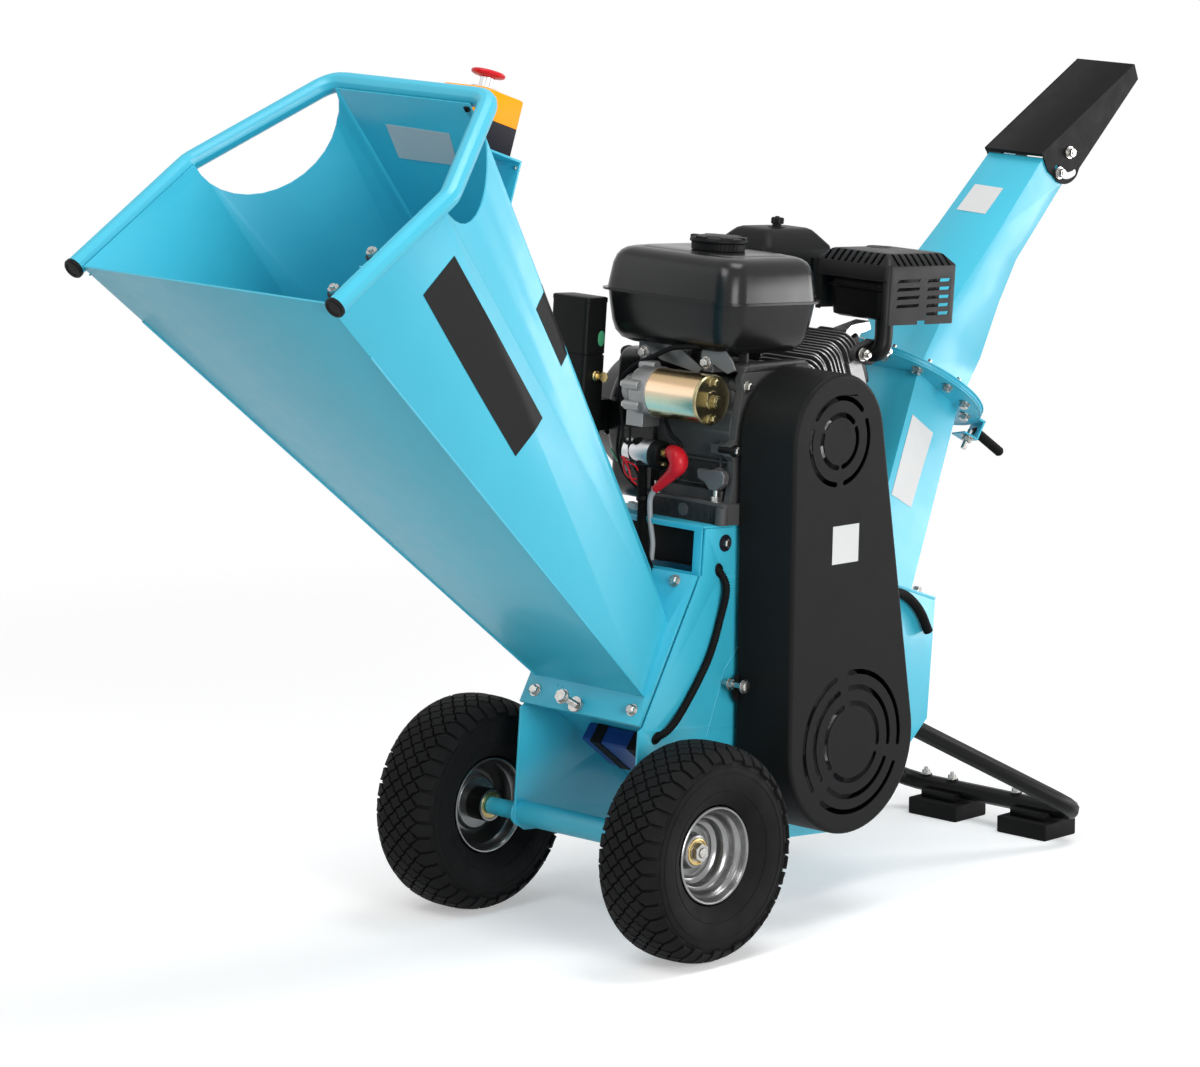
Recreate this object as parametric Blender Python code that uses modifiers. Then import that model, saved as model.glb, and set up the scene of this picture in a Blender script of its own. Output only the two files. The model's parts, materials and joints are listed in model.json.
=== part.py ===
"""Petrol chipper shredder: hopper, chassis with cutting drum, belt drive, engine, discharge chute.

+X is the belt guard's side, +Y the discharge side, the wheels and feet stand on Z = 0.
The chassis leans back on its axle, so its pieces are placed in the frame of an empty on
the axle, here called the body frame; pairs of numbers there are (y, z).
"""

import math

import bmesh
import bpy
from mathutils import Matrix, Vector

GAP = 0.0003
BODY_LEAN = math.radians(5.0)

# Wheels and axle
TYRE_RADIUS = 0.140
TYRE_HALF_WIDTH = 0.050
WHEEL_TRACK = 0.394
RIM_SEAT_RADIUS = 0.0508
RIM_FLANGE_RADIUS = 0.0622
RIM_HALF_WIDTH = 0.035
HUB_BORE = 0.0178
HUB_WALL = 0.0027
HUB_INNER_END = -0.036
HUB_OUTER_END = 0.004
AXLE_RADIUS = 0.0127
STUB_RADIUS = 0.008
AXLE_NUT_RADIUS = 0.012
AXLE_NUT_LENGTH = 0.009
WHEEL_STEPS = 28

# Chassis plates, body frame
HALF_WIDTH = 0.105
PLATE = 0.003
AXLE_EAR = 0.0205
CHASSIS_BOTTOM = -0.0227
FLANGE_FOOT = (-0.0136, 0.1444)
FLANGE_ANGLE = math.radians(64.3)
FLANGE_LENGTH = 0.2057
FLANGE_PLATE = 0.004
FLANGE_TOP = (
    FLANGE_FOOT[0] + FLANGE_LENGTH * math.cos(FLANGE_ANGLE),
    FLANGE_FOOT[1] + FLANGE_LENGTH * math.sin(FLANGE_ANGLE),
)
DECK_TOP = 0.3935
DECK_FRONT = FLANGE_TOP[0] + 0.0089
DECK_REAR = 0.372
BOX_TOP_REAR = (0.5445, 0.2726)
BOX_TOP_SLOPE = math.radians(-15.0)
BOX_TOP_LENGTH = 0.160
BOX_FRONT = BOX_TOP_REAR[0] - BOX_TOP_LENGTH * math.cos(BOX_TOP_SLOPE)
BOX_REAR_FOOT = 0.1148
WINDOW_HALF_WIDTH = 0.088
WINDOW_BOTTOM = FLANGE_TOP[1] + 0.0037
WINDOW_MARGIN = 0.0075

# Cutting drum
DRUM_AXIS = (0.2777, 0.1187)
DRUM_RADIUS = 0.092
KNIFE_REACH = 0.101
DRUM_HALF_WIDTH = 0.096
SHAFT_RADIUS = 0.0125
HOUSING_RADIUS = 0.122
SHEET = 0.003
BEARING_LENGTH = 0.020
BEARING_RADIUS = 0.036
KNIFE_CLEARANCE = 0.005
KNIFE_WIDTH = 0.034
KNIFE_THICKNESS = 0.008
KNIFE_TURN = math.radians(20)
ANVIL_EDGE = DRUM_AXIS[0] - KNIFE_REACH - KNIFE_CLEARANCE
ANVIL_WIDTH = 0.0404
ANVIL_BOTTOM = DRUM_AXIS[1] + 0.0078
ANVIL_THICKNESS = 0.008

# Belt drive
CRANK_AXIS = (0.2165, 0.5088)
CLUTCH_RADIUS = 0.055
DRUM_PULLEY_RADIUS = 0.090
BELT_WIDTH = 0.013
BELT_THICKNESS = 0.008
PULLEY_LIP = 0.003
PULLEY_CHEEK = 0.004
BELT_X = 0.158
GUARD_FACE_X = 0.205
GUARD_BACK_X = 0.117
GUARD_WALL = 0.002
GUARD_TOP_RADIUS = 0.086
GUARD_FOOT_RADIUS = 0.120
BACK_PLATE = 0.0025
SLOT_WIDTH = 0.0066

# Hopper: the mouth plane is given by its foot and slope, body frame
HOPPER_REACH = 0.7037
HOPPER_RISE = 0.7038
MOUTH_FOOT = (-HOPPER_REACH, HOPPER_RISE)
MOUTH_SLOPE = math.radians(35.5)
TUBE_RADIUS = 0.0127
TUBE_HALF_WIDTH = 0.2253
TUBE_BEND = 0.2140
TUBE_TOP = 0.3991
TUBE_TOP_HALF_WIDTH = 0.1350
TUBE_BEND_RADIUS = 0.036
SHEET_INSET = TUBE_RADIUS + 0.0013
SHEET_RISE = 0.0015
CAP_LENGTH = 0.006
HOPPER_SHEET = 0.002
THROAT_RING = (
    (0.0950, 0.0380),
    (0.0886, FLANGE_LENGTH - 0.0700),
    (0.0340, FLANGE_LENGTH - 0.0112),
    (0.0290, FLANGE_LENGTH - 0.0062),
)
THROAT_START = THROAT_RING[0][1]
THROAT_END = THROAT_RING[-1][1]
HAND_HOLE_HALF_LENGTH = 0.0980
HAND_HOLE_DEPTH = 0.0845
HAND_HOLE_PLACE = 0.541

# Emergency stop
STOP_LEAN = math.radians(15.0)
STOP_TOP = (MOUTH_FOOT[0] + 0.4507, MOUTH_FOOT[1] + 0.2297)
STOP_WIDTH = 0.072
STOP_DEPTH = 0.074
STOP_HEIGHT = 0.072
STOP_COVER_HEIGHT = 0.036
BUTTON_RADIUS = 0.0215
BUTTON_RISE = 0.0265
BRACKET_HALF_WIDTH = 0.050
BRACKET_DROP = 0.104

# Discharge chute, body frame
DISC_CENTRE = (0.5742, 0.5501)
DISC_LEAN = math.radians(30.0)
DISC_RADIUS = 0.112
DISC_PLATE = 0.004
CHUTE_SHEET = 0.002
CHUTE_HALF_DEPTH = 0.050
CHUTE_HALF_WIDTH = 0.062
CHUTE_FOOT_HALF_WIDTH = 0.0995
CHUTE_FOOT_FRONT = BOX_FRONT + 0.013
CHUTE_FOOT_REAR = BOX_TOP_REAR[0] - 0.0445
HINGE = (0.8277, 0.8583)
DEFLECTOR_SHEET = 0.002
DEFLECTOR_CLEARANCE = 0.0012
DEFLECTOR_ROOT = (HINGE[0] - 0.0565, HINGE[1] - 0.0003)
DEFLECTOR_TIP = (HINGE[0] + 0.1287, HINGE[1] + 0.1207)
DEFLECTOR_LIP = (HINGE[0] + 0.1387, HINGE[1] + 0.1003)
DEFLECTOR_LOBE = (
    (-0.0472, -0.0161),
    (-0.0303, -0.0337),
    (-0.0207, -0.0405),
    (-0.0081, -0.0423),
    (0.0043, -0.0417),
    (0.0131, -0.0387),
    (0.0197, -0.0277),
)
PIN_RADIUS = 0.004
LUG_RADIUS = 0.010
LUG_FOOT = ((HINGE[0] - 0.0377, HINGE[1] - 0.0223), (HINGE[0] - 0.0127, HINGE[1] - 0.0403))
HANDLE_ANGLE = math.radians(68)
HANDLE_PATH = ((0.0, 0.0), (0.006, 0.0), (0.014, 0.0060), (0.064, 0.0135))
HANDLE_RADIUS = 0.0075

# Rear leg and feet, on the ground
FOOT_X = 0.0795
FOOT_Y = 0.8140
FOOT_SIZE = (0.0856, 0.0663, 0.0230)
LEG_RADIUS = 0.012
LEG_HALF_WIDTH = 0.172
LEG_BEND = 0.050
LEG_ROOT_X = 0.089
LEG_PLATE = 0.004
LEG_ROOT_ALONG = 0.157
LEG_PAD = (0.060, 0.040)
LEG_ROOT_PLATE = (0.040, 0.038)
WALL_FOOT = (0.415, -0.004)

# Engine, body frame
BASE_X = (-0.030, 0.1000)
BASE_Y = (0.110, 0.300)
BASE_HEIGHT = 0.027
CASE_X = (-0.030, 0.0930)
CASE_RADIUS = 0.086
COVER_THICKNESS = 0.0110
CRANK_RADIUS = 0.0095
BARREL_LEAN = math.radians(25.0)
BARREL_X = (0.006, 0.074)
BARREL_HALF = 0.036
BARREL_END = 0.196
FIN_X = (-0.014, 0.094)
FIN_HALF = 0.050
FIN_COUNT = 8
FIN_PITCH = 0.0095
FIN_THICKNESS = 0.0040
ROCKER_X = (0.000, 0.080)
ROCKER_HALF = 0.044
ROCKER_ALONG = (0.180, 0.212)
PORT_ALONG = 0.168
TANK_X = (-0.124, 0.118)
TANK_Y = (0.0915, 0.2829)
TANK_SEAM = 0.6745
TANK_BOTTOM = 0.6080
TANK_TOP = 0.7330
CAP_RADIUS = 0.037
CAP_HEIGHT = 0.020
MUFFLER_X = (0.014, 0.140)
MUFFLER_Y = (0.366, 0.503)
MUFFLER_Z = (0.645, 0.7365)
CLEANER_X = (-0.128, -0.025)
CLEANER_Y = (0.314, 0.452)
CLEANER_Z = (0.664, 0.7535)
FAN_RADIUS = 0.094
FAN_X = (-0.118, -0.0303)
RECOIL_X = -0.156
STARTER_AXIS = (0.0985, 0.5520)
STARTER_RADIUS = 0.032
STARTER_X = (-0.0550, 0.0900)
CONTROL_X = (-0.164, -0.100)
CONTROL_Y = (0.060, 0.1000)
CONTROL_Z = (0.485, 0.663)
CAP_PLACE = (0.010, 0.180)
CLEANER_KNOB = (0.009, 0.013)
CLEANER_KNOB_PLACE = (-0.070, 0.380)
LEVER_PIVOT = (-0.092, 0.308)
LEVER_LENGTH = 0.052
LEVER_HALF_WIDTH = 0.0045
LEVER_SHEET = 0.003
LEVER_KNOB = (0.007, 0.014)
KEY_PLACE = (0.082, 0.562)
KEY_RADIUS = 0.007
KEY_BOW = (0.022, 0.018)
KEY_SHEET = 0.0024
DIPSTICK_PLACE = (0.062, 0.016)
DIPSTICK_RADIUS = 0.0105
DIPSTICK_LENGTH = 0.018
DUCT_TOP = CRANK_AXIS[1] + 0.085

# Wiring conduit
CONDUIT_RADIUS = 0.0050
CONDUIT_GROOVE = 0.0041
CONDUIT_BORE = 0.0030
CONDUIT_RIBS = 72
CONDUIT_INSIDE = 0.014
CONDUIT_HOLE_ROOM = 0.0006
CONDUIT_STATIONS = 44
CONDUIT_TOP = Vector((HALF_WIDTH - PLATE / 2, 0.1130, 0.3385))
CONDUIT_TOP_WAY = Vector((0.70, 0.27, -0.66)).normalized()
CONDUIT_END = Vector((HALF_WIDTH - PLATE / 2, 0.0145, 0.1265))
CONDUIT_END_WAY = Vector((0.70, 0.55, 0.46)).normalized()

PAINT = ("paint_blue", (0.14, 0.57, 0.68), 0.35, 0.0)
BLACK_PAINT = ("paint_black", (0.035, 0.035, 0.035), 0.35, 0.0)
RUBBER = ("rubber", (0.022, 0.022, 0.022), 0.8, 0.0)
PLASTIC = ("black_plastic", (0.025, 0.025, 0.026), 0.4, 0.0)
STEEL = ("bright_steel", (0.62, 0.62, 0.60), 0.3, 1.0)
RIM_STEEL = ("rim_silver", (0.52, 0.52, 0.52), 0.35, 0.8)
CASTING = ("cast_aluminium", (0.22, 0.22, 0.22), 0.55, 0.6)
ZINC = ("yellow_zinc", (0.70, 0.55, 0.33), 0.3, 1.0)
RED = ("red_plastic", (0.68, 0.02, 0.03), 0.35, 0.0)
YELLOW = ("yellow_plastic", (1.0, 0.38, 0.0), 0.4, 0.0)
BATTERY_BLUE = ("battery_blue", (0.02, 0.12, 0.5), 0.4, 0.0)
BRASS = ("brass", (0.55, 0.45, 0.22), 0.35, 1.0)

for old in list(bpy.data.objects):
    bpy.data.objects.remove(old, do_unlink=True)

parts = bpy.data.collections.new("chipper_shredder")
cutters = bpy.data.collections.new("cutters")
bpy.context.scene.collection.children.link(parts)
bpy.context.scene.collection.children.link(cutters)


# Helpers


def empty(name, parent=None, location=(0, 0, 0), rotation=(0, 0, 0)):
    made = bpy.data.objects.new(name, None)
    parts.objects.link(made)
    made.parent = parent
    made.location = location
    made.rotation_euler = rotation
    return made


def material(spec):
    name, colour, roughness, metallic = spec
    made = bpy.data.materials.get(name)
    if made:
        return made
    made = bpy.data.materials.new(name)
    made.use_nodes = True
    shader = made.node_tree.nodes["Principled BSDF"]
    shader.inputs["Base Color"].default_value = (*colour, 1.0)
    shader.inputs["Roughness"].default_value = roughness
    shader.inputs["Metallic"].default_value = metallic
    return made


def add(name, mesh, parent, spec, location=(0, 0, 0), rotation=(0, 0, 0)):
    """A visible piece; with no material it is a helper for a Boolean."""
    made = bpy.data.objects.new(name, mesh)
    made.parent = parent
    made.location = location
    made.rotation_euler = rotation
    if spec is None:
        cutters.objects.link(made)
        made.hide_render = True
        made.display_type = "WIRE"
    else:
        parts.objects.link(made)
        mesh.materials.append(material(spec))
    return made


def from_bmesh(name, bm, parent, spec, location=(0, 0, 0), rotation=(0, 0, 0)):
    mesh = bpy.data.meshes.new(name)
    bm.to_mesh(mesh)
    bm.free()
    return add(name, mesh, parent, spec, location, rotation)


def box(name, x, y, z, parent, spec, bevel=0.0, segments=2):
    """A block between two values on each axis, its origin at its centre."""
    size = [high - low for low, high in (x, y, z)]
    bm = bmesh.new()
    bmesh.ops.create_cube(bm, size=1.0)
    bmesh.ops.scale(bm, vec=size, verts=bm.verts)
    made = from_bmesh(name, bm, parent, spec, [(low + high) / 2 for low, high in (x, y, z)])
    if bevel:
        round_edges(made, bevel, segments)
    return made


def round_edges(made, width, segments=2):
    modifier = made.modifiers.new("round", "BEVEL")
    modifier.width = width
    modifier.segments = segments
    modifier.limit_method = "ANGLE"
    modifier.angle_limit = math.radians(50)


def rod(name, radius, length, parent, spec, location, rotation=(0, math.pi / 2, 0), sides=24):
    """A cylinder on its own Z axis, turned onto X unless told otherwise."""
    bm = bmesh.new()
    bmesh.ops.create_cone(
        bm, cap_ends=True, segments=sides, radius1=radius, radius2=radius, depth=length
    )
    made = from_bmesh(name, bm, parent, spec, location, rotation)
    return smooth(made)


def smooth(made):
    made.data.shade_smooth()
    made.data.set_sharp_from_angle(angle=math.radians(40))
    return made


def turned(name, profile, parent, spec, location=(0, 0, 0), steps=32, on_axis=False):
    """A profile of (radius, x) turned about X, its outer side from high x to low x."""
    bm = bmesh.new()
    points = [bm.verts.new((radius, 0, along)) for radius, along in profile]
    pairs = list(zip(points, points[1:]))
    if not on_axis:
        pairs.append((points[-1], points[0]))
    for first, second in pairs:
        bm.edges.new((first, second))
    made = from_bmesh(name, bm, parent, spec, location, (0, math.pi / 2, 0))
    modifier = made.modifiers.new("turn", "SCREW")
    modifier.steps = steps
    modifier.render_steps = steps
    modifier.use_merge_vertices = True
    modifier.merge_threshold = 0.00002
    modifier.use_smooth_shade = True
    return made


def to_mesh(made):
    """A curve made a mesh, with its caps welded to its sides."""
    bpy.context.view_layer.update()
    graph = bpy.context.evaluated_depsgraph_get()
    mesh = bpy.data.meshes.new_from_object(made.evaluated_get(graph), depsgraph=graph)
    bm = bmesh.new()
    bm.from_mesh(mesh)
    bmesh.ops.remove_doubles(bm, verts=bm.verts, dist=0.00002)
    bm.to_mesh(mesh)
    bm.free()
    name = made.name
    home = made.users_collection[0]
    solid = bpy.data.objects.new(name + ".mesh", mesh)
    home.objects.link(solid)
    solid.parent = made.parent
    solid.matrix_world = made.matrix_world
    solid.hide_render = made.hide_render
    solid.display_type = made.display_type
    bpy.data.objects.remove(made)
    solid.name = name
    return solid


def curve_object(name, splines, flat, parent, spec, location, rotation):
    curve = bpy.data.curves.new(name, "CURVE")
    curve.dimensions = "2D" if flat else "3D"
    for points, cyclic in splines:
        spline = curve.splines.new("POLY")
        spline.points.add(len(points) - 1)
        spline.use_cyclic_u = cyclic
        for place, point in zip(spline.points, points):
            values = tuple(point) + (0.0,) * (3 - len(point))
            place.co = (*values, 1.0)
    return add(name, curve, parent, spec, location, rotation)


def plate(name, outline, x, parent, spec, holes=()):
    """A flat outline in (y, z) as thick as the two x values are apart."""
    splines = [(outline, True)] + [(hole, True) for hole in holes]
    turn = (math.pi / 2, 0, math.pi / 2)
    made = curve_object(name, splines, True, parent, spec, (sum(x) / 2, 0, 0), turn)
    made.data.fill_mode = "BOTH"
    made.data.extrude = (x[1] - x[0]) / 2
    return to_mesh(made)


def slab(name, outline, z, parent, spec, location, rotation, holes=()):
    """A flat outline in the (x, y) of its own frame, between two z values."""
    splines = [(outline, True)] + [(hole, True) for hole in holes]
    turn = Matrix.Rotation(rotation[0], 4, "X")
    centre = Vector(location) + turn @ Vector((0, 0, sum(z) / 2))
    made = curve_object(name, splines, True, parent, spec, centre, rotation)
    made.data.fill_mode = "BOTH"
    made.data.extrude = (z[1] - z[0]) / 2
    return to_mesh(made)


def tube(name, points, radius, parent, spec, sides_level=3):
    """A round bar or tube along a chain of points."""
    made = curve_object(name, [(points, False)], False, parent, spec, (0, 0, 0), (0, 0, 0))
    made.data.bevel_depth = radius
    made.data.bevel_resolution = sides_level
    made.data.use_fill_caps = True
    return to_mesh(made)


def loft(name, rings, thickness, parent, spec):
    """An open skin through rings of as many points each, given a wall inwards.

    Its faces are triangles, so that both skins of a twisted wall fold the same way.
    """
    bm = bmesh.new()
    rows = [[bm.verts.new(point) for point in ring] for ring in rings]
    count = len(rings[0])
    for low, high in zip(rows, rows[1:]):
        for i in range(count):
            j = (i + 1) % count
            if low[i].co.x + low[j].co.x > 0:
                bm.faces.new((low[i], low[j], high[j]))
                bm.faces.new((low[i], high[j], high[i]))
            else:
                bm.faces.new((low[i], low[j], high[i]))
                bm.faces.new((low[j], high[j], high[i]))
    made = from_bmesh(name, bm, parent, spec)
    modifier = made.modifiers.new("wall", "SOLIDIFY")
    modifier.thickness = thickness
    modifier.offset = -1.0
    modifier.use_even_offset = True
    return made


def boolean(target, other, operation):
    modifier = target.modifiers.new(operation.lower(), "BOOLEAN")
    modifier.operation = operation
    modifier.object = other
    return target


def cut(target, *others):
    for other in others:
        boolean(target, other, "DIFFERENCE")
    return target


def join(target, *others):
    for other in others:
        boolean(target, other, "UNION")
    return target


def hang(made, carrier):
    """Parents a piece to a carrier that is itself placed in the body frame."""
    turn = Matrix.Rotation(carrier.rotation_euler[0], 4, "X")
    made.parent = carrier
    made.matrix_parent_inverse = (Matrix.Translation(carrier.location) @ turn).inverted()
    return made


def arc(centre, radius, start, end, steps):
    """Points of an arc in degrees, both ends included."""
    angles = [math.radians(start + (end - start) * i / steps) for i in range(steps + 1)]
    return [
        (centre[0] + radius * math.cos(a), centre[1] + radius * math.sin(a)) for a in angles
    ]


def circle(centre, radius, steps=24):
    return arc(centre, radius, 0, 360, steps)[:-1]


def strap(first, first_radius, second, second_radius, steps):
    """The outline of a belt round two circles."""
    run = math.dist(first, second)
    base = math.degrees(math.atan2(second[1] - first[1], second[0] - first[0]))
    off = math.degrees(math.acos((first_radius - second_radius) / run))
    far = arc(first, first_radius, base + off, base + 360 - off, steps)
    near = arc(second, second_radius, base - off, base + off, steps)
    return far + near


def ring_slots(centre, radii, gap_degrees, turn):
    """Three arc slots on each radius, their outlines in (y, z)."""
    slots = []
    for radius in radii:
        for i in range(3):
            start = turn + 120 * i + gap_degrees
            end = turn + 120 * (i + 1) - gap_degrees
            outer = arc(centre, radius + SLOT_WIDTH / 2, start, end, 5)
            inner = arc(centre, radius - SLOT_WIDTH / 2, end, start, 5)
            slots.append(outer + inner)
    return slots


def bent_sheet(path, thickness):
    """The outline of a sheet folded along a path, its thickness to the left of it."""
    path = [Vector(point) for point in path]
    sides = []
    for i, point in enumerate(path):
        before = (point - path[i - 1]).normalized() if i else None
        after = (path[i + 1] - point).normalized() if i + 1 < len(path) else None
        before = before or after
        after = after or before
        bisector = (before + after).normalized()
        normal = Vector((-bisector.y, bisector.x))
        reach = thickness / max(0.3, normal.dot(Vector((-before.y, before.x))))
        sides.append(point + normal * reach)
    return [tuple(point) for point in path + sides[::-1]]


def rounded(points, radius, steps=6):
    """A chain of 3D points with an arc at each inner corner."""
    points = [Vector(point) for point in points]
    made = [points[0]]
    for before, corner, after in zip(points, points[1:], points[2:]):
        back = (before - corner).normalized()
        ahead = (after - corner).normalized()
        half = back.angle(ahead) / 2
        setback = min(
            radius / math.tan(half), 0.49 * min((before - corner).length, (after - corner).length)
        )
        start, end = corner + back * setback, corner + ahead * setback
        for i in range(steps + 1):
            t = i / steps
            made.append(start * (1 - t) ** 2 + corner * 2 * t * (1 - t) + end * t**2)
    made.append(points[-1])
    return made


def flange_point(along, out=0.0):
    """(y, z) of a point so far up the hopper flange and so far in front of it."""
    y = FLANGE_FOOT[0] + along * math.cos(FLANGE_ANGLE) - out * math.sin(FLANGE_ANGLE)
    z = FLANGE_FOOT[1] + along * math.sin(FLANGE_ANGLE) + out * math.cos(FLANGE_ANGLE)
    return (y, z)


def mouth_point(x, along, out=0.0):
    """A point in the hopper's mouth plane, or so far in front of it."""
    y = MOUTH_FOOT[0] + along * math.cos(MOUTH_SLOPE) - out * math.sin(MOUTH_SLOPE)
    z = MOUTH_FOOT[1] + along * math.sin(MOUTH_SLOPE) + out * math.cos(MOUTH_SLOPE)
    return Vector((x, y, z))


def leaning(origin, lean, along, up):
    """(y, z) so far to the rear and so far up in a frame leaning back from the body's."""
    y = origin[0] + along * math.cos(lean) + up * math.sin(lean)
    z = origin[1] - along * math.sin(lean) + up * math.cos(lean)
    return (y, z)


def to_ground(y, z):
    """A body frame (y, z) given in the frame of the ground."""
    return (
        y * math.cos(BODY_LEAN) + z * math.sin(BODY_LEAN),
        TYRE_RADIUS - y * math.sin(BODY_LEAN) + z * math.cos(BODY_LEAN),
    )


# Frames

machine = empty("machine")
body = empty("body_frame", machine, (0, 0, TYRE_RADIUS), (-BODY_LEAN, 0, 0))
drum_spin = empty("drum_spin", body, (0, *DRUM_AXIS))
crank_spin = empty("crank_spin", body, (0, *CRANK_AXIS))
swivel = empty("chute_swivel", body, (0, *DISC_CENTRE), (-DISC_LEAN, 0, 0))


# Wheels, axle and rear leg


def wheel(side, sign):
    hub = empty("wheel_" + side, machine, (sign * WHEEL_TRACK / 2, 0, TYRE_RADIUS))
    if sign < 0:
        hub.rotation_euler = (0, 0, math.pi)
    bead = RIM_HALF_WIDTH - 0.002 - GAP
    seat = RIM_SEAT_RADIUS + GAP
    shoulder = [
        (seat, bead - 0.011),
        (seat, bead),
        (RIM_FLANGE_RADIUS + 0.0015, bead),
        (0.0800, TYRE_HALF_WIDTH - 0.0035),
        (0.1080, TYRE_HALF_WIDTH),
        (TYRE_RADIUS - 0.010, TYRE_HALF_WIDTH - 0.006),
        (TYRE_RADIUS, TYRE_HALF_WIDTH - 0.022),
    ]
    lining = [(TYRE_RADIUS - 0.014, TYRE_HALF_WIDTH - 0.018), (0.0850, TYRE_HALF_WIDTH - 0.013)]
    outer = shoulder[::-1]
    profile = [(r, x) for r, x in shoulder] + [(r, -x) for r, x in outer]
    profile += [(r, -x) for r, x in lining[::-1]] + lining
    tyre = turned("tyre_" + side, profile, hub, RUBBER, steps=WHEEL_STEPS)
    flange = RIM_FLANGE_RADIUS
    seat = RIM_SEAT_RADIUS
    wall = RIM_SEAT_RADIUS - 0.0025
    edge = RIM_HALF_WIDTH
    hub_outer = HUB_BORE + HUB_WALL
    dish = [
        (flange, edge),
        (flange, edge - 0.002),
        (seat, edge - 0.002),
        (seat, 0.002 - edge),
        (flange, 0.002 - edge),
        (flange, -edge),
        (wall, -edge),
        (wall, -0.018),
        (0.0380, -0.016),
        (0.0300, -0.010),
        (hub_outer, -0.008),
        (hub_outer, HUB_INNER_END),
        (HUB_BORE, HUB_INNER_END),
        (HUB_BORE, HUB_OUTER_END),
        (hub_outer, HUB_OUTER_END),
        (hub_outer, -0.004),
        (0.0300, -0.006),
        (0.0380, -0.013),
        (wall, -0.015),
        (wall, edge),
    ]
    rim = turned("rim_" + side, dish, hub, RIM_STEEL, steps=WHEEL_STEPS)
    ring = [
        (HUB_BORE - GAP, HUB_OUTER_END),
        (HUB_BORE - GAP, HUB_INNER_END),
        (STUB_RADIUS + GAP, HUB_INNER_END),
        (STUB_RADIUS + GAP, HUB_OUTER_END),
    ]
    bearing = turned("wheel_bearing_" + side, ring, hub, BRASS, steps=20)
    return tyre, rim, bearing


def axle():
    inner_end = WHEEL_TRACK / 2 + HUB_INNER_END - GAP
    nut_start = WHEEL_TRACK / 2 + HUB_OUTER_END + GAP
    nut_end = nut_start + AXLE_NUT_LENGTH
    place = (0, 0, TYRE_RADIUS)
    made = rod("axle", AXLE_RADIUS, 2 * inner_end, machine, PAINT, place, sides=20)
    stub = rod("axle.stub", STUB_RADIUS, 2 * nut_end + 0.004, machine, None, place, sides=16)
    join(made, stub)
    for sign in (-1, 1):
        spot = (sign * (nut_start + nut_end) / 2, 0, TYRE_RADIUS)
        nut = rod(
            "axle.nut%d" % sign, AXLE_NUT_RADIUS, AXLE_NUT_LENGTH, machine, None, spot, sides=6
        )
        join(made, nut)
    return made


def wall_point(along, out=0.0):
    """(y, z) on the sloping rear wall under the box, body frame."""
    run = (Vector((BOX_TOP_REAR[0], BOX_REAR_FOOT + 0.006)) - Vector(WALL_FOOT)).normalized()
    return tuple(Vector(WALL_FOOT) + run * along + Vector((run.y, -run.x)) * out)


def rear_leg():
    """One bent tube from the sloping rear wall down, across behind it and back."""
    bar_z = FOOT_SIZE[2] + GAP + 0.003 + LEG_RADIUS
    root = to_ground(*wall_point(LEG_ROOT_ALONG + 0.001, GAP + LEG_PLATE + 0.0008))
    half = [(LEG_ROOT_X, *root), (LEG_HALF_WIDTH, FOOT_Y, bar_z)]
    route = half + [(-x, y, z) for x, y, z in half[::-1]]
    made = tube("leg_frame", rounded(route, LEG_BEND, 5), LEG_RADIUS, machine, BLACK_PAINT)
    joined = []
    slope = math.atan2(BOX_REAR_FOOT + 0.006 - WALL_FOOT[1], BOX_TOP_REAR[0] - WALL_FOOT[0])
    for sign in (-1, 1):
        x = (sign * FOOT_X - LEG_PAD[0] / 2, sign * FOOT_X + LEG_PAD[0] / 2)
        y = (FOOT_Y - LEG_PAD[1] / 2, FOOT_Y + LEG_PAD[1] / 2)
        pad = box("leg.pad%d" % sign, x, y, (FOOT_SIZE[2] + GAP, bar_z - 0.004), machine, None)
        size = [(-width / 2, width / 2) for width in (*LEG_ROOT_PLATE, LEG_PLATE)]
        foot_plate = box("leg.plate%d" % sign, *size, machine, None)
        place = to_ground(*wall_point(LEG_ROOT_ALONG, GAP + LEG_PLATE / 2))
        foot_plate.location = (sign * (LEG_ROOT_X - 0.009), *place)
        foot_plate.rotation_euler = (slope - BODY_LEAN, 0, 0)
        joined += [pad, foot_plate]
    return join(made, *joined)


def foot(side, sign):
    x = (sign * FOOT_X - FOOT_SIZE[0] / 2, sign * FOOT_X + FOOT_SIZE[0] / 2)
    y = (FOOT_Y - FOOT_SIZE[1] / 2, FOOT_Y + FOOT_SIZE[1] / 2)
    return box("foot_" + side, x, y, (0, FOOT_SIZE[2]), machine, RUBBER, 0.004, 1)


for side, sign in (("left", -1), ("right", 1)):
    wheel(side, sign)
    foot(side, sign)
axle()
rear_leg()


# Chassis


def box_top(y, out=0.0):
    """z of the sloping top of the rear box, or of a plane so far above it."""
    return BOX_TOP_REAR[1] + (y - BOX_TOP_REAR[0]) * math.tan(BOX_TOP_SLOPE) + out


def smooth_route(points, count):
    """Evenly spaced points on a smooth curve through the given ones."""
    points = [Vector(point) for point in points]
    padded = [points[0] * 2 - points[1]] + points + [points[-1] * 2 - points[-2]]
    fine = []
    for a, b, c, d in zip(padded, padded[1:], padded[2:], padded[3:]):
        for i in range(20):
            t = i / 20
            fine.append(
                0.5
                * (
                    2 * b
                    + (c - a) * t
                    + (2 * a - 5 * b + 4 * c - d) * t**2
                    + (3 * b - a - 3 * c + d) * t**3
                )
            )
    fine.append(points[-1])
    lengths = [0.0]
    for a, b in zip(fine, fine[1:]):
        lengths.append(lengths[-1] + (b - a).length)
    made = []
    k = 0
    for i in range(count):
        want = lengths[-1] * i / (count - 1)
        while k < len(fine) - 2 and lengths[k + 1] < want:
            k += 1
        t = (want - lengths[k]) / (lengths[k + 1] - lengths[k])
        made.append(fine[k].lerp(fine[k + 1], t))
    return made


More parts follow.
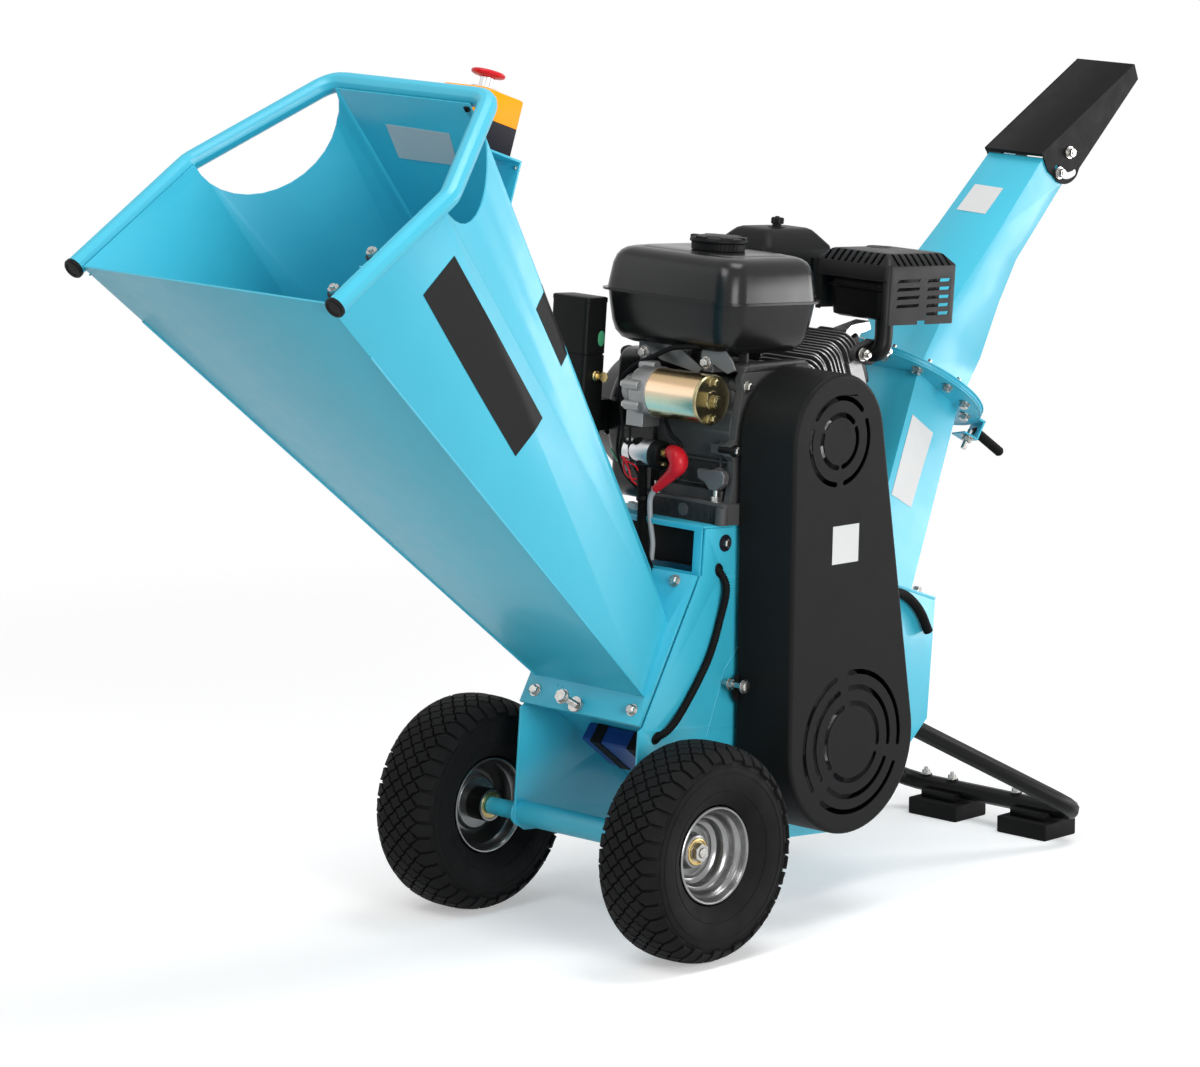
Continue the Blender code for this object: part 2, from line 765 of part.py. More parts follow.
CONDUIT_X = HALF_WIDTH + CONDUIT_RADIUS
CONDUIT_ROUTE = (
    CONDUIT_TOP - CONDUIT_TOP_WAY * CONDUIT_INSIDE,
    CONDUIT_TOP,
    Vector((CONDUIT_X + 0.0036, 0.1210, 0.3150)),
    Vector((CONDUIT_X + 0.0014, 0.1154, 0.2733)),
    Vector((CONDUIT_X + 0.0012, 0.0975, 0.2231)),
    Vector((CONDUIT_X + 0.0012, 0.0613, 0.1692)),
    Vector((CONDUIT_X + 0.0034, 0.0310, 0.1400)),
    CONDUIT_END,
    CONDUIT_END - CONDUIT_END_WAY * CONDUIT_INSIDE,
)


def side_plate(side, sign):
    outline = [
        (-AXLE_EAR + 0.004, -0.012),
        (-AXLE_EAR + 0.004, FLANGE_FOOT[1] - 0.006),
        flange_point(0.0, -FLANGE_PLATE - 2 * GAP),
        flange_point(FLANGE_LENGTH, -FLANGE_PLATE - 2 * GAP),
        (DECK_FRONT, FLANGE_TOP[1] + 0.002),
        (DECK_FRONT, DECK_TOP - PLATE - GAP),
        (DECK_REAR, DECK_TOP - PLATE - GAP),
        (BOX_FRONT, box_top(BOX_FRONT)),
        BOX_TOP_REAR,
        (BOX_TOP_REAR[0], BOX_REAR_FOOT),
        (0.405, CHASSIS_BOTTOM),
        (0.004, CHASSIS_BOTTOM),
    ]
    holes = [circle((0, 0), AXLE_RADIUS + GAP, 20), circle(DRUM_AXIS, SHAFT_RADIUS + 0.001, 20)]
    faces = sorted((sign * (HALF_WIDTH - PLATE), sign * HALF_WIDTH))
    made = plate("side_plate_" + side, outline, faces, body, PAINT, holes)
    if sign > 0:
        way_through = smooth_route(CONDUIT_ROUTE, CONDUIT_STATIONS)
        radius = CONDUIT_RADIUS + CONDUIT_HOLE_ROOM
        cut(made, tube("conduit.hole", way_through, radius, body, None, 2))
    return made


INNER = HALF_WIDTH - PLATE - GAP


def throat_outline(inset):
    """The throat's outline in the hopper flange, drawn in by the inset all round."""
    middle = (THROAT_START + THROAT_END) / 2
    right = [(x - inset, along - math.copysign(inset, along - middle)) for x, along in THROAT_RING]
    left = [(-x, along) for x, along in right[::-1]]
    return right + left


def face_plate():
    """The plate behind the hopper flange, open where the throat passes."""
    outline = [(-INNER, 0.0), (INNER, 0.0), (INNER, FLANGE_LENGTH), (-INNER, FLANGE_LENGTH)]
    hole = throat_outline(0.001)
    z = (-FLANGE_PLATE - GAP, -GAP)
    place = (0, *FLANGE_FOOT)
    return slab("face_plate", outline, z, body, PAINT, place, (FLANGE_ANGLE, 0, 0), [hole])


def deck():
    """The sheet under the engine, folded down at the front with a window in the fold."""
    low = FLANGE_TOP[1] - 0.001
    y = (DECK_FRONT - PLATE, DECK_REAR)
    half = (-HALF_WIDTH, HALF_WIDTH)
    made = box("engine_deck", half, y, (DECK_TOP - PLATE, DECK_TOP), body, PAINT)
    fold_y = (DECK_FRONT - PLATE, DECK_FRONT)
    fold = box("deck.fold", (-INNER, INNER), fold_y, (low, DECK_TOP - 0.001), body, None)
    window_x = (-WINDOW_HALF_WIDTH, WINDOW_HALF_WIDTH)
    window_y = (DECK_FRONT - 0.02, DECK_FRONT + 0.02)
    window_z = (WINDOW_BOTTOM, DECK_TOP - WINDOW_MARGIN)
    window = box("deck.window", window_x, window_y, window_z, body, None)
    join(made, fold)
    return cut(made, window)


def throat_floor():
    """Carries the feed from the flange to the fixed knife."""
    start = flange_point(THROAT_START - 0.006, -FLANGE_PLATE - 0.003)
    wall = ANVIL_EDGE - ANVIL_WIDTH - GAP - SHEET
    path = [start, (wall, ANVIL_BOTTOM + 0.0175), (wall, ANVIL_BOTTOM - 0.0145)]
    return plate("throat_floor", bent_sheet(path, SHEET), (-INNER, INNER), body, PAINT)


def throat_roof():
    start = flange_point(THROAT_END + 0.002, -FLANGE_PLATE - 2 * GAP)
    over = arc(DRUM_AXIS, HOUSING_RADIUS, 118, 36, 6)
    end = (CHUTE_FOOT_FRONT - 0.010, box_top(CHUTE_FOOT_FRONT) - 0.004)
    path = [start] + over + [end]
    return plate("drum_hood", bent_sheet(path, SHEET), (-INNER, INNER), body, PAINT)


TRAY_START = (0.047, 0.130)
TRAY_MEETS_AT = 222
TRAY_END = arc(DRUM_AXIS, HOUSING_RADIUS, TRAY_MEETS_AT, TRAY_MEETS_AT, 1)[0]


def drum_housing():
    """A sloping tray for the battery, then round under the drum and up the rear of the box."""
    under = arc(DRUM_AXIS, HOUSING_RADIUS, TRAY_MEETS_AT, 310, 7)
    rear = BOX_TOP_REAR[0] - 0.0005
    path = [TRAY_START] + under
    path += [WALL_FOOT, (rear, BOX_REAR_FOOT + 0.006), (rear, BOX_TOP_REAR[1] - 0.001)]
    return plate("drum_housing", bent_sheet(path, SHEET), (-INNER, INNER), body, PAINT)


def battery():
    """Strapped under the sloping tray."""
    run = Vector(TRAY_END) - Vector(TRAY_START)
    slope = math.atan2(run.y, run.x)
    middle = Vector(TRAY_START) + run.normalized() * 0.048
    down = Vector((run.y, -run.x)).normalized()
    thick = 0.026
    spot = middle + down * (GAP + thick / 2)
    x, y, z = (-0.060, 0.060), (-0.035, 0.035), (-thick / 2, thick / 2)
    made = box("battery", x, y, z, body, BATTERY_BLUE)
    made.location = (0.010, spot.x, spot.y)
    made.rotation_euler = (slope, 0, 0)
    round_edges(made, 0.003, 1)
    return made


for side, sign in (("left", -1), ("right", 1)):
    side_plate(side, sign)
face_plate()
deck()
throat_floor()
throat_roof()
drum_housing()
battery()


# Cutting drum


def drum():
    place = (0, *DRUM_AXIS)
    made = rod(
        "cutting_drum", DRUM_RADIUS, 2 * DRUM_HALF_WIDTH, body, STEEL, place, sides=32
    )
    bore = rod("cutting_drum.bore", SHAFT_RADIUS + GAP, 0.3, body, None, place, sides=20)
    cut(made, bore)
    seats = []
    for i in (0, 1):
        seat = knife_block("cutting_drum.seat%d" % i, i, GAP, None)
        seats.append(seat)
    cut(made, *seats)
    return hang(made, drum_spin)


def knife_block(name, number, clearance, spec):
    """A knife lies in a chordal seat and stands proud of the drum by its reach."""
    half = DRUM_HALF_WIDTH - 0.004 + clearance
    thick = KNIFE_THICKNESS / 2 + clearance
    wide = KNIFE_WIDTH / 2 + clearance
    made = box(name, (-half, half), (-thick, thick), (-wide, wide), body, spec)
    angle = math.pi * number + KNIFE_TURN
    radius = KNIFE_REACH - KNIFE_WIDTH / 2
    y = DRUM_AXIS[0] - radius * math.sin(angle)
    z = DRUM_AXIS[1] + radius * math.cos(angle)
    made.location = (0, y, z)
    made.rotation_euler = (angle, 0, 0)
    return made


def drum_shaft():
    right = BELT_X + BELT_WIDTH / 2 + PULLEY_CHEEK + 0.012
    left = -HALF_WIDTH - BEARING_LENGTH - 0.006
    place = ((left + right) / 2, *DRUM_AXIS)
    made = rod("drum_shaft", SHAFT_RADIUS, right - left, body, STEEL, place, sides=20)
    return hang(made, drum_spin)


def bearing(side, sign):
    """A flanged bearing unit on the outside of its side plate."""
    start = HALF_WIDTH + GAP
    bore = SHAFT_RADIUS + 2 * GAP
    profile = [
        (0.022, BEARING_LENGTH),
        (0.026, 0.009),
        (BEARING_RADIUS, 0.008),
        (BEARING_RADIUS, 0.0),
        (bore, 0.0),
        (bore, BEARING_LENGTH),
    ]
    made = turned("drum_bearing_" + side, profile, body, CASTING, steps=24)
    made.location = (sign * start, *DRUM_AXIS)
    if sign < 0:
        made.rotation_euler = (0, -math.pi / 2, 0)
    return made


def anvil():
    """The fixed knife at the end of the throat floor."""
    half = DRUM_HALF_WIDTH + 0.002
    y = (ANVIL_EDGE - ANVIL_WIDTH, ANVIL_EDGE)
    z = (ANVIL_BOTTOM, ANVIL_BOTTOM + ANVIL_THICKNESS)
    return box("anvil_knife", (-half, half), y, z, body, STEEL)


def pulley(name, axis, radius, hub, shaft, carrier, spec):
    """A grooved pulley turned about X, centred on the belt's plane."""
    half = BELT_WIDTH / 2 + GAP
    groove = radius - BELT_THICKNESS / 2 - 0.0012
    rim = radius + PULLEY_LIP
    end = half + PULLEY_CHEEK
    profile = [
        (rim, end),
        (rim, half),
        (groove, half),
        (groove, -half),
        (rim, -half),
        (rim, -end),
        (hub, -end),
        (hub, -0.022),
        (shaft, -0.022),
        (shaft, end),
    ]
    made = turned(name, profile, body, spec, (BELT_X, *axis), steps=32)
    return hang(made, carrier)


def clutch():
    """The engine's clutch pulley with its length of crankshaft."""
    made = pulley("clutch_pulley", CRANK_AXIS, CLUTCH_RADIUS, 0.024, 0.006, crank_spin, CASTING)
    shaft_start = CASE_X[1] - 0.012
    shaft_end = BELT_X + BELT_WIDTH / 2 + PULLEY_CHEEK + 0.006
    place = ((shaft_start + shaft_end) / 2, *CRANK_AXIS)
    shaft = rod(
        "clutch_pulley.shaft", CRANK_RADIUS, shaft_end - shaft_start, body, None, place, sides=20
    )
    return join(made, shaft)


def drive_belt():
    half = BELT_THICKNESS / 2
    outer = strap(CRANK_AXIS, CLUTCH_RADIUS + half, DRUM_AXIS, DRUM_PULLEY_RADIUS + half, 16)
    inner = strap(CRANK_AXIS, CLUTCH_RADIUS - half, DRUM_AXIS, DRUM_PULLEY_RADIUS - half, 16)
    x = (BELT_X - BELT_WIDTH / 2, BELT_X + BELT_WIDTH / 2)
    return plate("drive_belt", outer, x, body, RUBBER, [inner])


def belt_guard():
    top, foot_radius = GUARD_TOP_RADIUS, GUARD_FOOT_RADIUS
    outline = strap(CRANK_AXIS, top, DRUM_AXIS, foot_radius, 14)
    hollow = strap(CRANK_AXIS, top - GUARD_WALL, DRUM_AXIS, foot_radius - GUARD_WALL, 14)
    made = plate("belt_guard", outline, (GUARD_BACK_X, GUARD_FACE_X), body, BLACK_PAINT)
    inside = plate(
        "belt_guard.inside", hollow, (GUARD_BACK_X - 0.01, GUARD_FACE_X - GUARD_WALL), body, None
    )
    cut(made, inside)
    slots = ring_slots(CRANK_AXIS, (0.0337, 0.0553), 9, 36)
    slots += ring_slots(DRUM_AXIS, (0.0502, 0.0713, 0.0912), 8.5, -13)
    x = (GUARD_FACE_X - 0.006, GUARD_FACE_X + 0.004)
    vents = plate("belt_guard.vents", slots[0], x, body, None, slots[1:])
    return cut(made, vents)


EAR_SPOTS = ((0.1590, 0.4060), (0.1633, 0.1845), (0.3950, 0.2300))


def guard_back_plate():
    """Stands off the side plate on spacers and closes the guard."""
    x = (GUARD_BACK_X - GAP - BACK_PLATE, GUARD_BACK_X - GAP)
    outline = strap(CRANK_AXIS, GUARD_TOP_RADIUS, DRUM_AXIS, GUARD_FOOT_RADIUS, 14)
    crank_hole = circle(CRANK_AXIS, 0.040, 20)
    drum_hole = circle(DRUM_AXIS, BEARING_RADIUS + 0.003, 20)
    made = plate("guard_back_plate", outline, x, body, BLACK_PAINT, [crank_hole, drum_hole])
    for i, spot in enumerate(EAR_SPOTS):
        ear = rod("guard_back.ear%d" % i, 0.022, BACK_PLATE, body, None, (sum(x) / 2, *spot))
        start = BASE_X[1] if i == 0 else HALF_WIDTH
        length = x[0] - start - GAP + 0.001
        spacer_x = start + GAP + length / 2
        spacer = rod(
            "guard_back.spacer%d" % i, 0.008, length, body, None, (spacer_x, *spot), sides=12
        )
        join(made, ear, spacer)
    return made


drum()
for number, label in enumerate(("a", "b")):
    hang(knife_block("drum_knife_" + label, number, 0.0, STEEL), drum_spin)
drum_shaft()
for side, sign in (("left", -1), ("right", 1)):
    bearing(side, sign)
anvil()
pulley("drum_pulley", DRUM_AXIS, DRUM_PULLEY_RADIUS, 0.030, SHAFT_RADIUS + GAP, drum_spin, CASTING)
clutch()
drive_belt()
belt_guard()
guard_back_plate()


# Hopper


def mouth_ring():
    """The sheet's outline in the mouth plane, inside the bent tube."""
    run = Vector((TUBE_TOP_HALF_WIDTH - TUBE_HALF_WIDTH, TUBE_TOP - TUBE_BEND)).normalized()
    start = Vector((TUBE_HALF_WIDTH, TUBE_BEND)) + Vector((-run.y, run.x)) * SHEET_INSET
    side = TUBE_HALF_WIDTH - SHEET_INSET
    top = TUBE_TOP - SHEET_INSET
    bend = start + run * ((side - start.x) / run.x)
    corner = start + run * ((top - start.y) / run.y)
    right = [(side, 0.0), tuple(bend), tuple(corner - run * 0.012), (corner.x - 0.014, top)]
    return right + [(-x, along) for x, along in right[::-1]]


def hopper_rings():
    foot_ring = [*THROAT_RING] + [(-x, along) for x, along in THROAT_RING[::-1]]
    low = [Vector((x, *flange_point(along, FLANGE_PLATE / 2))) for x, along in foot_ring]
    high = [mouth_point(x, along, SHEET_RISE) for x, along in mouth_ring()]
    return low, high


def hopper():
    low, high = hopper_rings()
    made = loft("hopper_shell", [low, high], HOPPER_SHEET, body, PAINT)
    outline = [
        (-HALF_WIDTH, 0.0),
        (HALF_WIDTH, 0.0),
        (HALF_WIDTH, FLANGE_LENGTH),
        (-HALF_WIDTH, FLANGE_LENGTH),
    ]
    hole = throat_outline(0.001)
    place = (0, *FLANGE_FOOT)
    turn = (FLANGE_ANGLE, 0, 0)
    flange = slab("hopper.flange", outline, (0, FLANGE_PLATE), body, None, place, turn, [hole])
    join(made, flange)
    for i, pair in enumerate(((1, 2), (6, 5))):
        cut(made, hand_hole("hopper.hand%d" % i, high[pair[0]], high[pair[1]], low, pair))
    return made


def hand_hole(name, first, second, low, pair):
    """A half round opening cut down from the edge of a corner panel."""
    along = (second - first).normalized()
    middle = first.lerp(second, HAND_HOLE_PLACE)
    foot_middle = (low[pair[0]] + low[pair[1]]) / 2
    normal = along.cross(foot_middle - middle).normalized()
    down = normal.cross(along)
    bm = bmesh.new()
    bmesh.ops.create_cone(bm, cap_ends=True, segments=32, radius1=1, radius2=1, depth=0.05)
    bmesh.ops.scale(bm, vec=(HAND_HOLE_HALF_LENGTH, HAND_HOLE_DEPTH, 1), verts=bm.verts)
    frame = Matrix((along, down, normal)).transposed().to_4x4()
    frame.translation = middle
    made = from_bmesh(name, bm, body, None)
    made.matrix_basis = frame
    return made


def mouth_tube():
    half = [
        mouth_point(TUBE_HALF_WIDTH, 0.0),
        mouth_point(TUBE_HALF_WIDTH, TUBE_BEND),
        mouth_point(TUBE_TOP_HALF_WIDTH, TUBE_TOP),
    ]
    route = half + [Vector((-p.x, p.y, p.z)) for p in half[::-1]]
    return tube("mouth_tube", rounded(route, TUBE_BEND_RADIUS, 5), TUBE_RADIUS, body, PAINT, 3)


def tube_cap(side, sign):
    spot = mouth_point(sign * TUBE_HALF_WIDTH, -CAP_LENGTH / 2 - GAP)
    turn = (MOUTH_SLOPE + math.pi / 2, 0, 0)
    return rod(
        "tube_cap_" + side, TUBE_RADIUS + 0.0005, CAP_LENGTH, body, PLASTIC, spot, turn, 20
    )


hopper()
mouth_tube()
for side, sign in (("left", -1), ("right", 1)):
    tube_cap(side, sign)


# Emergency stop behind the hopper


def stop_block(name, along, up, half_width, spec, bevel=0.0):
    """A block in the frame of the stop switch, whose origin is its top centre."""
    y, z = leaning(STOP_TOP, STOP_LEAN, sum(along) / 2, sum(up) / 2)
    made = box(
        name,
        (-half_width, half_width),
        ((along[0] - along[1]) / 2, (along[1] - along[0]) / 2),
        ((up[0] - up[1]) / 2, (up[1] - up[0]) / 2),
        body,
        spec,
        bevel,
    )
    made.location = (0, y, z)
    made.rotation_euler = (-STOP_LEAN, 0, 0)
    return made


def stop_switch():
    half = STOP_DEPTH / 2
    split = -STOP_COVER_HEIGHT
    base_up = (-STOP_HEIGHT, split - GAP)
    stop_block("stop_base", (-half, half), base_up, STOP_WIDTH / 2, PLASTIC, 0.002)
    cover = stop_block("stop_cover", (-half, half), (split, 0.0), STOP_WIDTH / 2, YELLOW, 0.002)
    stem_radius = 0.008
    for name, radius, length, up, target, spec in (
        ("stop_button", BUTTON_RADIUS, 0.007, BUTTON_RISE - 0.0035, None, RED),
        ("stop.stem", stem_radius, BUTTON_RISE + 0.008, BUTTON_RISE / 2 - 0.006, "button", None),
        ("stop.bore", stem_radius + 0.0006, 0.060, 0.0, "cover", None),
    ):
        y, z = leaning(STOP_TOP, STOP_LEAN, 0.0, up)
        made = rod(name, radius, length, body, spec, (0, y, z), (-STOP_LEAN, 0, 0), 24)
        if target is None:
            button = made
        elif target == "button":
            join(button, made)
        else:
            cut(cover, made)
    return button


def stop_bracket():
    """A shelf under the switch and a plate down to the hopper's back."""
    half = STOP_DEPTH / 2
    top = -STOP_HEIGHT - GAP
    rear = half + 0.006
    made = stop_block(
        "stop_bracket", (-half + 0.006, rear), (top - 0.003, top), BRACKET_HALF_WIDTH, PAINT
    )
    plate_up = (top - BRACKET_DROP, top)
    down = stop_block("stop.down", (rear - 0.003, rear), plate_up, BRACKET_HALF_WIDTH, None)
    join(made, down)
    low, high = hopper_rings()
    back = [low[3], low[4], high[4], high[3]]
    normal = (back[1] - back[0]).cross(back[3] - back[0]).normalized()
    if normal.y < 0:
        normal = -normal
    side = Vector((1, 0, 0))
    rise = normal.cross(side)
    trim = box("stop.trim", (-0.3, 0.3), (-0.3, 0.3), (-0.3, GAP), body, None)
    frame = Matrix((side, rise, normal)).transposed().to_4x4()
    frame.translation = (back[0] + back[2]) / 2 - normal * (0.3 - GAP) / 2
    trim.matrix_basis = frame
    return cut(made, trim)


stop_switch()
stop_bracket()


# Discharge chute


def lower_chute():
    """Tapers from the rear box to the swivel flange."""
    foot_ring = [
        (CHUTE_FOOT_FRONT, box_top(CHUTE_FOOT_FRONT, GAP)),
        (CHUTE_FOOT_REAR, box_top(CHUTE_FOOT_REAR, GAP)),
    ]
    front = leaning(DISC_CENTRE, DISC_LEAN, -CHUTE_HALF_DEPTH, -DISC_PLATE / 2 - GAP)
    rear = leaning(DISC_CENTRE, DISC_LEAN, CHUTE_HALF_DEPTH, -DISC_PLATE / 2 - GAP)
    low = square_ring(foot_ring[0], foot_ring[1], CHUTE_FOOT_HALF_WIDTH)
    high = square_ring(front, rear, CHUTE_HALF_WIDTH)
    made = loft("lower_chute", [low, high], CHUTE_SHEET, body, PAINT)
    turn = (-DISC_LEAN, 0, 0)
    place = (0, *DISC_CENTRE)
    hole = section_hole()
    ring = circle((0, 0), DISC_RADIUS, 32)
    disc_z = (-DISC_PLATE - GAP, -GAP)
    disc = slab("lower_chute.disc", ring, disc_z, body, None, place, turn, [hole])
    foot_z = (0.0, 0.004)
    edge = HALF_WIDTH
    run = (BOX_TOP_LENGTH - 0.010) / 2
    base = [(-edge, -run), (edge, -run), (edge, run), (-edge, run)]
    centre_y = BOX_TOP_REAR[0] - run * math.cos(BOX_TOP_SLOPE)
    centre = (0, centre_y, box_top(centre_y, GAP))
    slope = math.cos(BOX_TOP_SLOPE)
    front_edge = (CHUTE_FOOT_FRONT - centre_y) / slope + 0.001
    rear_edge = (CHUTE_FOOT_REAR - centre_y) / slope - 0.001
    inner = CHUTE_FOOT_HALF_WIDTH - 0.001
    opening = [(-inner, front_edge), (inner, front_edge), (inner, rear_edge), (-inner, rear_edge)]
    flange = slab(
        "lower_chute.flange", base, foot_z, body, None, centre, (BOX_TOP_SLOPE, 0, 0), [opening]
    )
    return join(made, disc, flange)


def square_ring(front, rear, half_width):
    """Four corners of a duct, in order round it."""
    return [
        Vector((-half_width, *front)),
        Vector((half_width, *front)),
        Vector((half_width, *rear)),
        Vector((-half_width, *rear)),
    ]


def section_hole():
    """The duct's section in the plane of the swivel flange, inside its walls."""
    x = CHUTE_HALF_WIDTH - 0.001
    y = CHUTE_HALF_DEPTH - 0.001
    return [(-x, -y), (x, -y), (x, y), (-x, y)]


UPPER_RINGS = (
    ((0.5718, 0.6377), (0.6580, 0.5860), 0.060),
    ((0.6270, 0.6947), (0.6930, 0.6600), 0.057),
    ((0.6875, 0.7549), (0.7280, 0.7160), 0.053),
    ((0.7771, 0.8514), (0.8215, 0.8160), 0.047),
)


def upper_chute():
    front = leaning(DISC_CENTRE, DISC_LEAN, -CHUTE_HALF_DEPTH, DISC_PLATE / 2 + GAP)
    rear = leaning(DISC_CENTRE, DISC_LEAN, CHUTE_HALF_DEPTH, DISC_PLATE / 2 + GAP)
    rings = [square_ring(front, rear, CHUTE_HALF_WIDTH)]
    rings += [square_ring(*ring) for ring in UPPER_RINGS]
    made = loft("upper_chute", rings, CHUTE_SHEET, body, PAINT)
    turn = (-DISC_LEAN, 0, 0)
    ring = circle((0, 0), DISC_RADIUS, 32)
    disc_z = (GAP, DISC_PLATE + GAP)
    place = (0, *DISC_CENTRE)
    disc = slab("upper_chute.disc", ring, disc_z, body, None, place, turn, [section_hole()])
    join(made, disc)
    pin_length = 2 * (UPPER_RINGS[-1][2] + DEFLECTOR_CLEARANCE + DEFLECTOR_SHEET + 0.004)
    hinge_pins(made, pin_length)
    return hang(made, swivel)


def hinge_pins(made, length):
    """The deflector's pivot bolts stand on a lug outside each wall of the duct."""
    x = UPPER_RINGS[-1][2]
    for sign in (-1, 1):
        lug_x = sorted((sign * (x - 0.001), sign * (x + DEFLECTOR_CLEARANCE / 2)))
        outline = circle(HINGE, LUG_RADIUS, 16)[:9] + [*LUG_FOOT]
        lug = plate("upper_chute.lug%d" % sign, outline, lug_x, body, None)
        join(made, lug)
        pin_x = sign * (x + length / 2) / 2
        pin = rod(
            "upper_chute.pin%d" % sign,
            PIN_RADIUS,
            length / 2 - x + 0.003,
            body,
            None,
            (pin_x, *HINGE),
            sides=12,
        )
        join(made, pin)


def deflector():
    """A black hood hinged on the end of the duct."""
    half = UPPER_RINGS[-1][2] + DEFLECTOR_CLEARANCE
    root, tip = Vector(DEFLECTOR_ROOT), Vector(DEFLECTOR_TIP)
    lobe = [(HINGE[0] + y, HINGE[1] + z) for y, z in DEFLECTOR_LOBE]
    side_outline = [DEFLECTOR_ROOT, *lobe, DEFLECTOR_LIP, DEFLECTOR_TIP]
    span = half + DEFLECTOR_SHEET
    made = plate("deflector", side_outline, (-span, span), body, BLACK_PAINT)
    down = (Vector(DEFLECTOR_LIP) - tip).normalized() * DEFLECTOR_SHEET
    run = (tip - root).normalized()
    inside = [
        tuple(root + down - run * 0.03),
        (HINGE[0] - 0.043, HINGE[1] - 0.098),
        (HINGE[0] + 0.167, HINGE[1] + 0.047),
        tuple(tip + down + run * 0.03),
    ]
    hollow = plate("deflector.inside", inside, (-half, half), body, None)
    cut(made, hollow)
    bore = rod("deflector.bore", PIN_RADIUS + 0.0005, 0.2, body, None, (0, *HINGE), sides=16)
    cut(made, bore)
    hinge = empty("deflector_hinge", swivel)
    hinge.matrix_basis = (
        Matrix.Translation(swivel.location) @ Matrix.Rotation(-DISC_LEAN, 4, "X")
    ).inverted() @ Matrix.Translation((0, *HINGE))
    made.parent = hinge
    made.matrix_parent_inverse = Matrix.Translation((0, *HINGE)).inverted()
    return made


def chute_handle():
    """A lug on the rim of the upper flange with a grip."""
    def spot(radius, down):
        across = radius * math.cos(HANDLE_ANGLE)
        back = radius * math.sin(HANDLE_ANGLE)
        y, z = leaning(DISC_CENTRE, DISC_LEAN, back, -down)
        return (across, y, z)

    start = DISC_RADIUS + 2 * GAP
    points = [spot(start + out, down) for out, down in HANDLE_PATH]
    made = tube("chute_handle", points, HANDLE_RADIUS, body, PLASTIC, 2)
    return hang(made, swivel)


lower_chute()
upper_chute()
deflector()
chute_handle()


# Engine


def crankcase():
    base_top = DECK_TOP + GAP + BASE_HEIGHT
    made = box("crankcase", BASE_X, BASE_Y, (DECK_TOP + GAP, base_top), body, CASTING)
    case = rod(
        "crankcase.case",
        CASE_RADIUS,
        CASE_X[1] - CASE_X[0],
        body,
        None,
        (sum(CASE_X) / 2, *CRANK_AXIS),
        sides=20,
    )
    block = box(
        "crankcase.block",
        CASE_X,
        (CRANK_AXIS[0] - 0.078, CRANK_AXIS[0] + 0.075),
        (base_top - 0.002, CRANK_AXIS[1]),
        body,
        None,
    )
    cover = rod(
        "crankcase.cover",
        CASE_RADIUS - 0.006,
        COVER_THICKNESS + 0.002,
        body,
        None,
        (CASE_X[1] + COVER_THICKNESS / 2 - 0.001, *CRANK_AXIS),
        sides=20,
    )
    join(made, case, block, cover)
    bore = rod(
        "crankcase.bore", CRANK_RADIUS + 0.0006, 0.05, body, None, (CASE_X[1] + 0.01, *CRANK_AXIS)
    )
    return cut(made, bore)


def case_seat(name):
    """Cuts a saddle that rests on the round of the crankcase."""
    place = (0, *CRANK_AXIS)
    return rod(name, CASE_RADIUS + 0.0008, 0.4, body, None, place, sides=40)


def barrel_point(along, across=0.0):
    y = CRANK_AXIS[0] + along * math.cos(BARREL_LEAN) - across * math.sin(BARREL_LEAN)
    z = CRANK_AXIS[1] + along * math.sin(BARREL_LEAN) + across * math.cos(BARREL_LEAN)
    return (y, z)


def barrel_block(name, x, along, half, spec):
    """A block square to the cylinder's axis, so far out from the crankshaft."""
    made = box(
        name,
        x,
        ((along[0] - along[1]) / 2, (along[1] - along[0]) / 2),
        (-half, half),
        body,
        spec,
    )
    made.location = (sum(x) / 2, *barrel_point(sum(along) / 2))
    made.rotation_euler = (BARREL_LEAN, 0, 0)
    return made


def cylinder():
    """Barrel, cooling fins and rocker cover."""
    first = CASE_RADIUS + 0.0012
    along = (first - 0.014, BARREL_END)
    made = barrel_block("cylinder_head", BARREL_X, along, BARREL_HALF, CASTING)
    cut(made, case_seat("cylinder.seat"))
    for i in range(FIN_COUNT):
        start = first + 0.004 + FIN_PITCH * i
        along = (start, start + FIN_THICKNESS)
        join(made, barrel_block("cylinder.fin%d" % i, FIN_X, along, FIN_HALF, None))
    cover = barrel_block("cylinder.cover", ROCKER_X, ROCKER_ALONG, ROCKER_HALF, None)
    round_edges(cover, 0.006, 1)
    return join(made, cover)


def tank():
    """Two pressed halves with a seam flange between them."""
    inset = 0.008
    x = (TANK_X[0] + inset, TANK_X[1] - inset)
    y = (TANK_Y[0] + inset, TANK_Y[1] - inset)
    made = box("fuel_tank", x, y, (TANK_BOTTOM, TANK_TOP), body, BLACK_PAINT, 0.022, 3)
    seam = box(
        "tank.seam", TANK_X, TANK_Y, (TANK_SEAM - 0.0015, TANK_SEAM + 0.0015), body, None
    )
    upright(seam, 0.022)
    return join(made, seam)


def upright(made, width):
    """Bevels only the upright edges of a block."""
    bm = bmesh.new()
    bm.from_mesh(made.data)
    edges = [e for e in bm.edges if abs((e.verts[0].co - e.verts[1].co).normalized().z) > 0.9]
    bmesh.ops.bevel(bm, geom=edges, offset=width, segments=4, profile=0.5, affect="EDGES")
    bm.to_mesh(made.data)
    bm.free()


def fuel_cap():
    start = TANK_TOP + GAP
    place = (*CAP_PLACE, start + CAP_HEIGHT / 2)
    return rod("fuel_cap", CAP_RADIUS, CAP_HEIGHT, body, PLASTIC, place, (0, 0, 0), 28)


def tank_stays(made):
    """Brackets from the crankcase up to the tank."""
    low = CRANK_AXIS[1] + 0.05
    for i, x in enumerate(((-0.020, -0.006), (0.060, 0.074))):
        stay = box("stay%d" % i, x, (0.176, 0.180), (low, TANK_BOTTOM - GAP), body, None)
        join(made, stay)


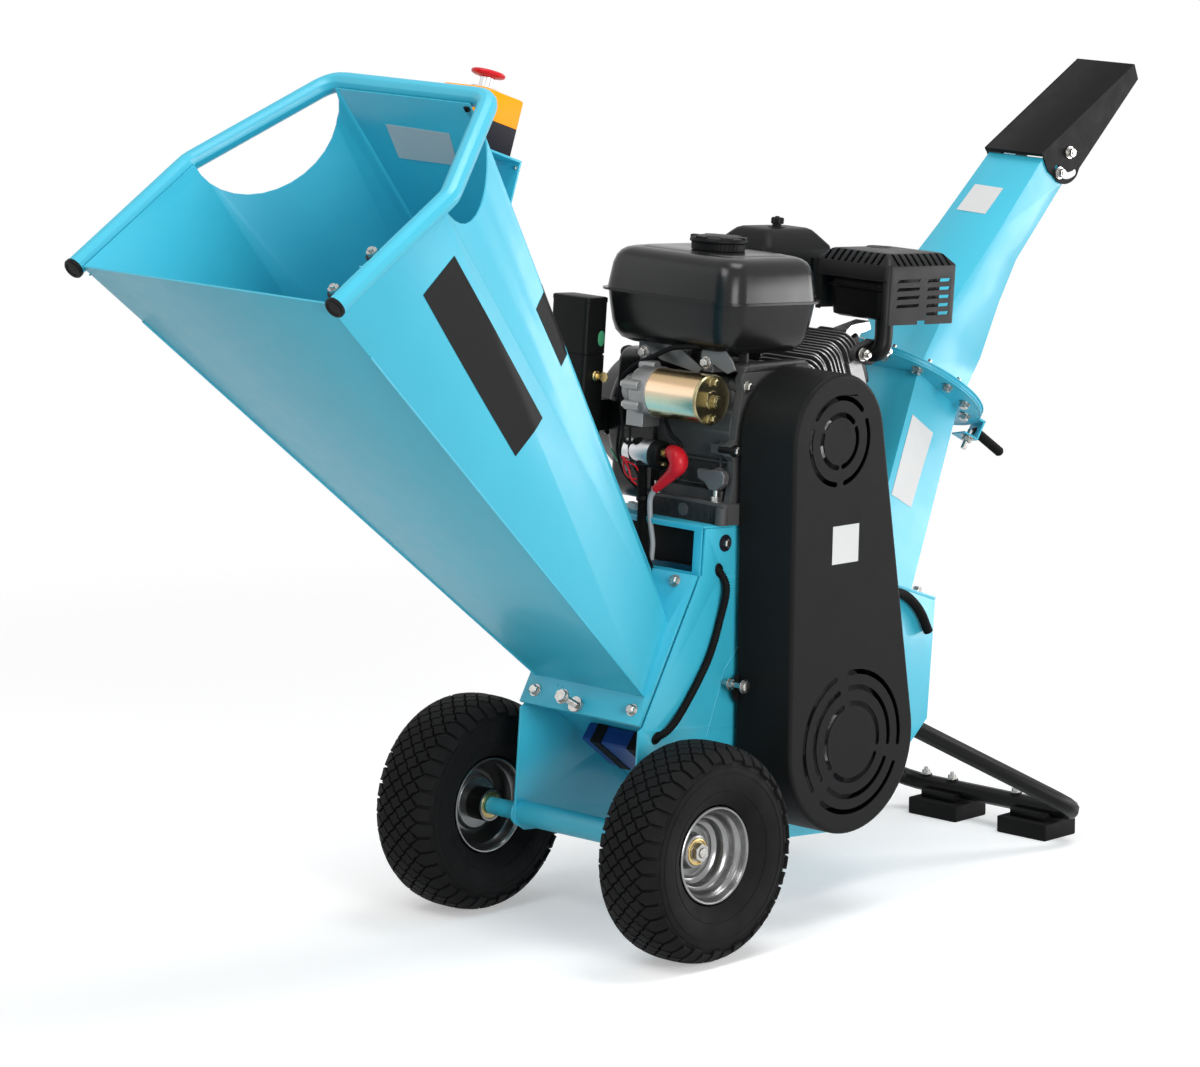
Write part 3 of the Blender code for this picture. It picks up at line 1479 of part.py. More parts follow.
def muffler():
    """A slotted guard round the silencer, and the silencer's body as its core."""
    made = box("muffler", MUFFLER_X, MUFFLER_Y, MUFFLER_Z, body, BLACK_PAINT, 0.008, 2)
    slots = []
    for column in (0, 1):
        y0 = MUFFLER_Y[0] + 0.018 + column * 0.060
        for row in range(5 if column else 4):
            z1 = MUFFLER_Z[1] - 0.032 - row * 0.0108
            slots.append(((MUFFLER_X[1] - 0.006, MUFFLER_X[1] + 0.002), (y0, y0 + 0.044), z1))
    join(made, exhaust())
    for i, (x, y, z1) in enumerate(slots):
        slot = box("muffler.slot%d" % i, x, y, (z1 - 0.0052, z1), body, None)
        cut(made, slot)
    return made


def exhaust():
    """The elbow from the cylinder head up to the silencer."""
    x = MUFFLER_X[1] - 0.022
    head_y, head_z = barrel_point(PORT_ALONG)
    route = [
        (FIN_X[1] + GAP, head_y, head_z),
        (FIN_X[1] + 0.008, head_y, head_z),
        (x, head_y + 0.024, head_z + 0.012),
        (x, head_y + 0.018, MUFFLER_Z[0] + 0.006),
    ]
    return tube("muffler.exhaust", rounded(route, 0.018, 4), 0.0125, body, None, 2)


def air_cleaner():
    return box("air_cleaner", CLEANER_X, CLEANER_Y, CLEANER_Z, body, PLASTIC, 0.016, 2)


def cleaner_knob():
    radius, height = CLEANER_KNOB
    place = (*CLEANER_KNOB_PLACE, CLEANER_Z[1] + GAP + height / 2)
    return rod("air_cleaner_knob", radius, height, body, PLASTIC, place, (0, 0, 0), 12)


def carburettor():
    y, z = barrel_point(PORT_ALONG)
    x = (-0.072, -0.0143)
    made = box("carburettor", x, (y - 0.022, y + 0.022), (z - 0.022, z + 0.022), body, CASTING, 0.003, 1)
    intake = box(
        "carburettor.intake",
        (x[0], x[0] + 0.040),
        (y - 0.018, y + 0.018),
        (z, CLEANER_Z[0] - GAP),
        body,
        None,
    )
    return join(made, intake)


def recoil():
    """Fan housing with the stepped cover of the pull starter."""
    made = rod(
        "fan_housing",
        FAN_RADIUS,
        FAN_X[1] - FAN_X[0],
        body,
        BLACK_PAINT,
        (sum(FAN_X) / 2, *CRANK_AXIS),
        sides=32,
    )
    step = rod(
        "fan.recoil",
        FAN_RADIUS - 0.014,
        FAN_X[0] - RECOIL_X + 0.004,
        body,
        None,
        ((FAN_X[0] + RECOIL_X + 0.004) / 2, *CRANK_AXIS),
        sides=32,
    )
    duct = box(
        "fan.duct",
        (FAN_X[0] + 0.012, FAN_X[1] - 0.006),
        (CRANK_AXIS[0] + 0.03, CRANK_AXIS[0] + 0.110),
        (CRANK_AXIS[1] - 0.02, DUCT_TOP),
        body,
        None,
    )
    return join(made, step, duct)


GRIP_AXIS = Vector((-0.80, 0.20, 0.566)).normalized()
GRIP_OUTLET = Vector((RECOIL_X, 0.2475, 0.5625))
GRIP_STANDS = 0.027


def starter_grip():
    """A bar handle on the pull cord, resting against its outlet."""
    turn = GRIP_AXIS.to_track_quat("Z", "Y").to_euler()
    across = (Vector((0, 1, 0)) - GRIP_AXIS * GRIP_AXIS.y).normalized()
    bar_turn = across.to_track_quat("Z", "Y").to_euler()
    place = GRIP_OUTLET + GRIP_AXIS * GRIP_STANDS
    made = rod("starter_grip", 0.0095, 0.070, body, PLASTIC, place, bar_turn, sides=12)
    neck_radius = 0.005
    off_face = GAP + neck_radius * math.sqrt(1 - GRIP_AXIS.x**2)
    neck_start = off_face / -GRIP_AXIS.x
    middle = GRIP_OUTLET + GRIP_AXIS * (neck_start + GRIP_STANDS) / 2
    neck = rod(
        "starter.neck", neck_radius, GRIP_STANDS - neck_start, body, None, middle, turn, 10
    )
    return join(made, neck)


def starter_motor():
    length = STARTER_X[1] - 0.004
    made = rod(
        "starter_motor", STARTER_RADIUS, length, body, ZINC, (0.004 + length / 2, *STARTER_AXIS)
    )
    nose_x = (STARTER_X[0] + 0.006) / 2
    nose = rod(
        "starter.nose", 0.029, 0.006 - STARTER_X[0], body, None, (nose_x, *STARTER_AXIS), sides=16
    )
    end_x = STARTER_X[1] + 0.005
    terminal = rod("starter.end", 0.007, 0.012, body, None, (end_x, *STARTER_AXIS), sides=12)
    across = Vector(CRANK_AXIS) - Vector(STARTER_AXIS)
    reach = across.length - CASE_RADIUS + 0.012
    foot_x, half = (0.008, 0.060), 0.014
    saddle = box("starter.foot", foot_x, (-reach / 2, reach / 2), (-half, half), body, None)
    middle = Vector(STARTER_AXIS) + across.normalized() * (reach / 2)
    saddle.location = (sum(foot_x) / 2, *middle)
    saddle.rotation_euler = (math.atan2(across.y, across.x), 0, 0)
    cut(saddle, case_seat("starter.seat"))
    return join(made, nose, terminal, saddle)


def control_box():
    made = box("control_box", CONTROL_X, CONTROL_Y, CONTROL_Z, body, PLASTIC, 0.006, 2)
    arm = box(
        "control.arm",
        (CONTROL_X[0] + 0.012, CONTROL_X[1] - 0.012),
        (CONTROL_Y[1] - 0.004, CRANK_AXIS[0] - FAN_RADIUS + 0.010),
        (CRANK_AXIS[1] - 0.02, CRANK_AXIS[1] + 0.02),
        body,
        None,
    )
    clear = rod(
        "control.clear",
        FAN_RADIUS + 0.0006,
        0.20,
        body,
        None,
        (sum(FAN_X) / 2, *CRANK_AXIS),
        sides=32,
    )
    join(made, arm)
    return cut(made, clear)


def starter_key():
    place = (CONTROL_X[1] + GAP + 0.005, *KEY_PLACE)
    made = rod("starter_key", KEY_RADIUS, 0.010, body, BRASS, place, sides=14)
    reach, height = KEY_BOW
    blade = box(
        "key.blade",
        (place[0], place[0] + reach),
        (place[1] - KEY_SHEET / 2, place[1] + KEY_SHEET / 2),
        (place[2] - height / 2, place[2] + height / 2),
        body,
        None,
    )
    return join(made, blade)


def throttle_lever():
    """Pivots on top of the fan housing's duct."""
    start = DUCT_TOP + GAP
    x, y = LEVER_PIVOT
    made = box(
        "throttle_lever",
        (x - LEVER_HALF_WIDTH, x + LEVER_HALF_WIDTH),
        (y - LEVER_HALF_WIDTH, y + LEVER_LENGTH),
        (start, start + LEVER_SHEET),
        body,
        STEEL,
    )
    radius, height = LEVER_KNOB
    place = (x, y + LEVER_LENGTH - 0.002, start + height / 2)
    return join(made, rod("throttle.knob", radius, height, body, None, place, (0, 0, 0), 12))


def dipstick():
    """Screws into the base's rear edge."""
    x, rise = DIPSTICK_PLACE
    place = (x, BASE_Y[1] + GAP + DIPSTICK_LENGTH / 2, DECK_TOP + rise)
    turn = (math.pi / 2, 0, 0)
    return rod("oil_dipstick", DIPSTICK_RADIUS, DIPSTICK_LENGTH, body, PLASTIC, place, turn, 14)


case = crankcase()
tank_stays(case)
cylinder()
tank()
fuel_cap()
muffler()
air_cleaner()
cleaner_knob()
carburettor()
recoil()
starter_grip()
starter_motor()
control_box()
starter_key()
throttle_lever()
dipstick()


# Wiring conduit and hose


def conduit():
    """Corrugated: each rib is a pair of points, one of full and one of groove radius."""
    points = smooth_route(CONDUIT_ROUTE, 2 * CONDUIT_RIBS + 1)
    made = curve_object("wiring_conduit", [(points, False)], False, body, RUBBER, (0, 0, 0), (0, 0, 0))
    curve = made.data
    curve.bevel_depth = 1.0
    curve.bevel_resolution = 2
    curve.use_fill_caps = True
    plain = 3
    for i, point in enumerate(curve.splines[0].points):
        ribbed = plain <= i <= len(points) - 1 - plain
        point.radius = CONDUIT_GROOVE if ribbed and i % 2 else CONDUIT_RADIUS
    made = to_mesh(made)
    inside = smooth_route(CONDUIT_ROUTE, CONDUIT_STATIONS)
    past = 0.004
    inside = [inside[0] - CONDUIT_TOP_WAY * past] + inside
    inside.append(inside[-1] - CONDUIT_END_WAY * past)
    bore = tube("conduit.bore", inside, CONDUIT_BORE, body, None, 1)
    return cut(made, bore)


def rear_hose():
    """Drains from beside the guard into the rear box."""
    x = HALF_WIDTH + 0.0075
    route = [(x + 0.004, 0.440, 0.292), (x, 0.476, 0.283), (x, 0.505, 0.262), (x, 0.526, 0.233)]
    points = smooth_route(route, 12)
    return tube("rear_hose", points, 0.0065, body, RUBBER, 2)


conduit()
rear_hose()


def lock_bolt():
    """Holds the hopper flange shut: head, shank and nut in one piece."""
    along, x = 0.0090, -0.0050
    head_y, head_z = flange_point(along, FLANGE_PLATE + GAP + 0.0175)
    turn = (FLANGE_ANGLE, 0, 0)
    made = rod("lock_bolt", 0.0042, 0.035, body, STEEL, (x, head_y, head_z), turn, 12)
    for name, out in (("lock.head", 0.0355), ("lock.nut", 0.0035)):
        y, z = flange_point(along, FLANGE_PLATE + GAP + out)
        join(made, rod(name, 0.0085, 0.007, body, None, (x, y, z), turn, 6))
    return made


lock_bolt()


def centre_on_origin():
    """Moves the machine so that its box stands centred on the origin."""
    bpy.context.view_layer.update()
    graph = bpy.context.evaluated_depsgraph_get()
    low, high = [1e9, 1e9], [-1e9, -1e9]
    for made in parts.objects:
        if made.type == "EMPTY":
            continue
        shape = made.evaluated_get(graph)
        for vertex in shape.to_mesh().vertices:
            place = shape.matrix_world @ vertex.co
            for i in (0, 1):
                low[i] = min(low[i], place[i])
                high[i] = max(high[i], place[i])
        shape.to_mesh_clear()
    machine.location = (-(low[0] + high[0]) / 2, -(low[1] + high[1]) / 2, 0)
    bpy.context.view_layer.update()


centre_on_origin()
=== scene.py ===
"""Looks of the chipper shredder: finishes, lights, camera, and the small detail its solids leave out."""

import math

import bmesh
import bpy
from mathutils import Euler, Matrix, Vector
from mathutils.bvhtree import BVHTree
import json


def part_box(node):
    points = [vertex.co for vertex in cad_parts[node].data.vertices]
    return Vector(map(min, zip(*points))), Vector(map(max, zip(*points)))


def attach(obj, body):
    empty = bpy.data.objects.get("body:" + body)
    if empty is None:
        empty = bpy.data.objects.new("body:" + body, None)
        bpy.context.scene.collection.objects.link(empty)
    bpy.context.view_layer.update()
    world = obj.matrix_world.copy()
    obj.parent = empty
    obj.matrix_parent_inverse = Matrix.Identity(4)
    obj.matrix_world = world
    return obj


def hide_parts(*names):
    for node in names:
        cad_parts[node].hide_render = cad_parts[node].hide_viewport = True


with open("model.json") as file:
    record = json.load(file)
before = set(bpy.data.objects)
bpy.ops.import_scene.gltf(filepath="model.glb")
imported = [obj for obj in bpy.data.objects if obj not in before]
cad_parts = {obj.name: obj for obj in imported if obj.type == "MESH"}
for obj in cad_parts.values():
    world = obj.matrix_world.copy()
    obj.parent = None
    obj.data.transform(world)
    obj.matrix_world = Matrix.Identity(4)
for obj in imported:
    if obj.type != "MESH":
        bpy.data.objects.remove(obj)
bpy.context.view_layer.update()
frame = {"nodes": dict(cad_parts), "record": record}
nodes = frame["nodes"]

AXLE_LOW, AXLE_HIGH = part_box("axle")
AXLE_Y = (AXLE_LOW.y + AXLE_HIGH.y) / 2
AXLE_Z = (AXLE_LOW.z + AXLE_HIGH.z) / 2
BODY_LEAN = math.radians(5.0)
GROUND = Matrix.Translation((0, AXLE_Y, 0))
LEAN = Matrix.Translation((0, AXLE_Y, AXLE_Z)) @ Matrix.Rotation(-BODY_LEAN, 4, "X")

# Camera

CAMERA_AZIMUTH = math.radians(43.624)
CAMERA_ELEVATION = math.radians(10.8749)
CAMERA_BACK = 7.6105
CAMERA_RIGHT = 0.0241
CAMERA_UP = 0.5091
LENS = 178.81
SENSOR = 36.0


def make_camera():
    a, e = CAMERA_AZIMUTH, CAMERA_ELEVATION
    back = Vector((math.sin(a) * math.cos(e), -math.cos(a) * math.cos(e), math.sin(e)))
    right = Vector((math.cos(a), math.sin(a), 0))
    up = back.cross(right)
    data = bpy.data.cameras.new("camera")
    data.lens = LENS
    data.sensor_width = SENSOR
    made = bpy.data.objects.new("camera", data)
    bpy.context.scene.collection.objects.link(made)
    made.matrix_world = Matrix((right, up, back)).transposed().to_4x4()
    place = back * CAMERA_BACK + right * CAMERA_RIGHT + up * CAMERA_UP
    made.location = place + Vector((0, AXLE_Y, 0))
    data.clip_end = 60
    bpy.context.scene.camera = made


# Stage

FLOOR_COLOUR = (0.80, 0.80, 0.80)
FLOOR_GLOW = 0.34
FLOOR_FADE = (1.1, 2.4)
SKY_COLOUR = (1.0, 1.0, 1.0)
SKY_LIGHT = 0.24


def link(tree, a, b):
    tree.links.new(a, b)


def seen_directly(tree):
    """1 for a ray from the camera, a reflection or a refraction, 0 for light that falls on a surface."""
    path = tree.nodes.new("ShaderNodeLightPath")
    seen = path.outputs["Is Camera Ray"]
    for ray in ("Is Glossy Ray", "Is Transmission Ray"):
        either = tree.nodes.new("ShaderNodeMath")
        either.operation = "MAXIMUM"
        link(tree, seen, either.inputs[0])
        link(tree, path.outputs[ray], either.inputs[1])
        seen = either.outputs[0]
    return seen


def mixed(tree, factor, first, second, output):
    mix = tree.nodes.new("ShaderNodeMixShader")
    link(tree, factor, mix.inputs["Fac"])
    link(tree, first.outputs[0], mix.inputs[1])
    link(tree, second.outputs[0], mix.inputs[2])
    link(tree, mix.outputs[0], output)


def floor_material():
    """A matt pale floor that holds the shadow, glows a little where it is seen, and fades out far away."""
    made = bpy.data.materials.new("floor_white")
    made.use_nodes = True
    tree = made.node_tree
    shader = tree.nodes["Principled BSDF"]
    shader.inputs["Base Color"].default_value = (*FLOOR_COLOUR, 1)
    shader.inputs["Roughness"].default_value = 0.95
    shader.inputs["Specular IOR Level"].default_value = 0.0
    shader.inputs["Emission Color"].default_value = (1, 1, 1, 1)
    glow = tree.nodes.new("ShaderNodeMath")
    glow.operation = "MULTIPLY"
    glow.inputs[1].default_value = FLOOR_GLOW
    link(tree, seen_directly(tree), glow.inputs[0])
    link(tree, glow.outputs[0], shader.inputs["Emission Strength"])
    place = tree.nodes.new("ShaderNodeTexCoord")
    length = tree.nodes.new("ShaderNodeVectorMath")
    length.operation = "LENGTH"
    link(tree, place.outputs["Object"], length.inputs[0])
    fade = tree.nodes.new("ShaderNodeMapRange")
    fade.inputs["From Min"].default_value, fade.inputs["From Max"].default_value = FLOOR_FADE
    link(tree, length.outputs["Value"], fade.inputs["Value"])
    clear = tree.nodes.new("ShaderNodeBsdfTransparent")
    mixed(tree, fade.outputs["Result"], shader, clear, tree.nodes["Material Output"].inputs["Surface"])
    return made


def make_stage():
    scene = bpy.context.scene
    scene.view_settings.view_transform = "Standard"
    bm = bmesh.new()
    bmesh.ops.create_grid(bm, x_segments=1, y_segments=1, size=4)
    mesh = bpy.data.meshes.new("floor")
    bm.to_mesh(mesh)
    bm.free()
    made = bpy.data.objects.new("floor", mesh)
    scene.collection.objects.link(made)
    mesh.materials.append(floor_material())
    world = bpy.data.worlds.new("studio")
    scene.world = world
    world.use_nodes = True
    tree = world.node_tree
    light = tree.nodes["Background"]
    light.inputs["Color"].default_value = (*SKY_COLOUR, 1)
    light.inputs["Strength"].default_value = SKY_LIGHT
    white = tree.nodes.new("ShaderNodeBackground")
    white.inputs["Color"].default_value = (1, 1, 1, 1)
    white.inputs["Strength"].default_value = 1.0
    mixed(tree, seen_directly(tree), light, white, tree.nodes["World Output"].inputs["Surface"])


def lamp(name, place, target, size, power, colour=(1, 1, 1)):
    data = bpy.data.lights.new(name, "AREA")
    data.shape = "RECTANGLE"
    data.size, data.size_y = size
    data.energy = power
    data.color = colour
    made = bpy.data.objects.new(name, data)
    bpy.context.scene.collection.objects.link(made)
    made.location = place
    made.rotation_euler = (Vector(target) - Vector(place)).to_track_quat("-Z", "Y").to_euler()
    return made


def make_lights():
    middle = (0, 0, 0.6)
    lamp("key", (4.4, -1.6, 1.6), middle, (2.2, 2.2), 140)
    lamp("front", (0.4, -3.4, 4.2), middle, (2.2, 2.2), 105)
    lamp("top", (0.9, 0.9, 4.4), middle, (2.0, 2.0), 85)
    lamp("fill", (-3.4, -2.4, 2.4), middle, (2.4, 2.4), 12)
    lamp("rim", (2.3, 3.9, 0.64), middle, (2.8, 1.1), 80)


# Materials

def coordinates(tree, scale):
    """Object coordinates stretched by a scale in each direction."""
    place = tree.nodes.new("ShaderNodeTexCoord")
    mapping = tree.nodes.new("ShaderNodeMapping")
    mapping.inputs["Scale"].default_value = scale
    link(tree, place.outputs["Object"], mapping.inputs["Vector"])
    return mapping.outputs["Vector"]


def noise_node(tree, scale, detail=3.0, stretch=(1, 1, 1)):
    made = tree.nodes.new("ShaderNodeTexNoise")
    made.inputs["Scale"].default_value = scale
    made.inputs["Detail"].default_value = detail
    link(tree, coordinates(tree, stretch), made.inputs["Vector"])
    return made.outputs["Fac"]


def ranged(tree, value, low, high):
    made = tree.nodes.new("ShaderNodeMapRange")
    made.inputs["From Min"].default_value = 0.3
    made.inputs["From Max"].default_value = 0.7
    made.inputs["To Min"].default_value = low
    made.inputs["To Max"].default_value = high
    link(tree, value, made.inputs["Value"])
    return made.outputs["Result"]


def finish(name, colour, roughness, metallic=0.0, spread=0.06, grain=(900, 0.03), patch=14.0,
           coat=0.0, stretch=(1, 1, 1), shine=0.5):
    """A surface whose colour and gloss drift a little, with a fine grain in relief."""
    made = bpy.data.materials.new(name)
    made.use_nodes = True
    tree = made.node_tree
    shader = tree.nodes["Principled BSDF"]
    shader.inputs["Metallic"].default_value = metallic
    shader.inputs["Specular IOR Level"].default_value = shine
    shader.inputs["Coat Weight"].default_value = coat
    shader.inputs["Coat Roughness"].default_value = 0.12
    cloud = noise_node(tree, patch, 4.0)
    mix = tree.nodes.new("ShaderNodeMix")
    mix.data_type = "RGBA"
    dark = [c * (1 - spread) for c in colour]
    light = [min(1.0, c * (1 + spread)) for c in colour]
    mix.inputs["A"].default_value = (*dark, 1)
    mix.inputs["B"].default_value = (*light, 1)
    link(tree, ranged(tree, cloud, 0, 1), mix.inputs["Factor"])
    link(tree, mix.outputs["Result"], shader.inputs["Base Color"])
    streak = noise_node(tree, patch * 3, 3.0, stretch)
    link(
        tree, ranged(tree, streak, roughness * 0.92, min(1.0, roughness * 1.10)),
        shader.inputs["Roughness"],
    )
    scale, strength = grain
    bump = tree.nodes.new("ShaderNodeBump")
    bump.inputs["Strength"].default_value = strength
    bump.inputs["Distance"].default_value = 0.001
    link(tree, noise_node(tree, scale, 2.0, stretch), bump.inputs["Height"])
    link(tree, bump.outputs["Normal"], shader.inputs["Normal"])
    return made


def iridescent():
    """Yellow zinc that turns green and violet from the top of the starter motor to its foot."""
    made = finish("iridescent_zinc", (0.48, 0.40, 0.25), 0.22, metallic=1.0, spread=0.1, patch=60)
    tree = made.node_tree
    place = tree.nodes.new("ShaderNodeTexCoord")
    parts = tree.nodes.new("ShaderNodeSeparateXYZ")
    link(tree, place.outputs["Object"], parts.inputs["Vector"])
    height = tree.nodes.new("ShaderNodeMapRange")
    height.inputs["From Min"].default_value = 0.646
    height.inputs["From Max"].default_value = 0.710
    link(tree, parts.outputs["Z"], height.inputs["Value"])
    ramp = tree.nodes.new("ShaderNodeValToRGB")
    link(tree, height.outputs["Result"], ramp.inputs["Fac"])
    stops = ramp.color_ramp.elements
    stops[0].position, stops[0].color = 0.0, (0.60, 0.42, 0.22, 1)
    stops[1].position, stops[1].color = 1.0, (0.55, 0.40, 0.20, 1)
    for position, colour in (
        (0.16, (0.50, 0.46, 0.24)), (0.34, (0.24, 0.46, 0.44)), (0.52, (0.50, 0.58, 0.44)),
        (0.66, (0.72, 0.56, 0.40)), (0.84, (0.62, 0.44, 0.28)),
    ):
        stop = stops.new(position)
        stop.color = (*colour, 1)
    link(tree, ramp.outputs["Color"], tree.nodes["Principled BSDF"].inputs["Base Color"])
    return made


PAINT = finish("turquoise_paint", (0.036, 0.440, 0.600), 0.42, coat=0.15, spread=0.015, grain=(1400, 0.012), shine=0.55)
BLACK = finish("satin_black", (0.005, 0.005, 0.005), 0.36, spread=0.10, grain=(700, 0.08), shine=0.12)
GLOSS = finish("gloss_black", (0.007, 0.007, 0.007), 0.24, spread=0.10, grain=(700, 0.03), shine=0.28)
SATIN = finish("heat_black", (0.007, 0.007, 0.007), 0.42, spread=0.12, grain=(900, 0.10), shine=0.16)
GUARD = finish("guard_grey", (0.009, 0.009, 0.009), 0.46, spread=0.05, grain=(900, 0.10), shine=0.07)
HOOD = finish("hood_black", (0.007, 0.007, 0.007), 0.46, spread=0.06, grain=(900, 0.08), shine=0.06)
PLASTIC = finish("black_plastic", (0.006, 0.006, 0.006), 0.44, grain=(1100, 0.15), shine=0.10)
# A dark base colour, also used as painted shade in the pulleys' lightening holes
DARK_BASE_AND_HOLE_SHADE = finish("dark_base_and_hole_shade", (0.013, 0.012, 0.018), 0.45, grain=(1100, 0.08), shine=0.1)
TYRE = finish("tyre_rubber", (0.006, 0.006, 0.0062), 0.70, spread=0.22, grain=(420, 0.25), shine=0.10)
RUBBER = finish("black_rubber", (0.005, 0.005, 0.005), 0.62, grain=(600, 0.18), shine=0.10)
ZINC = finish("bright_zinc", (0.44, 0.43, 0.41), 0.28, metallic=1.0, spread=0.15, patch=160)
STEEL = finish("ground_steel", (0.56, 0.56, 0.57), 0.30, metallic=1.0, grain=(500, 0.10))
RIM = finish("rim_silver", (0.23, 0.23, 0.23), 0.24, metallic=0.9, spread=0.10, patch=40)
CASTING = finish("dark_casting", (0.070, 0.070, 0.070), 0.55, metallic=0.2, grain=(500, 0.35), shine=0.2)
BARE_CASTING = finish("bare_casting", (0.28, 0.28, 0.28), 0.45, metallic=0.9, grain=(500, 0.30))
GREY_PART = finish("grey_bracket", (0.15, 0.15, 0.15), 0.50, metallic=0.6, grain=(500, 0.25))
GOLD = finish("yellow_zinc", (0.38, 0.33, 0.19), 0.24, metallic=1.0, spread=0.25, patch=30)
IRIDESCENT = iridescent()
GREEN = finish("green_plastic", (0.05, 0.30, 0.14), 0.45, spread=0.10)
GREY_LEAD = finish("grey_lead", (0.30, 0.31, 0.32), 0.50, spread=0.08)
BRASS = finish("brass", (0.58, 0.44, 0.20), 0.30, metallic=1.0, patch=120)
RED = finish("red_plastic", (0.58, 0.010, 0.020), 0.34, spread=0.04, shine=0.25)
YELLOW = finish("yellow_plastic", (0.96, 0.33, 0.002), 0.42, spread=0.03, shine=0.1)
BLUE = finish("battery_blue", (0.010, 0.055, 0.25), 0.36, spread=0.08, shine=0.3)
LABEL = finish("pale_label", (0.60, 0.61, 0.61), 0.50, spread=0.02, shine=0.2)

BY_SLOT = {
    "paint_blue": PAINT,
    "paint_black": BLACK,
    "tyre_rubber": TYRE,
    "rubber": RUBBER,
    "black_plastic": PLASTIC,
    "bright_steel": STEEL,
    "rim_silver": RIM,
    "cast_aluminium": CASTING,
    "yellow_zinc": GOLD,
    "red_plastic": RED,
    "yellow_plastic": YELLOW,
    "battery_blue": BLUE,
    "brass": BRASS,
}


# Shapes

PIECES = {}


class Shape:
    """Solids gathered in the body frame and made into one piece at the end."""

    def __init__(self, frame_matrix=LEAN):
        self.bm = bmesh.new()
        self.matrix = frame_matrix

    def paint(self, vertices, material):
        for face in {face for vertex in vertices for face in vertex.link_faces}:
            face.material_index = material
        return vertices

    def box(self, x, y, z, material=0, turn=(0, 0, 0)):
        """A box between pairs of values, turned about its own centre."""
        middle = Vector((sum(x) / 2, sum(y) / 2, sum(z) / 2))
        size = Matrix.Diagonal((x[1] - x[0], y[1] - y[0], z[1] - z[0], 1))
        spin = Euler(turn).to_matrix().to_4x4()
        made = bmesh.ops.create_cube(self.bm, size=1, matrix=Matrix.Translation(middle) @ spin @ size)
        return self.paint(made["verts"], material)

    def rod(self, start, end, radius, material=0, sides=32, tip=None):
        """A round bar between two points, or a cone where the tip's radius differs."""
        start, end = Vector(start), Vector(end)
        spin = (end - start).to_track_quat("Z", "Y").to_matrix().to_4x4()
        matrix = Matrix.Translation((start + end) / 2) @ spin
        made = bmesh.ops.create_cone(
            self.bm, cap_ends=True, segments=sides, radius1=radius,
            radius2=radius if tip is None else tip, depth=(end - start).length, matrix=matrix,
        )
        return self.paint(made["verts"], material)

    def ball(self, centre, radius, material=0, squash=(1, 1, 1)):
        size = Matrix.Diagonal((*squash, 1))
        made = bmesh.ops.create_uvsphere(
            self.bm, u_segments=20, v_segments=12, radius=radius,
            matrix=Matrix.Translation(centre) @ size,
        )
        return self.paint(made["verts"], material)

    def skin(self, rings, material=0, closed=False, caps=True):
        """Quads between rings of points, each ring closed; the rings close on each other or get caps."""
        rows = [[self.bm.verts.new(point) for point in ring] for ring in rings]
        count = len(rows[0])
        pairs = list(zip(rows, rows[1:])) + ([(rows[-1], rows[0])] if closed else [])
        for low, high in pairs:
            for i in range(count):
                k = (i + 1) % count
                face = self.bm.faces.new((low[i], low[k], high[k], high[i]))
                face.material_index = material
        if caps and not closed:
            for ring in (rows[0][::-1], rows[-1]):
                self.bm.faces.new(ring).material_index = material
        return rows

    def turned(self, base, axis, profile, material=0, steps=64):
        """A closed profile of (radius, distance along the axis) turned about the axis."""
        spin = Vector(axis).to_track_quat("Z", "Y").to_matrix()
        rings = []
        for i in range(steps):
            a = math.tau * i / steps
            way = Vector((math.cos(a), math.sin(a), 0))
            rings.append([Vector(base) + spin @ (way * r + Vector((0, 0, s))) for r, s in profile])
        return self.skin(rings, material, closed=True)

    def sweep(self, points, radius, material=0, sides=10):
        """A round bar along points; the radius is one value or one for each point."""
        points = [Vector(point) for point in points]
        radii = radius if isinstance(radius, (list, tuple)) else [radius] * len(points)
        normal = None
        rings = []
        for i, point in enumerate(points):
            way = (points[min(i + 1, len(points) - 1)] - points[max(i - 1, 0)]).normalized()
            if normal is None:
                normal = way.orthogonal().normalized()
            normal = (normal - way * normal.dot(way)).normalized()
            side = way.cross(normal)
            rings.append([
                point + (normal * math.cos(math.tau * k / sides) + side * math.sin(math.tau * k / sides)) * radii[i]
                for k in range(sides)
            ])
        return self.skin(rings, material)

    def bolt(self, place, axis, across=0.012, height=0.007, material=0, washer=True):
        """A flanged hexagon head that stands on a face."""
        place, axis = Vector(place), Vector(axis).normalized()
        flange = 0.0012 if washer else 0.0
        if washer:
            self.rod(place, place + axis * flange, across * 0.74, material, 24)
        shoulder = place + axis * (height * 0.84)
        self.rod(place + axis * flange, shoulder, across * 0.577, material, 6)
        self.rod(shoulder, place + axis * height, across * 0.56, material, 6, tip=across * 0.44)

    def nut(self, place, axis, across=0.012, stud=0.006, material=0):
        """A hexagon nut with its stud's end standing out."""
        place, axis = Vector(place), Vector(axis).normalized()
        height = across * 0.6
        self.rod(place, place + axis * 0.0012, across * 0.72, material, 24)
        self.rod(place + axis * 0.0012, place + axis * height, across * 0.577, material, 6)
        self.rod(place, place + axis * (height + stud), across * 0.28, material, 14)

    def mesh(self, name):
        bmesh.ops.remove_doubles(self.bm, verts=self.bm.verts, dist=0.000001)
        bmesh.ops.recalc_face_normals(self.bm, faces=self.bm.faces)
        mesh = bpy.data.meshes.new(name)
        self.bm.to_mesh(mesh)
        self.bm.free()
        return mesh

    def piece(self, name, body, materials, bevel=0.0004, smooth=38, replaces=(), slot=None, cutter=None):
        mesh = self.mesh(name)
        if cutter:
            mesh = carved(mesh, cutter.mesh("cutter"))
        made = bpy.data.objects.new(name, mesh)
        return settle(made, name, body, materials, bevel, smooth, replaces, self.matrix)


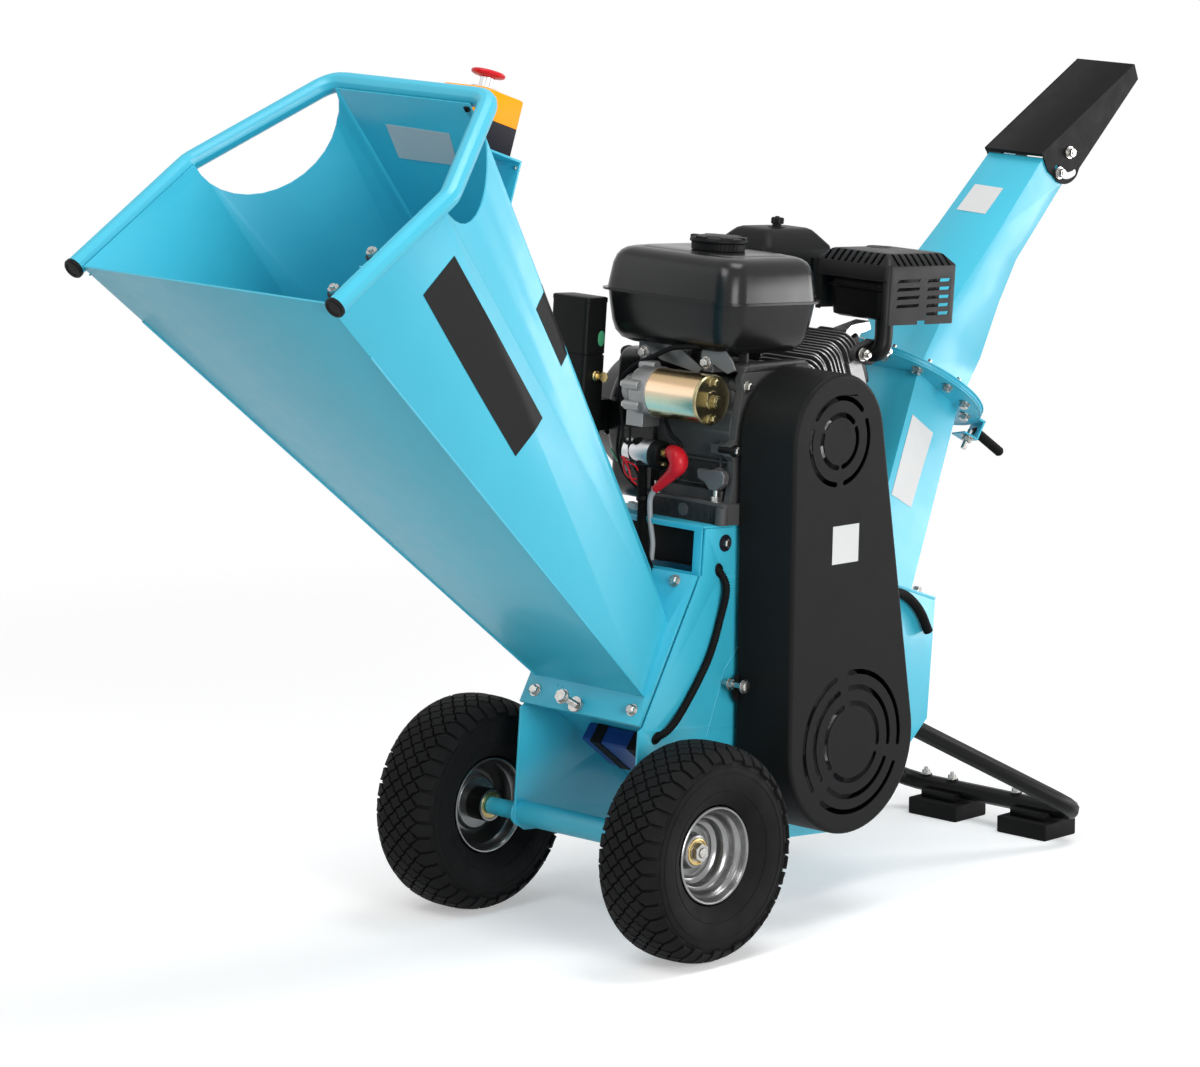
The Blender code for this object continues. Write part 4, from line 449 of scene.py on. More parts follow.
def carved(mesh, tool_mesh):
    """The mesh with another mesh's solids taken out of it."""
    target, tool = bpy.data.objects.new("carved", mesh), bpy.data.objects.new("cutter", tool_mesh)
    for made in (target, tool):
        bpy.context.scene.collection.objects.link(made)
    cut = target.modifiers.new("cut", "BOOLEAN")
    cut.object = tool
    cut.use_self = True
    bpy.context.view_layer.update()
    graph = bpy.context.evaluated_depsgraph_get()
    result = bpy.data.meshes.new_from_object(target.evaluated_get(graph), depsgraph=graph)
    for made in (target, tool):
        bpy.data.objects.remove(made)
    return result


def settle(made, name, body, materials, bevel, smooth, replaces=(), matrix=LEAN):
    """Gives a piece its finish, soft edges, and the body that it rides on."""
    if not made.users_collection:
        bpy.context.scene.collection.objects.link(made)
    made.data.transform(matrix @ made.matrix_basis)
    made.matrix_basis = Matrix.Identity(4)
    for material in materials:
        made.data.materials.append(material)
    made.data.shade_smooth()
    if bevel:
        edges = made.modifiers.new("edges", "BEVEL")
        edges.width = bevel
        edges.segments = 2
        edges.limit_method = "ANGLE"
        edges.angle_limit = math.radians(smooth)
        edges.harden_normals = True
    else:
        made.data.set_sharp_from_angle(angle=math.radians(smooth))
    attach(made, body)
    if replaces:
        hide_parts(*replaces)
    PIECES[name] = made
    return made


def surface_of(name):
    """The real surface of a CAD node in the body frame, to lay thin plates on."""
    solid = nodes[name]
    solid.data.update()
    into = LEAN.inverted() @ solid.matrix_world
    return BVHTree.FromPolygons([into @ v.co for v in solid.data.vertices], [tuple(f.vertices) for f in solid.data.polygons])


def arc(centre, radius, start, end, steps):
    """Points of an arc in degrees, both ends included."""
    angles = [math.radians(start + (end - start) * i / steps) for i in range(steps + 1)]
    return [(centre[0] + radius * math.cos(a), centre[1] + radius * math.sin(a)) for a in angles]


def circle(centre, radius, steps=32):
    return arc(centre, radius, 0, 360, steps)[:-1]


def plate(name, outline, x, body, materials, holes=(), bevel=0.0004, replaces=()):
    """A flat outline in (y, z) between two x values, with holes through it."""
    curve = bpy.data.curves.new(name, "CURVE")
    curve.dimensions = "2D"
    curve.fill_mode = "BOTH"
    curve.extrude = (x[1] - x[0]) / 2
    for points in [outline, *holes]:
        spline = curve.splines.new("POLY")
        spline.points.add(len(points) - 1)
        spline.use_cyclic_u = True
        for place, point in zip(spline.points, points):
            place.co = (*point, 0.0, 1.0)
    guide = bpy.data.objects.new(name + ".guide", curve)
    bpy.context.scene.collection.objects.link(guide)
    bpy.context.view_layer.update()
    graph = bpy.context.evaluated_depsgraph_get()
    mesh = bpy.data.meshes.new_from_object(guide.evaluated_get(graph), depsgraph=graph)
    bpy.data.objects.remove(guide)
    stand = Euler((math.pi / 2, 0, math.pi / 2)).to_matrix().to_4x4()
    mesh.transform(Matrix.Translation((sum(x) / 2, 0, 0)) @ stand)
    bm = bmesh.new()
    bm.from_mesh(mesh)
    bmesh.ops.remove_doubles(bm, verts=bm.verts, dist=0.00002)
    bm.to_mesh(mesh)
    bm.free()
    made = bpy.data.objects.new(name, mesh)
    return settle(made, name, body, materials, bevel, 35, replaces)


def soften(made, width, angle=35, segments=2):
    """Rounds the edges of a piece a little and shades it smooth."""
    made.data.shade_smooth()
    weld = made.modifiers.new("weld", "WELD")
    weld.merge_threshold = 0.00001
    bevel = made.modifiers.new("edges", "BEVEL")
    bevel.width = width
    bevel.segments = segments
    bevel.limit_method = "ANGLE"
    bevel.angle_limit = math.radians(angle)
    bevel.harden_normals = True
    return made


def dress_solids():
    """Every solid that stays gets its finish and soft edges."""
    slots = {row["node"]: row["material_slot"] for row in frame["record"]["subparts"]}
    for name, made in nodes.items():
        made.data.materials.clear()
        made.data.materials.append(BY_SLOT[slots[name]])
        soften(made, 0.0006)
    nodes["guard_back_plate"].data.materials[0] = GUARD
    nodes["upper_chute"].data.set_sharp_from_angle(angle=math.radians(28))
# Wheels

TYRE_RADIUS = 0.140
WHEEL_X = 0.197
TREAD_HEIGHT = 0.0044
TREAD_ROWS = 40
TREAD_COLUMN = 0.0112
GROOVE = 0.0014
TYRE_HALF_SECTION = (
    (0.0000, 0.1355),
    (0.0150, 0.1351),
    (0.0290, 0.1324),
    (0.0392, 0.1269),
    (0.0452, 0.1195),
    (0.0480, 0.1090),
    (0.0478, 0.0960),
    (0.0450, 0.0830),
    (0.0385, 0.0715),
    (0.0330, 0.0642),
)
TYRE_LINING = ((0.0250, 0.0645), (0.0330, 0.0850), (0.0360, 0.1060), (0.0280, 0.1220), (0.0, 0.1270))
SIDEWALL_RINGS = (0.0560, 0.0640, 0.0870)
LUG_ENDS = (0.0490, 0.0530)


class Course:
    """A smooth line through points, read by the distance along it."""

    def __init__(self, points, fineness=16):
        points = [Vector(point) for point in points]
        padded = [points[0] * 2 - points[1], *points, points[-1] * 2 - points[-2]]
        self.points = []
        for a, b, c, d in zip(padded, padded[1:], padded[2:], padded[3:]):
            for i in range(fineness):
                t = i / fineness
                linear = (c - a) * t
                square = (2 * a - 5 * b + 4 * c - d) * t**2
                cubic = (3 * b - a - 3 * c + d) * t**3
                self.points.append(0.5 * (2 * b + linear + square + cubic))
        self.points.append(points[-1])
        self.marks = [0.0]
        for a, b in zip(self.points, self.points[1:]):
            self.marks.append(self.marks[-1] + (b - a).length)
        self.length = self.marks[-1]

    def at(self, along):
        """The point and the direction so far along."""
        along = min(max(along, 0.0), self.length)
        k = 0
        while k < len(self.marks) - 2 and self.marks[k + 1] < along:
            k += 1
        a, b = self.points[k], self.points[k + 1]
        t = (along - self.marks[k]) / (self.marks[k + 1] - self.marks[k])
        return a.lerp(b, t), (b - a).normalized()

    def even(self, count):
        return [self.at(self.length * i / (count - 1))[0] for i in range(count)]


def tyre_point(section, turn, across, out):
    """A point of the tyre in its own frame, its axle along X, so far out from the carcass."""
    place, way = section.at(abs(across))
    x = math.copysign(place.x - way.y * out, across)
    r = place.y + way.x * out
    return Vector((x, r * math.cos(turn), r * math.sin(turn)))


def tread_block(shape, section, outline, turn, heights):
    """A block whose outline is (distance round, distance across), tapering to its top."""
    middle = Vector((sum(p[0] for p in outline), sum(p[1] for p in outline))) / len(outline)
    rings = []
    for out, keep in heights:
        ring = []
        for point in outline:
            around, across = middle.lerp(Vector(point), keep)
            ring.append(tyre_point(section, turn + around / TYRE_RADIUS, across, out))
        rings.append(ring)
    rows = shape.skin(rings, caps=False)
    top = shape.bm.verts.new(tyre_point(section, turn + middle.x / TYRE_RADIUS, middle.y, heights[-1][0]))
    count = len(outline)
    for i in range(count):
        shape.bm.faces.new((rows[-1][i], rows[-1][(i + 1) % count], top))


def wavy(points, swell, steps=4):
    """An outline whose straight sides are bent into a gentle S."""
    made = []
    for a, b in zip(points, points[1:] + points[:1]):
        a, b = Vector(a), Vector(b)
        side = Vector((-(b - a).y, (b - a).x)).normalized()
        for i in range(steps):
            t = i / steps
            made.append(a.lerp(b, t) + side * swell * math.sin(math.tau * t))
    return made


def tyre_mesh():
    """A turf tyre: carcass, diamond blocks round the crown, lugs on the shoulders, plain rings on the walls."""
    shape = Shape(Matrix.Identity(4))
    section = Course([(x, r) for x, r in TYRE_HALF_SECTION])
    half = [section.at(section.length * i / 26)[0] for i in range(27)]
    skin = [(p.y, p.x) for p in half]
    lining = [(r, x) for x, r in TYRE_LINING]
    front = skin[::-1]
    back = [(r, -x) for r, x in skin[1:]]
    inner = [(r, -x) for r, x in lining] + [(r, x) for r, x in lining[-2::-1]]
    shape.turned((0, 0, 0), (1, 0, 0), front + back + inner, steps=120)
    pitch = math.tau * TYRE_RADIUS / TREAD_ROWS
    heights = ((-0.0006, 1.0), (TREAD_HEIGHT - 0.0005, 0.96), (TREAD_HEIGHT, 0.92))
    reach, wide = pitch / 2 - GROOVE, TREAD_COLUMN - GROOVE
    diamond = wavy([(reach, 0), (0, wide), (-reach, 0), (0, -wide)], 0.0011)
    for row in range(TREAD_ROWS):
        for column in range(-2, 3):
            turn = math.tau * (row + (0.5 if column % 2 else 0.0)) / TREAD_ROWS
            outline = [(p[0], p[1] + column * TREAD_COLUMN) for p in diamond]
            tread_block(shape, section, outline, turn, heights)
        for side in (-1, 1):
            turn = math.tau * (row + 0.5) / TREAD_ROWS
            near, wide_at, far = 2 * TREAD_COLUMN + GROOVE, 3 * TREAD_COLUMN, LUG_ENDS[row % 2]
            lug = [(0, near), (reach, wide_at), (reach * 0.9, far), (-reach * 0.9, far), (-reach, wide_at)]
            lug = [(a, b * side) for a, b in lug]
            tread_block(shape, section, wavy(lug, 0.0, 3), turn, heights)
    for ring in SIDEWALL_RINGS:
        for side in (-1, 1):
            ridge = []
            for step, out in ((-0.0009, -0.0004), (-0.0004, 0.0006), (0.0004, 0.0006), (0.0009, -0.0004)):
                point = tyre_point(section, 0.0, side * (ring + step), out)
                ridge.append((point.y, point.x))
            shape.turned((0, 0, 0), (1, 0, 0), ridge, steps=120)
    return shape


RIM_FACE = (
    (0.0622, 0.0328), (0.0622, 0.0342), (0.0612, 0.0350), (0.0592, 0.0347), (0.0578, 0.0325),
    (0.0566, 0.0270), (0.0545, 0.0238), (0.0524, 0.0222), (0.0510, 0.0190), (0.0496, 0.0125),
    (0.0472, 0.0098), (0.0440, 0.0084), (0.0424, 0.0050), (0.0412, -0.0010), (0.0390, -0.0030),
    (0.0352, -0.0042), (0.0336, -0.0070), (0.0318, -0.0086), (0.0240, -0.0090), (0.0220, -0.0078),
    (0.0212, -0.0050), (0.0205, 0.0035), (0.0178, 0.0040),
)
RIM_BACK = (
    (0.0178, -0.0360), (0.0206, -0.0360), (0.0208, -0.0115), (0.0330, -0.0108), (0.0352, -0.0088),
    (0.0368, -0.0062), (0.0405, -0.0052), (0.0430, -0.0030), (0.0442, 0.0040), (0.0462, 0.0064),
    (0.0490, 0.0078), (0.0512, 0.0105), (0.0532, 0.0060), (0.0532, -0.0200), (0.0560, -0.0238),
    (0.0572, -0.0290), (0.0585, -0.0330), (0.0600, -0.0348), (0.0614, -0.0350), (0.0622, -0.0340),
    (0.0622, -0.0328), (0.0600, -0.0315), (0.0588, -0.0260), (0.0560, -0.0190), (0.0560, 0.0190),
    (0.0582, 0.0250), (0.0592, 0.0305), (0.0606, 0.0326),
)


def make_wheels():
    tyre = None
    for side, sign in (("left", -1), ("right", 1)):
        place = Matrix.Translation((sign * WHEEL_X, AXLE_Y, AXLE_Z))
        if sign < 0:
            place = place @ Matrix.Rotation(math.pi, 4, "Z")
        if tyre is None:
            shape = tyre_mesh()
            shape.matrix = first = place
            tyre = shape.piece("tyre.tread_" + side, "wheel_" + side, [TYRE], 0, 32, ["tyre_" + side], "tyre_rubber")
        else:
            twin = bpy.data.objects.new("tyre.tread_" + side, tyre.data)
            bpy.context.scene.collection.objects.link(twin)
            twin.matrix_world = place @ first.inverted()
            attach(twin, "wheel_" + side)
            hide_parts("tyre_" + side)
        rim = Shape(place)
        rim.turned((0, 0, 0), (1, 0, 0), RIM_FACE + RIM_BACK, steps=96)
        rim.turned((0, 0, 0), (1, 0, 0), ((0.0215, -0.012), (0.0215, -0.0355), (0.0206, -0.0355), (0.0206, -0.012)), 1, 64)
        rim.rod((0.006, 0.0, 0.0585), (0.006, 0.0, 0.0420), 0.0026, 1, 16)
        rim.piece("rim.dish_" + side, "wheel_" + side, [RIM, BLACK], 0, 30, ["rim_" + side], "rim_silver")
        hub = Shape(place)
        hub.turned((0, 0, 0), (1, 0, 0), ((0.0172, 0.0042), (0.0172, 0.0052), (0.0150, 0.0056), (0.0148, 0.0042)), 0, 48)
        hub.turned((0, 0, 0), (1, 0, 0), ((0.0120, 0.0041), (0.0120, 0.0056), (0.0092, 0.0056), (0.0092, 0.0041)), 1, 48)
        hub.piece("hub.washer_" + side, "wheel_" + side, [BRASS, ZINC], 0.0002, 38, (), "brass")


# Chassis

HALF_WIDTH = 0.105
FLANGE_FOOT = (-0.0136, 0.1444)
FLANGE_ANGLE = math.radians(64.3)
FLANGE_LENGTH = 0.2057
FLANGE_PLATE = 0.004
DECK_TOP = 0.3935
DECK_FRONT = 0.0845
DRUM_AXIS = (0.2777, 0.1187)
CRANK_AXIS = (0.2165, 0.5088)
BOX_TOP_REAR = (0.5445, 0.2726)
SIDE_STUD = (0.1470, (0.1338, 0.1912))
# Where the black sheet of painted shade stands in the deck: its depth behind the deck's front, then its low and high
# edges
DECK_PAINTED_SHADE = (0.012, (0.3400, 0.3870))
BOX_TOP_SLOPE = math.radians(-15.0)


def leaning(origin, lean, x, along, up):
    """A point so far to the rear and so far up in a frame leaning back from the body's."""
    y = origin[0] + along * math.cos(lean) + up * math.sin(lean)
    z = origin[1] - along * math.sin(lean) + up * math.cos(lean)
    return Vector((x, y, z))


def flange_at(x, along, out=FLANGE_PLATE):
    """A point on the hopper's lower flange, or so far in front of its back face."""
    y = FLANGE_FOOT[0] + along * math.cos(FLANGE_ANGLE) - out * math.sin(FLANGE_ANGLE)
    z = FLANGE_FOOT[1] + along * math.sin(FLANGE_ANGLE) + out * math.cos(FLANGE_ANGLE)
    return Vector((x, y, z))


FLANGE_OUT = Vector((0, -math.sin(FLANGE_ANGLE), math.cos(FLANGE_ANGLE)))


def strap(first, first_radius, second, second_radius, steps):
    """The outline of a belt round two circles."""
    run = math.dist(first, second)
    base = math.degrees(math.atan2(second[1] - first[1], second[0] - first[0]))
    off = math.degrees(math.acos((first_radius - second_radius) / run))
    far = arc(first, first_radius, base + off, base + 360 - off, steps)
    near = arc(second, second_radius, base - off, base + off, steps)
    return far + near


def make_axle():
    """A tube with a collar at each side plate, its stubs and nuts bright."""
    shape = Shape(GROUND @ Matrix.Translation((0, 0, AXLE_Z)))
    shape.rod((-0.1605, 0, 0), (0.1605, 0, 0), 0.0113, 0, 40)
    shape.rod((-0.1125, 0, 0), (0.1125, 0, 0), 0.0160, 0, 48)
    shape.rod((-0.2100, 0, 0), (0.2100, 0, 0), 0.0078, 1, 32)
    for sign in (-1, 1):
        shape.rod((sign * 0.2028, 0, 0), (sign * 0.2100, 0, 0), 0.0122, 1, 6)
        shape.rod((sign * 0.2095, 0, 0), (sign * 0.2122, 0, 0), 0.0070, 1, 24, tip=0.0058)
    shape.piece("axle.tube", "chassis", [PAINT, ZINC], 0.0006, 38, ["axle"], "paint_blue")


def make_chassis_trim():
    """Bolts, the seam of the side plates, welds, and a black sheet of painted shade inside the deck's window."""
    bolts = Shape()
    for x, along in ((-0.085, 0.018), (0.085, 0.018), (-0.0744, 0.194), (0.0744, 0.194)):
        bolts.bolt(flange_at(x, along), FLANGE_OUT, 0.0115, 0.0075)
    bolts.bolt((0.1186, 0.1572, 0.4066), (1, 0, 0), 0.0115, 0.0070)
    for sign in (-1, 1):
        spot = Vector((sign * 0.1050, 0.1226, 0.3707))
        bolts.rod(spot, spot + Vector((sign * 0.0012, 0, 0)), 0.0110, 1, 28)
        bolts.bolt(spot + Vector((sign * 0.0012, 0, 0)), (sign, 0, 0), 0.0105, 0.0062, washer=False)
    for y in (0.420, 0.518):
        for sign in (-1, 1):
            z = BOX_TOP_REAR[1] + (y - BOX_TOP_REAR[0]) * math.tan(BOX_TOP_SLOPE)
            up = Vector((0, math.sin(-BOX_TOP_SLOPE), math.cos(BOX_TOP_SLOPE)))
            if y > 0.5 or sign < 0:
                bolts.bolt(Vector((sign * 0.0935, y, z)) + up * 0.0046, up, 0.0105, 0.0065)
    stud = Vector((SIDE_STUD[0], *SIDE_STUD[1]))
    bolts.rod((0.1056, *SIDE_STUD[1]), stud, 0.0034, 0, 16)
    bolts.nut(Vector((0.1190, *SIDE_STUD[1])), (1, 0, 0), 0.0110, 0.0050)
    bolts.bolt(stud - Vector((0.0040, 0, 0)), (1, 0, 0), 0.0125, 0.0055)
    bolts.piece("chassis.bolts", "chassis", [ZINC, DARK_BASE_AND_HOLE_SHADE], 0.0003, 38, (), "bright_steel")
    welds = Shape()
    for sign in (-1, 1):
        x = sign * 0.1052
        welds.sweep([(x, 0.1633, 0.2397), (x, 0.1360, 0.2067), (x, 0.1098, 0.1222)], 0.0007, 0, 8)
        rim = [Vector((sign * 0.1065, 0.0172 * math.cos(a), 0.0172 * math.sin(a)))
               for a in (math.tau * i / 40 for i in range(41))]
        welds.sweep(rim, 0.0016, 0, 8)
    dots = ((-0.0905, 0.040), (-0.050, 0.030), (-0.042, 0.028))
    for x, along in dots:
        welds.rod(flange_at(x, along, 0.0041), flange_at(x, along, 0.0047), 0.0022, 0, 16, tip=0.0016)
    welds.piece("chassis.welds", "chassis", [PAINT], 0, 50, (), "paint_blue")
    # A black sheet behind the deck's window and along its sill: painted shade where the inside of the deck lies in
    # shadow
    shade = Shape()
    back = DECK_FRONT + DECK_PAINTED_SHADE[0]
    low, high = DECK_PAINTED_SHADE[1]
    shade.box((-HALF_WIDTH + 0.012, HALF_WIDTH - 0.012), (back, back + 0.001), (low, high), 0)
    shade.box((-HALF_WIDTH + 0.012, HALF_WIDTH - 0.012), (DECK_FRONT + 0.004, back), (low, low + 0.001), 0)
    shade.piece("engine_deck.painted_shade", "chassis", [PLASTIC], 0, 38, (), "black_plastic")


def battery_frame():
    """The battery's frame: its top face lies under the sloping tray."""
    start = Vector((0.010, 0.047, 0.130))
    angle = math.radians(222)
    end = Vector((0.010, DRUM_AXIS[0] + 0.122 * math.cos(angle), DRUM_AXIS[1] + 0.122 * math.sin(angle)))
    run = (end - start).normalized()
    down = Vector((0, run.z, -run.y))
    centre = start + run * 0.048 + down * 0.0133
    turn = Matrix((Vector((1, 0, 0)), run, -down)).transposed().to_4x4()
    return LEAN @ Matrix.Translation(centre) @ turn


def make_battery():
    frame_of_it = battery_frame()
    shape = Shape(frame_of_it)
    shape.box((-0.060, 0.060), (-0.035, 0.035), (-0.013, 0.0126), 0)
    shape.piece("battery.case", "chassis", [BLUE], 0.0025, 38, ["battery"], "battery_blue")
    straps = Shape(frame_of_it)
    for x in (-0.034, 0.030):
        straps.box((x - 0.009, x + 0.009), (-0.0362, 0.0362), (-0.0142, -0.0128), 0)
        for y in (-0.0358, 0.0358):
            straps.box((x - 0.009, x + 0.009), (y - 0.0007, y + 0.0007), (-0.0142, 0.0120), 0)
    lead = Course([(0.048, -0.030, -0.0155), (0.060, -0.034, -0.0200), (0.075, -0.030, -0.0180), (0.0885, -0.020, -0.0080)])
    straps.sweep(lead.even(24), 0.0026, 0, 10)
    straps.box((0.040, 0.054), (-0.036, -0.022), (-0.0185, -0.0128), 0)
    straps.piece("battery.straps", "chassis", [RUBBER], 0.0005, 38, (), "rubber")


# Belt guard

GUARD_X = (0.117, 0.205)
GUARD_WALL = 0.002
GUARD_CORNER = 0.005
GUARD_RADII = (0.086, 0.120)
GUARD_STEPS = 40
SLOT_WIDTH = 0.0066
GUARD_LABEL = (0.2400, 0.3765)


def guard_ring(x, inset):
    radii = [radius - inset for radius in GUARD_RADII]
    return [Vector((x, *point)) for point in strap(CRANK_AXIS, radii[0], DRUM_AXIS, radii[1], GUARD_STEPS)]


def slot_outline(centre, radius, start, end):
    """A slot along an arc, with round ends."""
    half = SLOT_WIDTH / 2
    made = arc(centre, radius + half, start, end, 14)
    made += end_round(centre, radius, end, half, 1)
    made += arc(centre, radius - half, end, start, 14)
    made += end_round(centre, radius, start, half, -1)
    return made


def end_round(centre, radius, angle, half, way):
    a = math.radians(angle)
    spot = (centre[0] + radius * math.cos(a), centre[1] + radius * math.sin(a))
    turns = arc(spot, half, angle, angle + 180, 8) if way > 0 else arc(spot, half, angle + 180, angle + 360, 8)
    return turns[1:-1]


def make_guard():
    """A pressed cover: its wall rounds into a face with three rings of slots below and two above."""
    front = GUARD_X[1]
    bend = [(front - GUARD_CORNER * (1 - math.sin(a)), GUARD_CORNER * (1 - math.cos(a)))
            for a in (math.radians(15 * i) for i in range(7))]
    inner = [(x - GUARD_WALL * 0.7, inset + GUARD_WALL * 0.7) for x, inset in bend[::-1]]
    course = [(GUARD_X[0], 0.0), *bend]
    course += [(front, GUARD_CORNER + 0.001), (front - GUARD_WALL, GUARD_CORNER + 0.001)]
    course += [*inner[1:], (GUARD_X[0], GUARD_WALL)]
    wall = Shape()
    wall.skin([guard_ring(x, inset) for x, inset in course], closed=True)
    wall.piece("belt_guard.wall", "chassis", [GUARD], 0, 30, ["belt_guard"], "paint_black")
    inset = GUARD_CORNER + 0.0010
    radii = [radius - inset for radius in GUARD_RADII]
    outline = strap(CRANK_AXIS, radii[0], DRUM_AXIS, radii[1], GUARD_STEPS)
    slots = []
    for centre, rings, gap, turn in (
        (CRANK_AXIS, (0.0337, 0.0553), 9, 36),
        (DRUM_AXIS, (0.0502, 0.0713, 0.0912), 8.5, -13),
    ):
        for radius in rings:
            for i in range(3):
                start = turn + 120 * i + gap
                slots.append(slot_outline(centre, radius, start, start + 120 - 2 * gap))
    plate("belt_guard.face", outline, (front - GUARD_WALL, front), "chassis", [GUARD], slots, 0.0003, ())
    label = Shape()
    label.box((front, front + 0.0003), (GUARD_LABEL[0] - 0.025, GUARD_LABEL[0] + 0.025),
              (GUARD_LABEL[1] - 0.0245, GUARD_LABEL[1] + 0.0245), 0, (math.radians(3), 0, 0))
    label.piece("belt_guard.label", "chassis", [LABEL], 0, 38, (), "paint_black")


# Engine

ENGINE_BASE_TOP = 0.4205
CASE_FRONT = 0.1385
COVER_X = (0.0930, 0.1042)
BARREL = LEAN @ Matrix.Translation((0, *CRANK_AXIS)) @ Matrix.Rotation(math.radians(25.0), 4, "X")
TANK_X = (-0.124, 0.118)
TANK_Y = (0.0915, 0.2829)
TANK_RINGS = (
    (0.6080, 0.0500, 0.010), (0.6085, 0.0340, 0.018), (0.6130, 0.0225, 0.024), (0.6220, 0.0155, 0.027),
    (0.6350, 0.0115, 0.029), (0.6550, 0.0085, 0.030), (0.6732, 0.0065, 0.030), (0.6732, 0.0000, 0.034),
    (0.6760, 0.0000, 0.034), (0.6760, 0.0055, 0.030), (0.6900, 0.0070, 0.030), (0.7080, 0.0095, 0.029),
    (0.7185, 0.0125, 0.029), (0.7245, 0.0165, 0.028), (0.7285, 0.0220, 0.026), (0.7305, 0.0290, 0.023),
    (0.7312, 0.0330, 0.021), (0.7308, 0.0350, 0.020), (0.7318, 0.0375, 0.019), (0.7328, 0.0420, 0.018),
    (0.7330, 0.0600, 0.010),
)
CAP_PLACE = (0.010, 0.180)
CAP_RINGS = (
    (0.7334, 0.0330, 0.0), (0.7340, 0.0345, 0.0005), (0.7430, 0.0350, 0.0005), (0.7436, 0.0364, 0.0),
    (0.7446, 0.0370, 0.0), (0.7470, 0.0369, 0.0), (0.7496, 0.0352, 0.0), (0.7505, 0.0318, 0.0),
    (0.7500, 0.0300, 0.0), (0.7512, 0.0280, 0.0), (0.7526, 0.0180, 0.0), (0.7530, 0.0060, 0.0),
)
CLEANER_X = (-0.128, -0.025)
CLEANER_Y = (0.314, 0.452)
CLEANER_RINGS = (
    (0.6640, 0.0060, 0.016), (0.6680, 0.0030, 0.016), (0.6900, 0.0020, 0.016), (0.7000, 0.0015, 0.016),
    (0.7010, 0.0040, 0.015), (0.7030, 0.0040, 0.015), (0.7040, 0.0008, 0.016), (0.7250, 0.0014, 0.015),
    (0.7310, 0.0035, 0.014), (0.7455, 0.0170, 0.012), (0.7500, 0.0215, 0.012), (0.7522, 0.0270, 0.010),
)
KNOB_PLACE = (-0.070, 0.380)
KNOB_LOBES = 5
MUFFLER_X = (0.014, 0.140)
MUFFLER_Y = (0.366, 0.503)
MUFFLER_WALL = 0.0012
MUFFLER_RINGS = (
    (0.6450, 0.0, 0.0070), (0.7205, 0.0, 0.0070), (0.7225, 0.0008, 0.0070), (0.7345, 0.0125, 0.0060),
    (0.7358, 0.0150, 0.0060), (0.7364, 0.0200, 0.0060), (0.7366, 0.0400, 0.0050),
)


def corner_ring(x, y, z, inset, radius, steps=8):
    """A rounded rectangle at one height, drawn in all round by the inset."""
    ring = []
    for i, (across, back) in enumerate(((1, 1), (0, 1), (0, 0), (1, 0))):
        cx = x[across] - (inset + radius) * (1 if across else -1)
        cy = y[back] - (inset + radius) * (1 if back else -1)
        ring += [(px, py, z) for px, py in arc((cx, cy), radius, 90 * i, 90 * i + 90, steps)]
    return ring


def lobed_ring(centre, z, radius, lobes=0, depth=0.0, steps=120):
    """A round ring with so many hollows of the given depth."""
    ring = []
    for i in range(steps):
        a = math.tau * i / steps
        r = radius - depth * (0.5 + 0.5 * math.cos(lobes * a))
        ring.append((centre[0] + r * math.cos(a), centre[1] + r * math.sin(a), z))
    return ring


def sheet(shape, outline, thickness, material=0):
    """A flat outline of points in space with a thickness given as a vector."""
    points = [Vector(point) for point in outline]
    shape.skin([points, [point + Vector(thickness) for point in points]], material)


def make_tank():
    tank = Shape()
    tank.skin([corner_ring(TANK_X, TANK_Y, *ring) for ring in TANK_RINGS])
    tank.skin([lobed_ring(CAP_PLACE, z, 0.0325) for z in (0.7325, 0.7332)], 1)
    tank.piece("fuel_tank.body", "chassis", [GLOSS, PLASTIC], 0, 45, ["fuel_tank"], "paint_black")
    cap = Shape()
    rings = [lobed_ring(CAP_PLACE, z, radius, 48, depth, 192) for z, radius, depth in CAP_RINGS]
    cap.skin(rings)
    for i in range(6):
        a = math.tau * (i + 0.5) / 6
        way = Vector((math.cos(a), math.sin(a), 0))
        start = Vector((*CAP_PLACE, 0.7478)) + way * 0.0315
        cap.box(
            (start.x - 0.0042, start.x + 0.0042), (start.y - 0.0075, start.y + 0.0075), (0.7450, 0.7515),
            0, (0, 0, a),
        )
    cap.piece("fuel_cap.grip", "fuel_cap", [PLASTIC], 0.0003, 40, ["fuel_cap"], "black_plastic")


def make_air_cleaner():
    case = Shape()
    case.skin([corner_ring(CLEANER_X, CLEANER_Y, *ring) for ring in CLEANER_RINGS])
    case.skin([lobed_ring(KNOB_PLACE, z, radius) for z, radius in ((0.7515, 0.0125), (0.7530, 0.0120), (0.7536, 0.0095))])
    for y in (0.352, 0.412):
        case.box((CLEANER_X[1] - 0.0022, CLEANER_X[1] + 0.0006), (y - 0.007, y + 0.007), (0.690, 0.7160), 0)
    case.piece("air_cleaner.case", "chassis", [PLASTIC], 0.0004, 40, ["air_cleaner"], "black_plastic")
    knob = Shape()
    rings = ((0.7539, 0.0062, 0.0), (0.7565, 0.0060, 0.0), (0.7572, 0.0088, 0.0030), (0.7640, 0.0090, 0.0030),
             (0.7652, 0.0080, 0.0026), (0.7655, 0.0040, 0.0))
    knob.skin([lobed_ring(KNOB_PLACE, z, radius, KNOB_LOBES, depth, 60) for z, radius, depth in rings])
    knob.rod((*KNOB_PLACE, 0.7650), (*KNOB_PLACE, 0.7668), 0.0030, 0, 16)
    knob.piece("air_cleaner_knob.star", "air_cleaner_knob", [PLASTIC], 0.0003, 40, ["air_cleaner_knob"],
               "black_plastic")


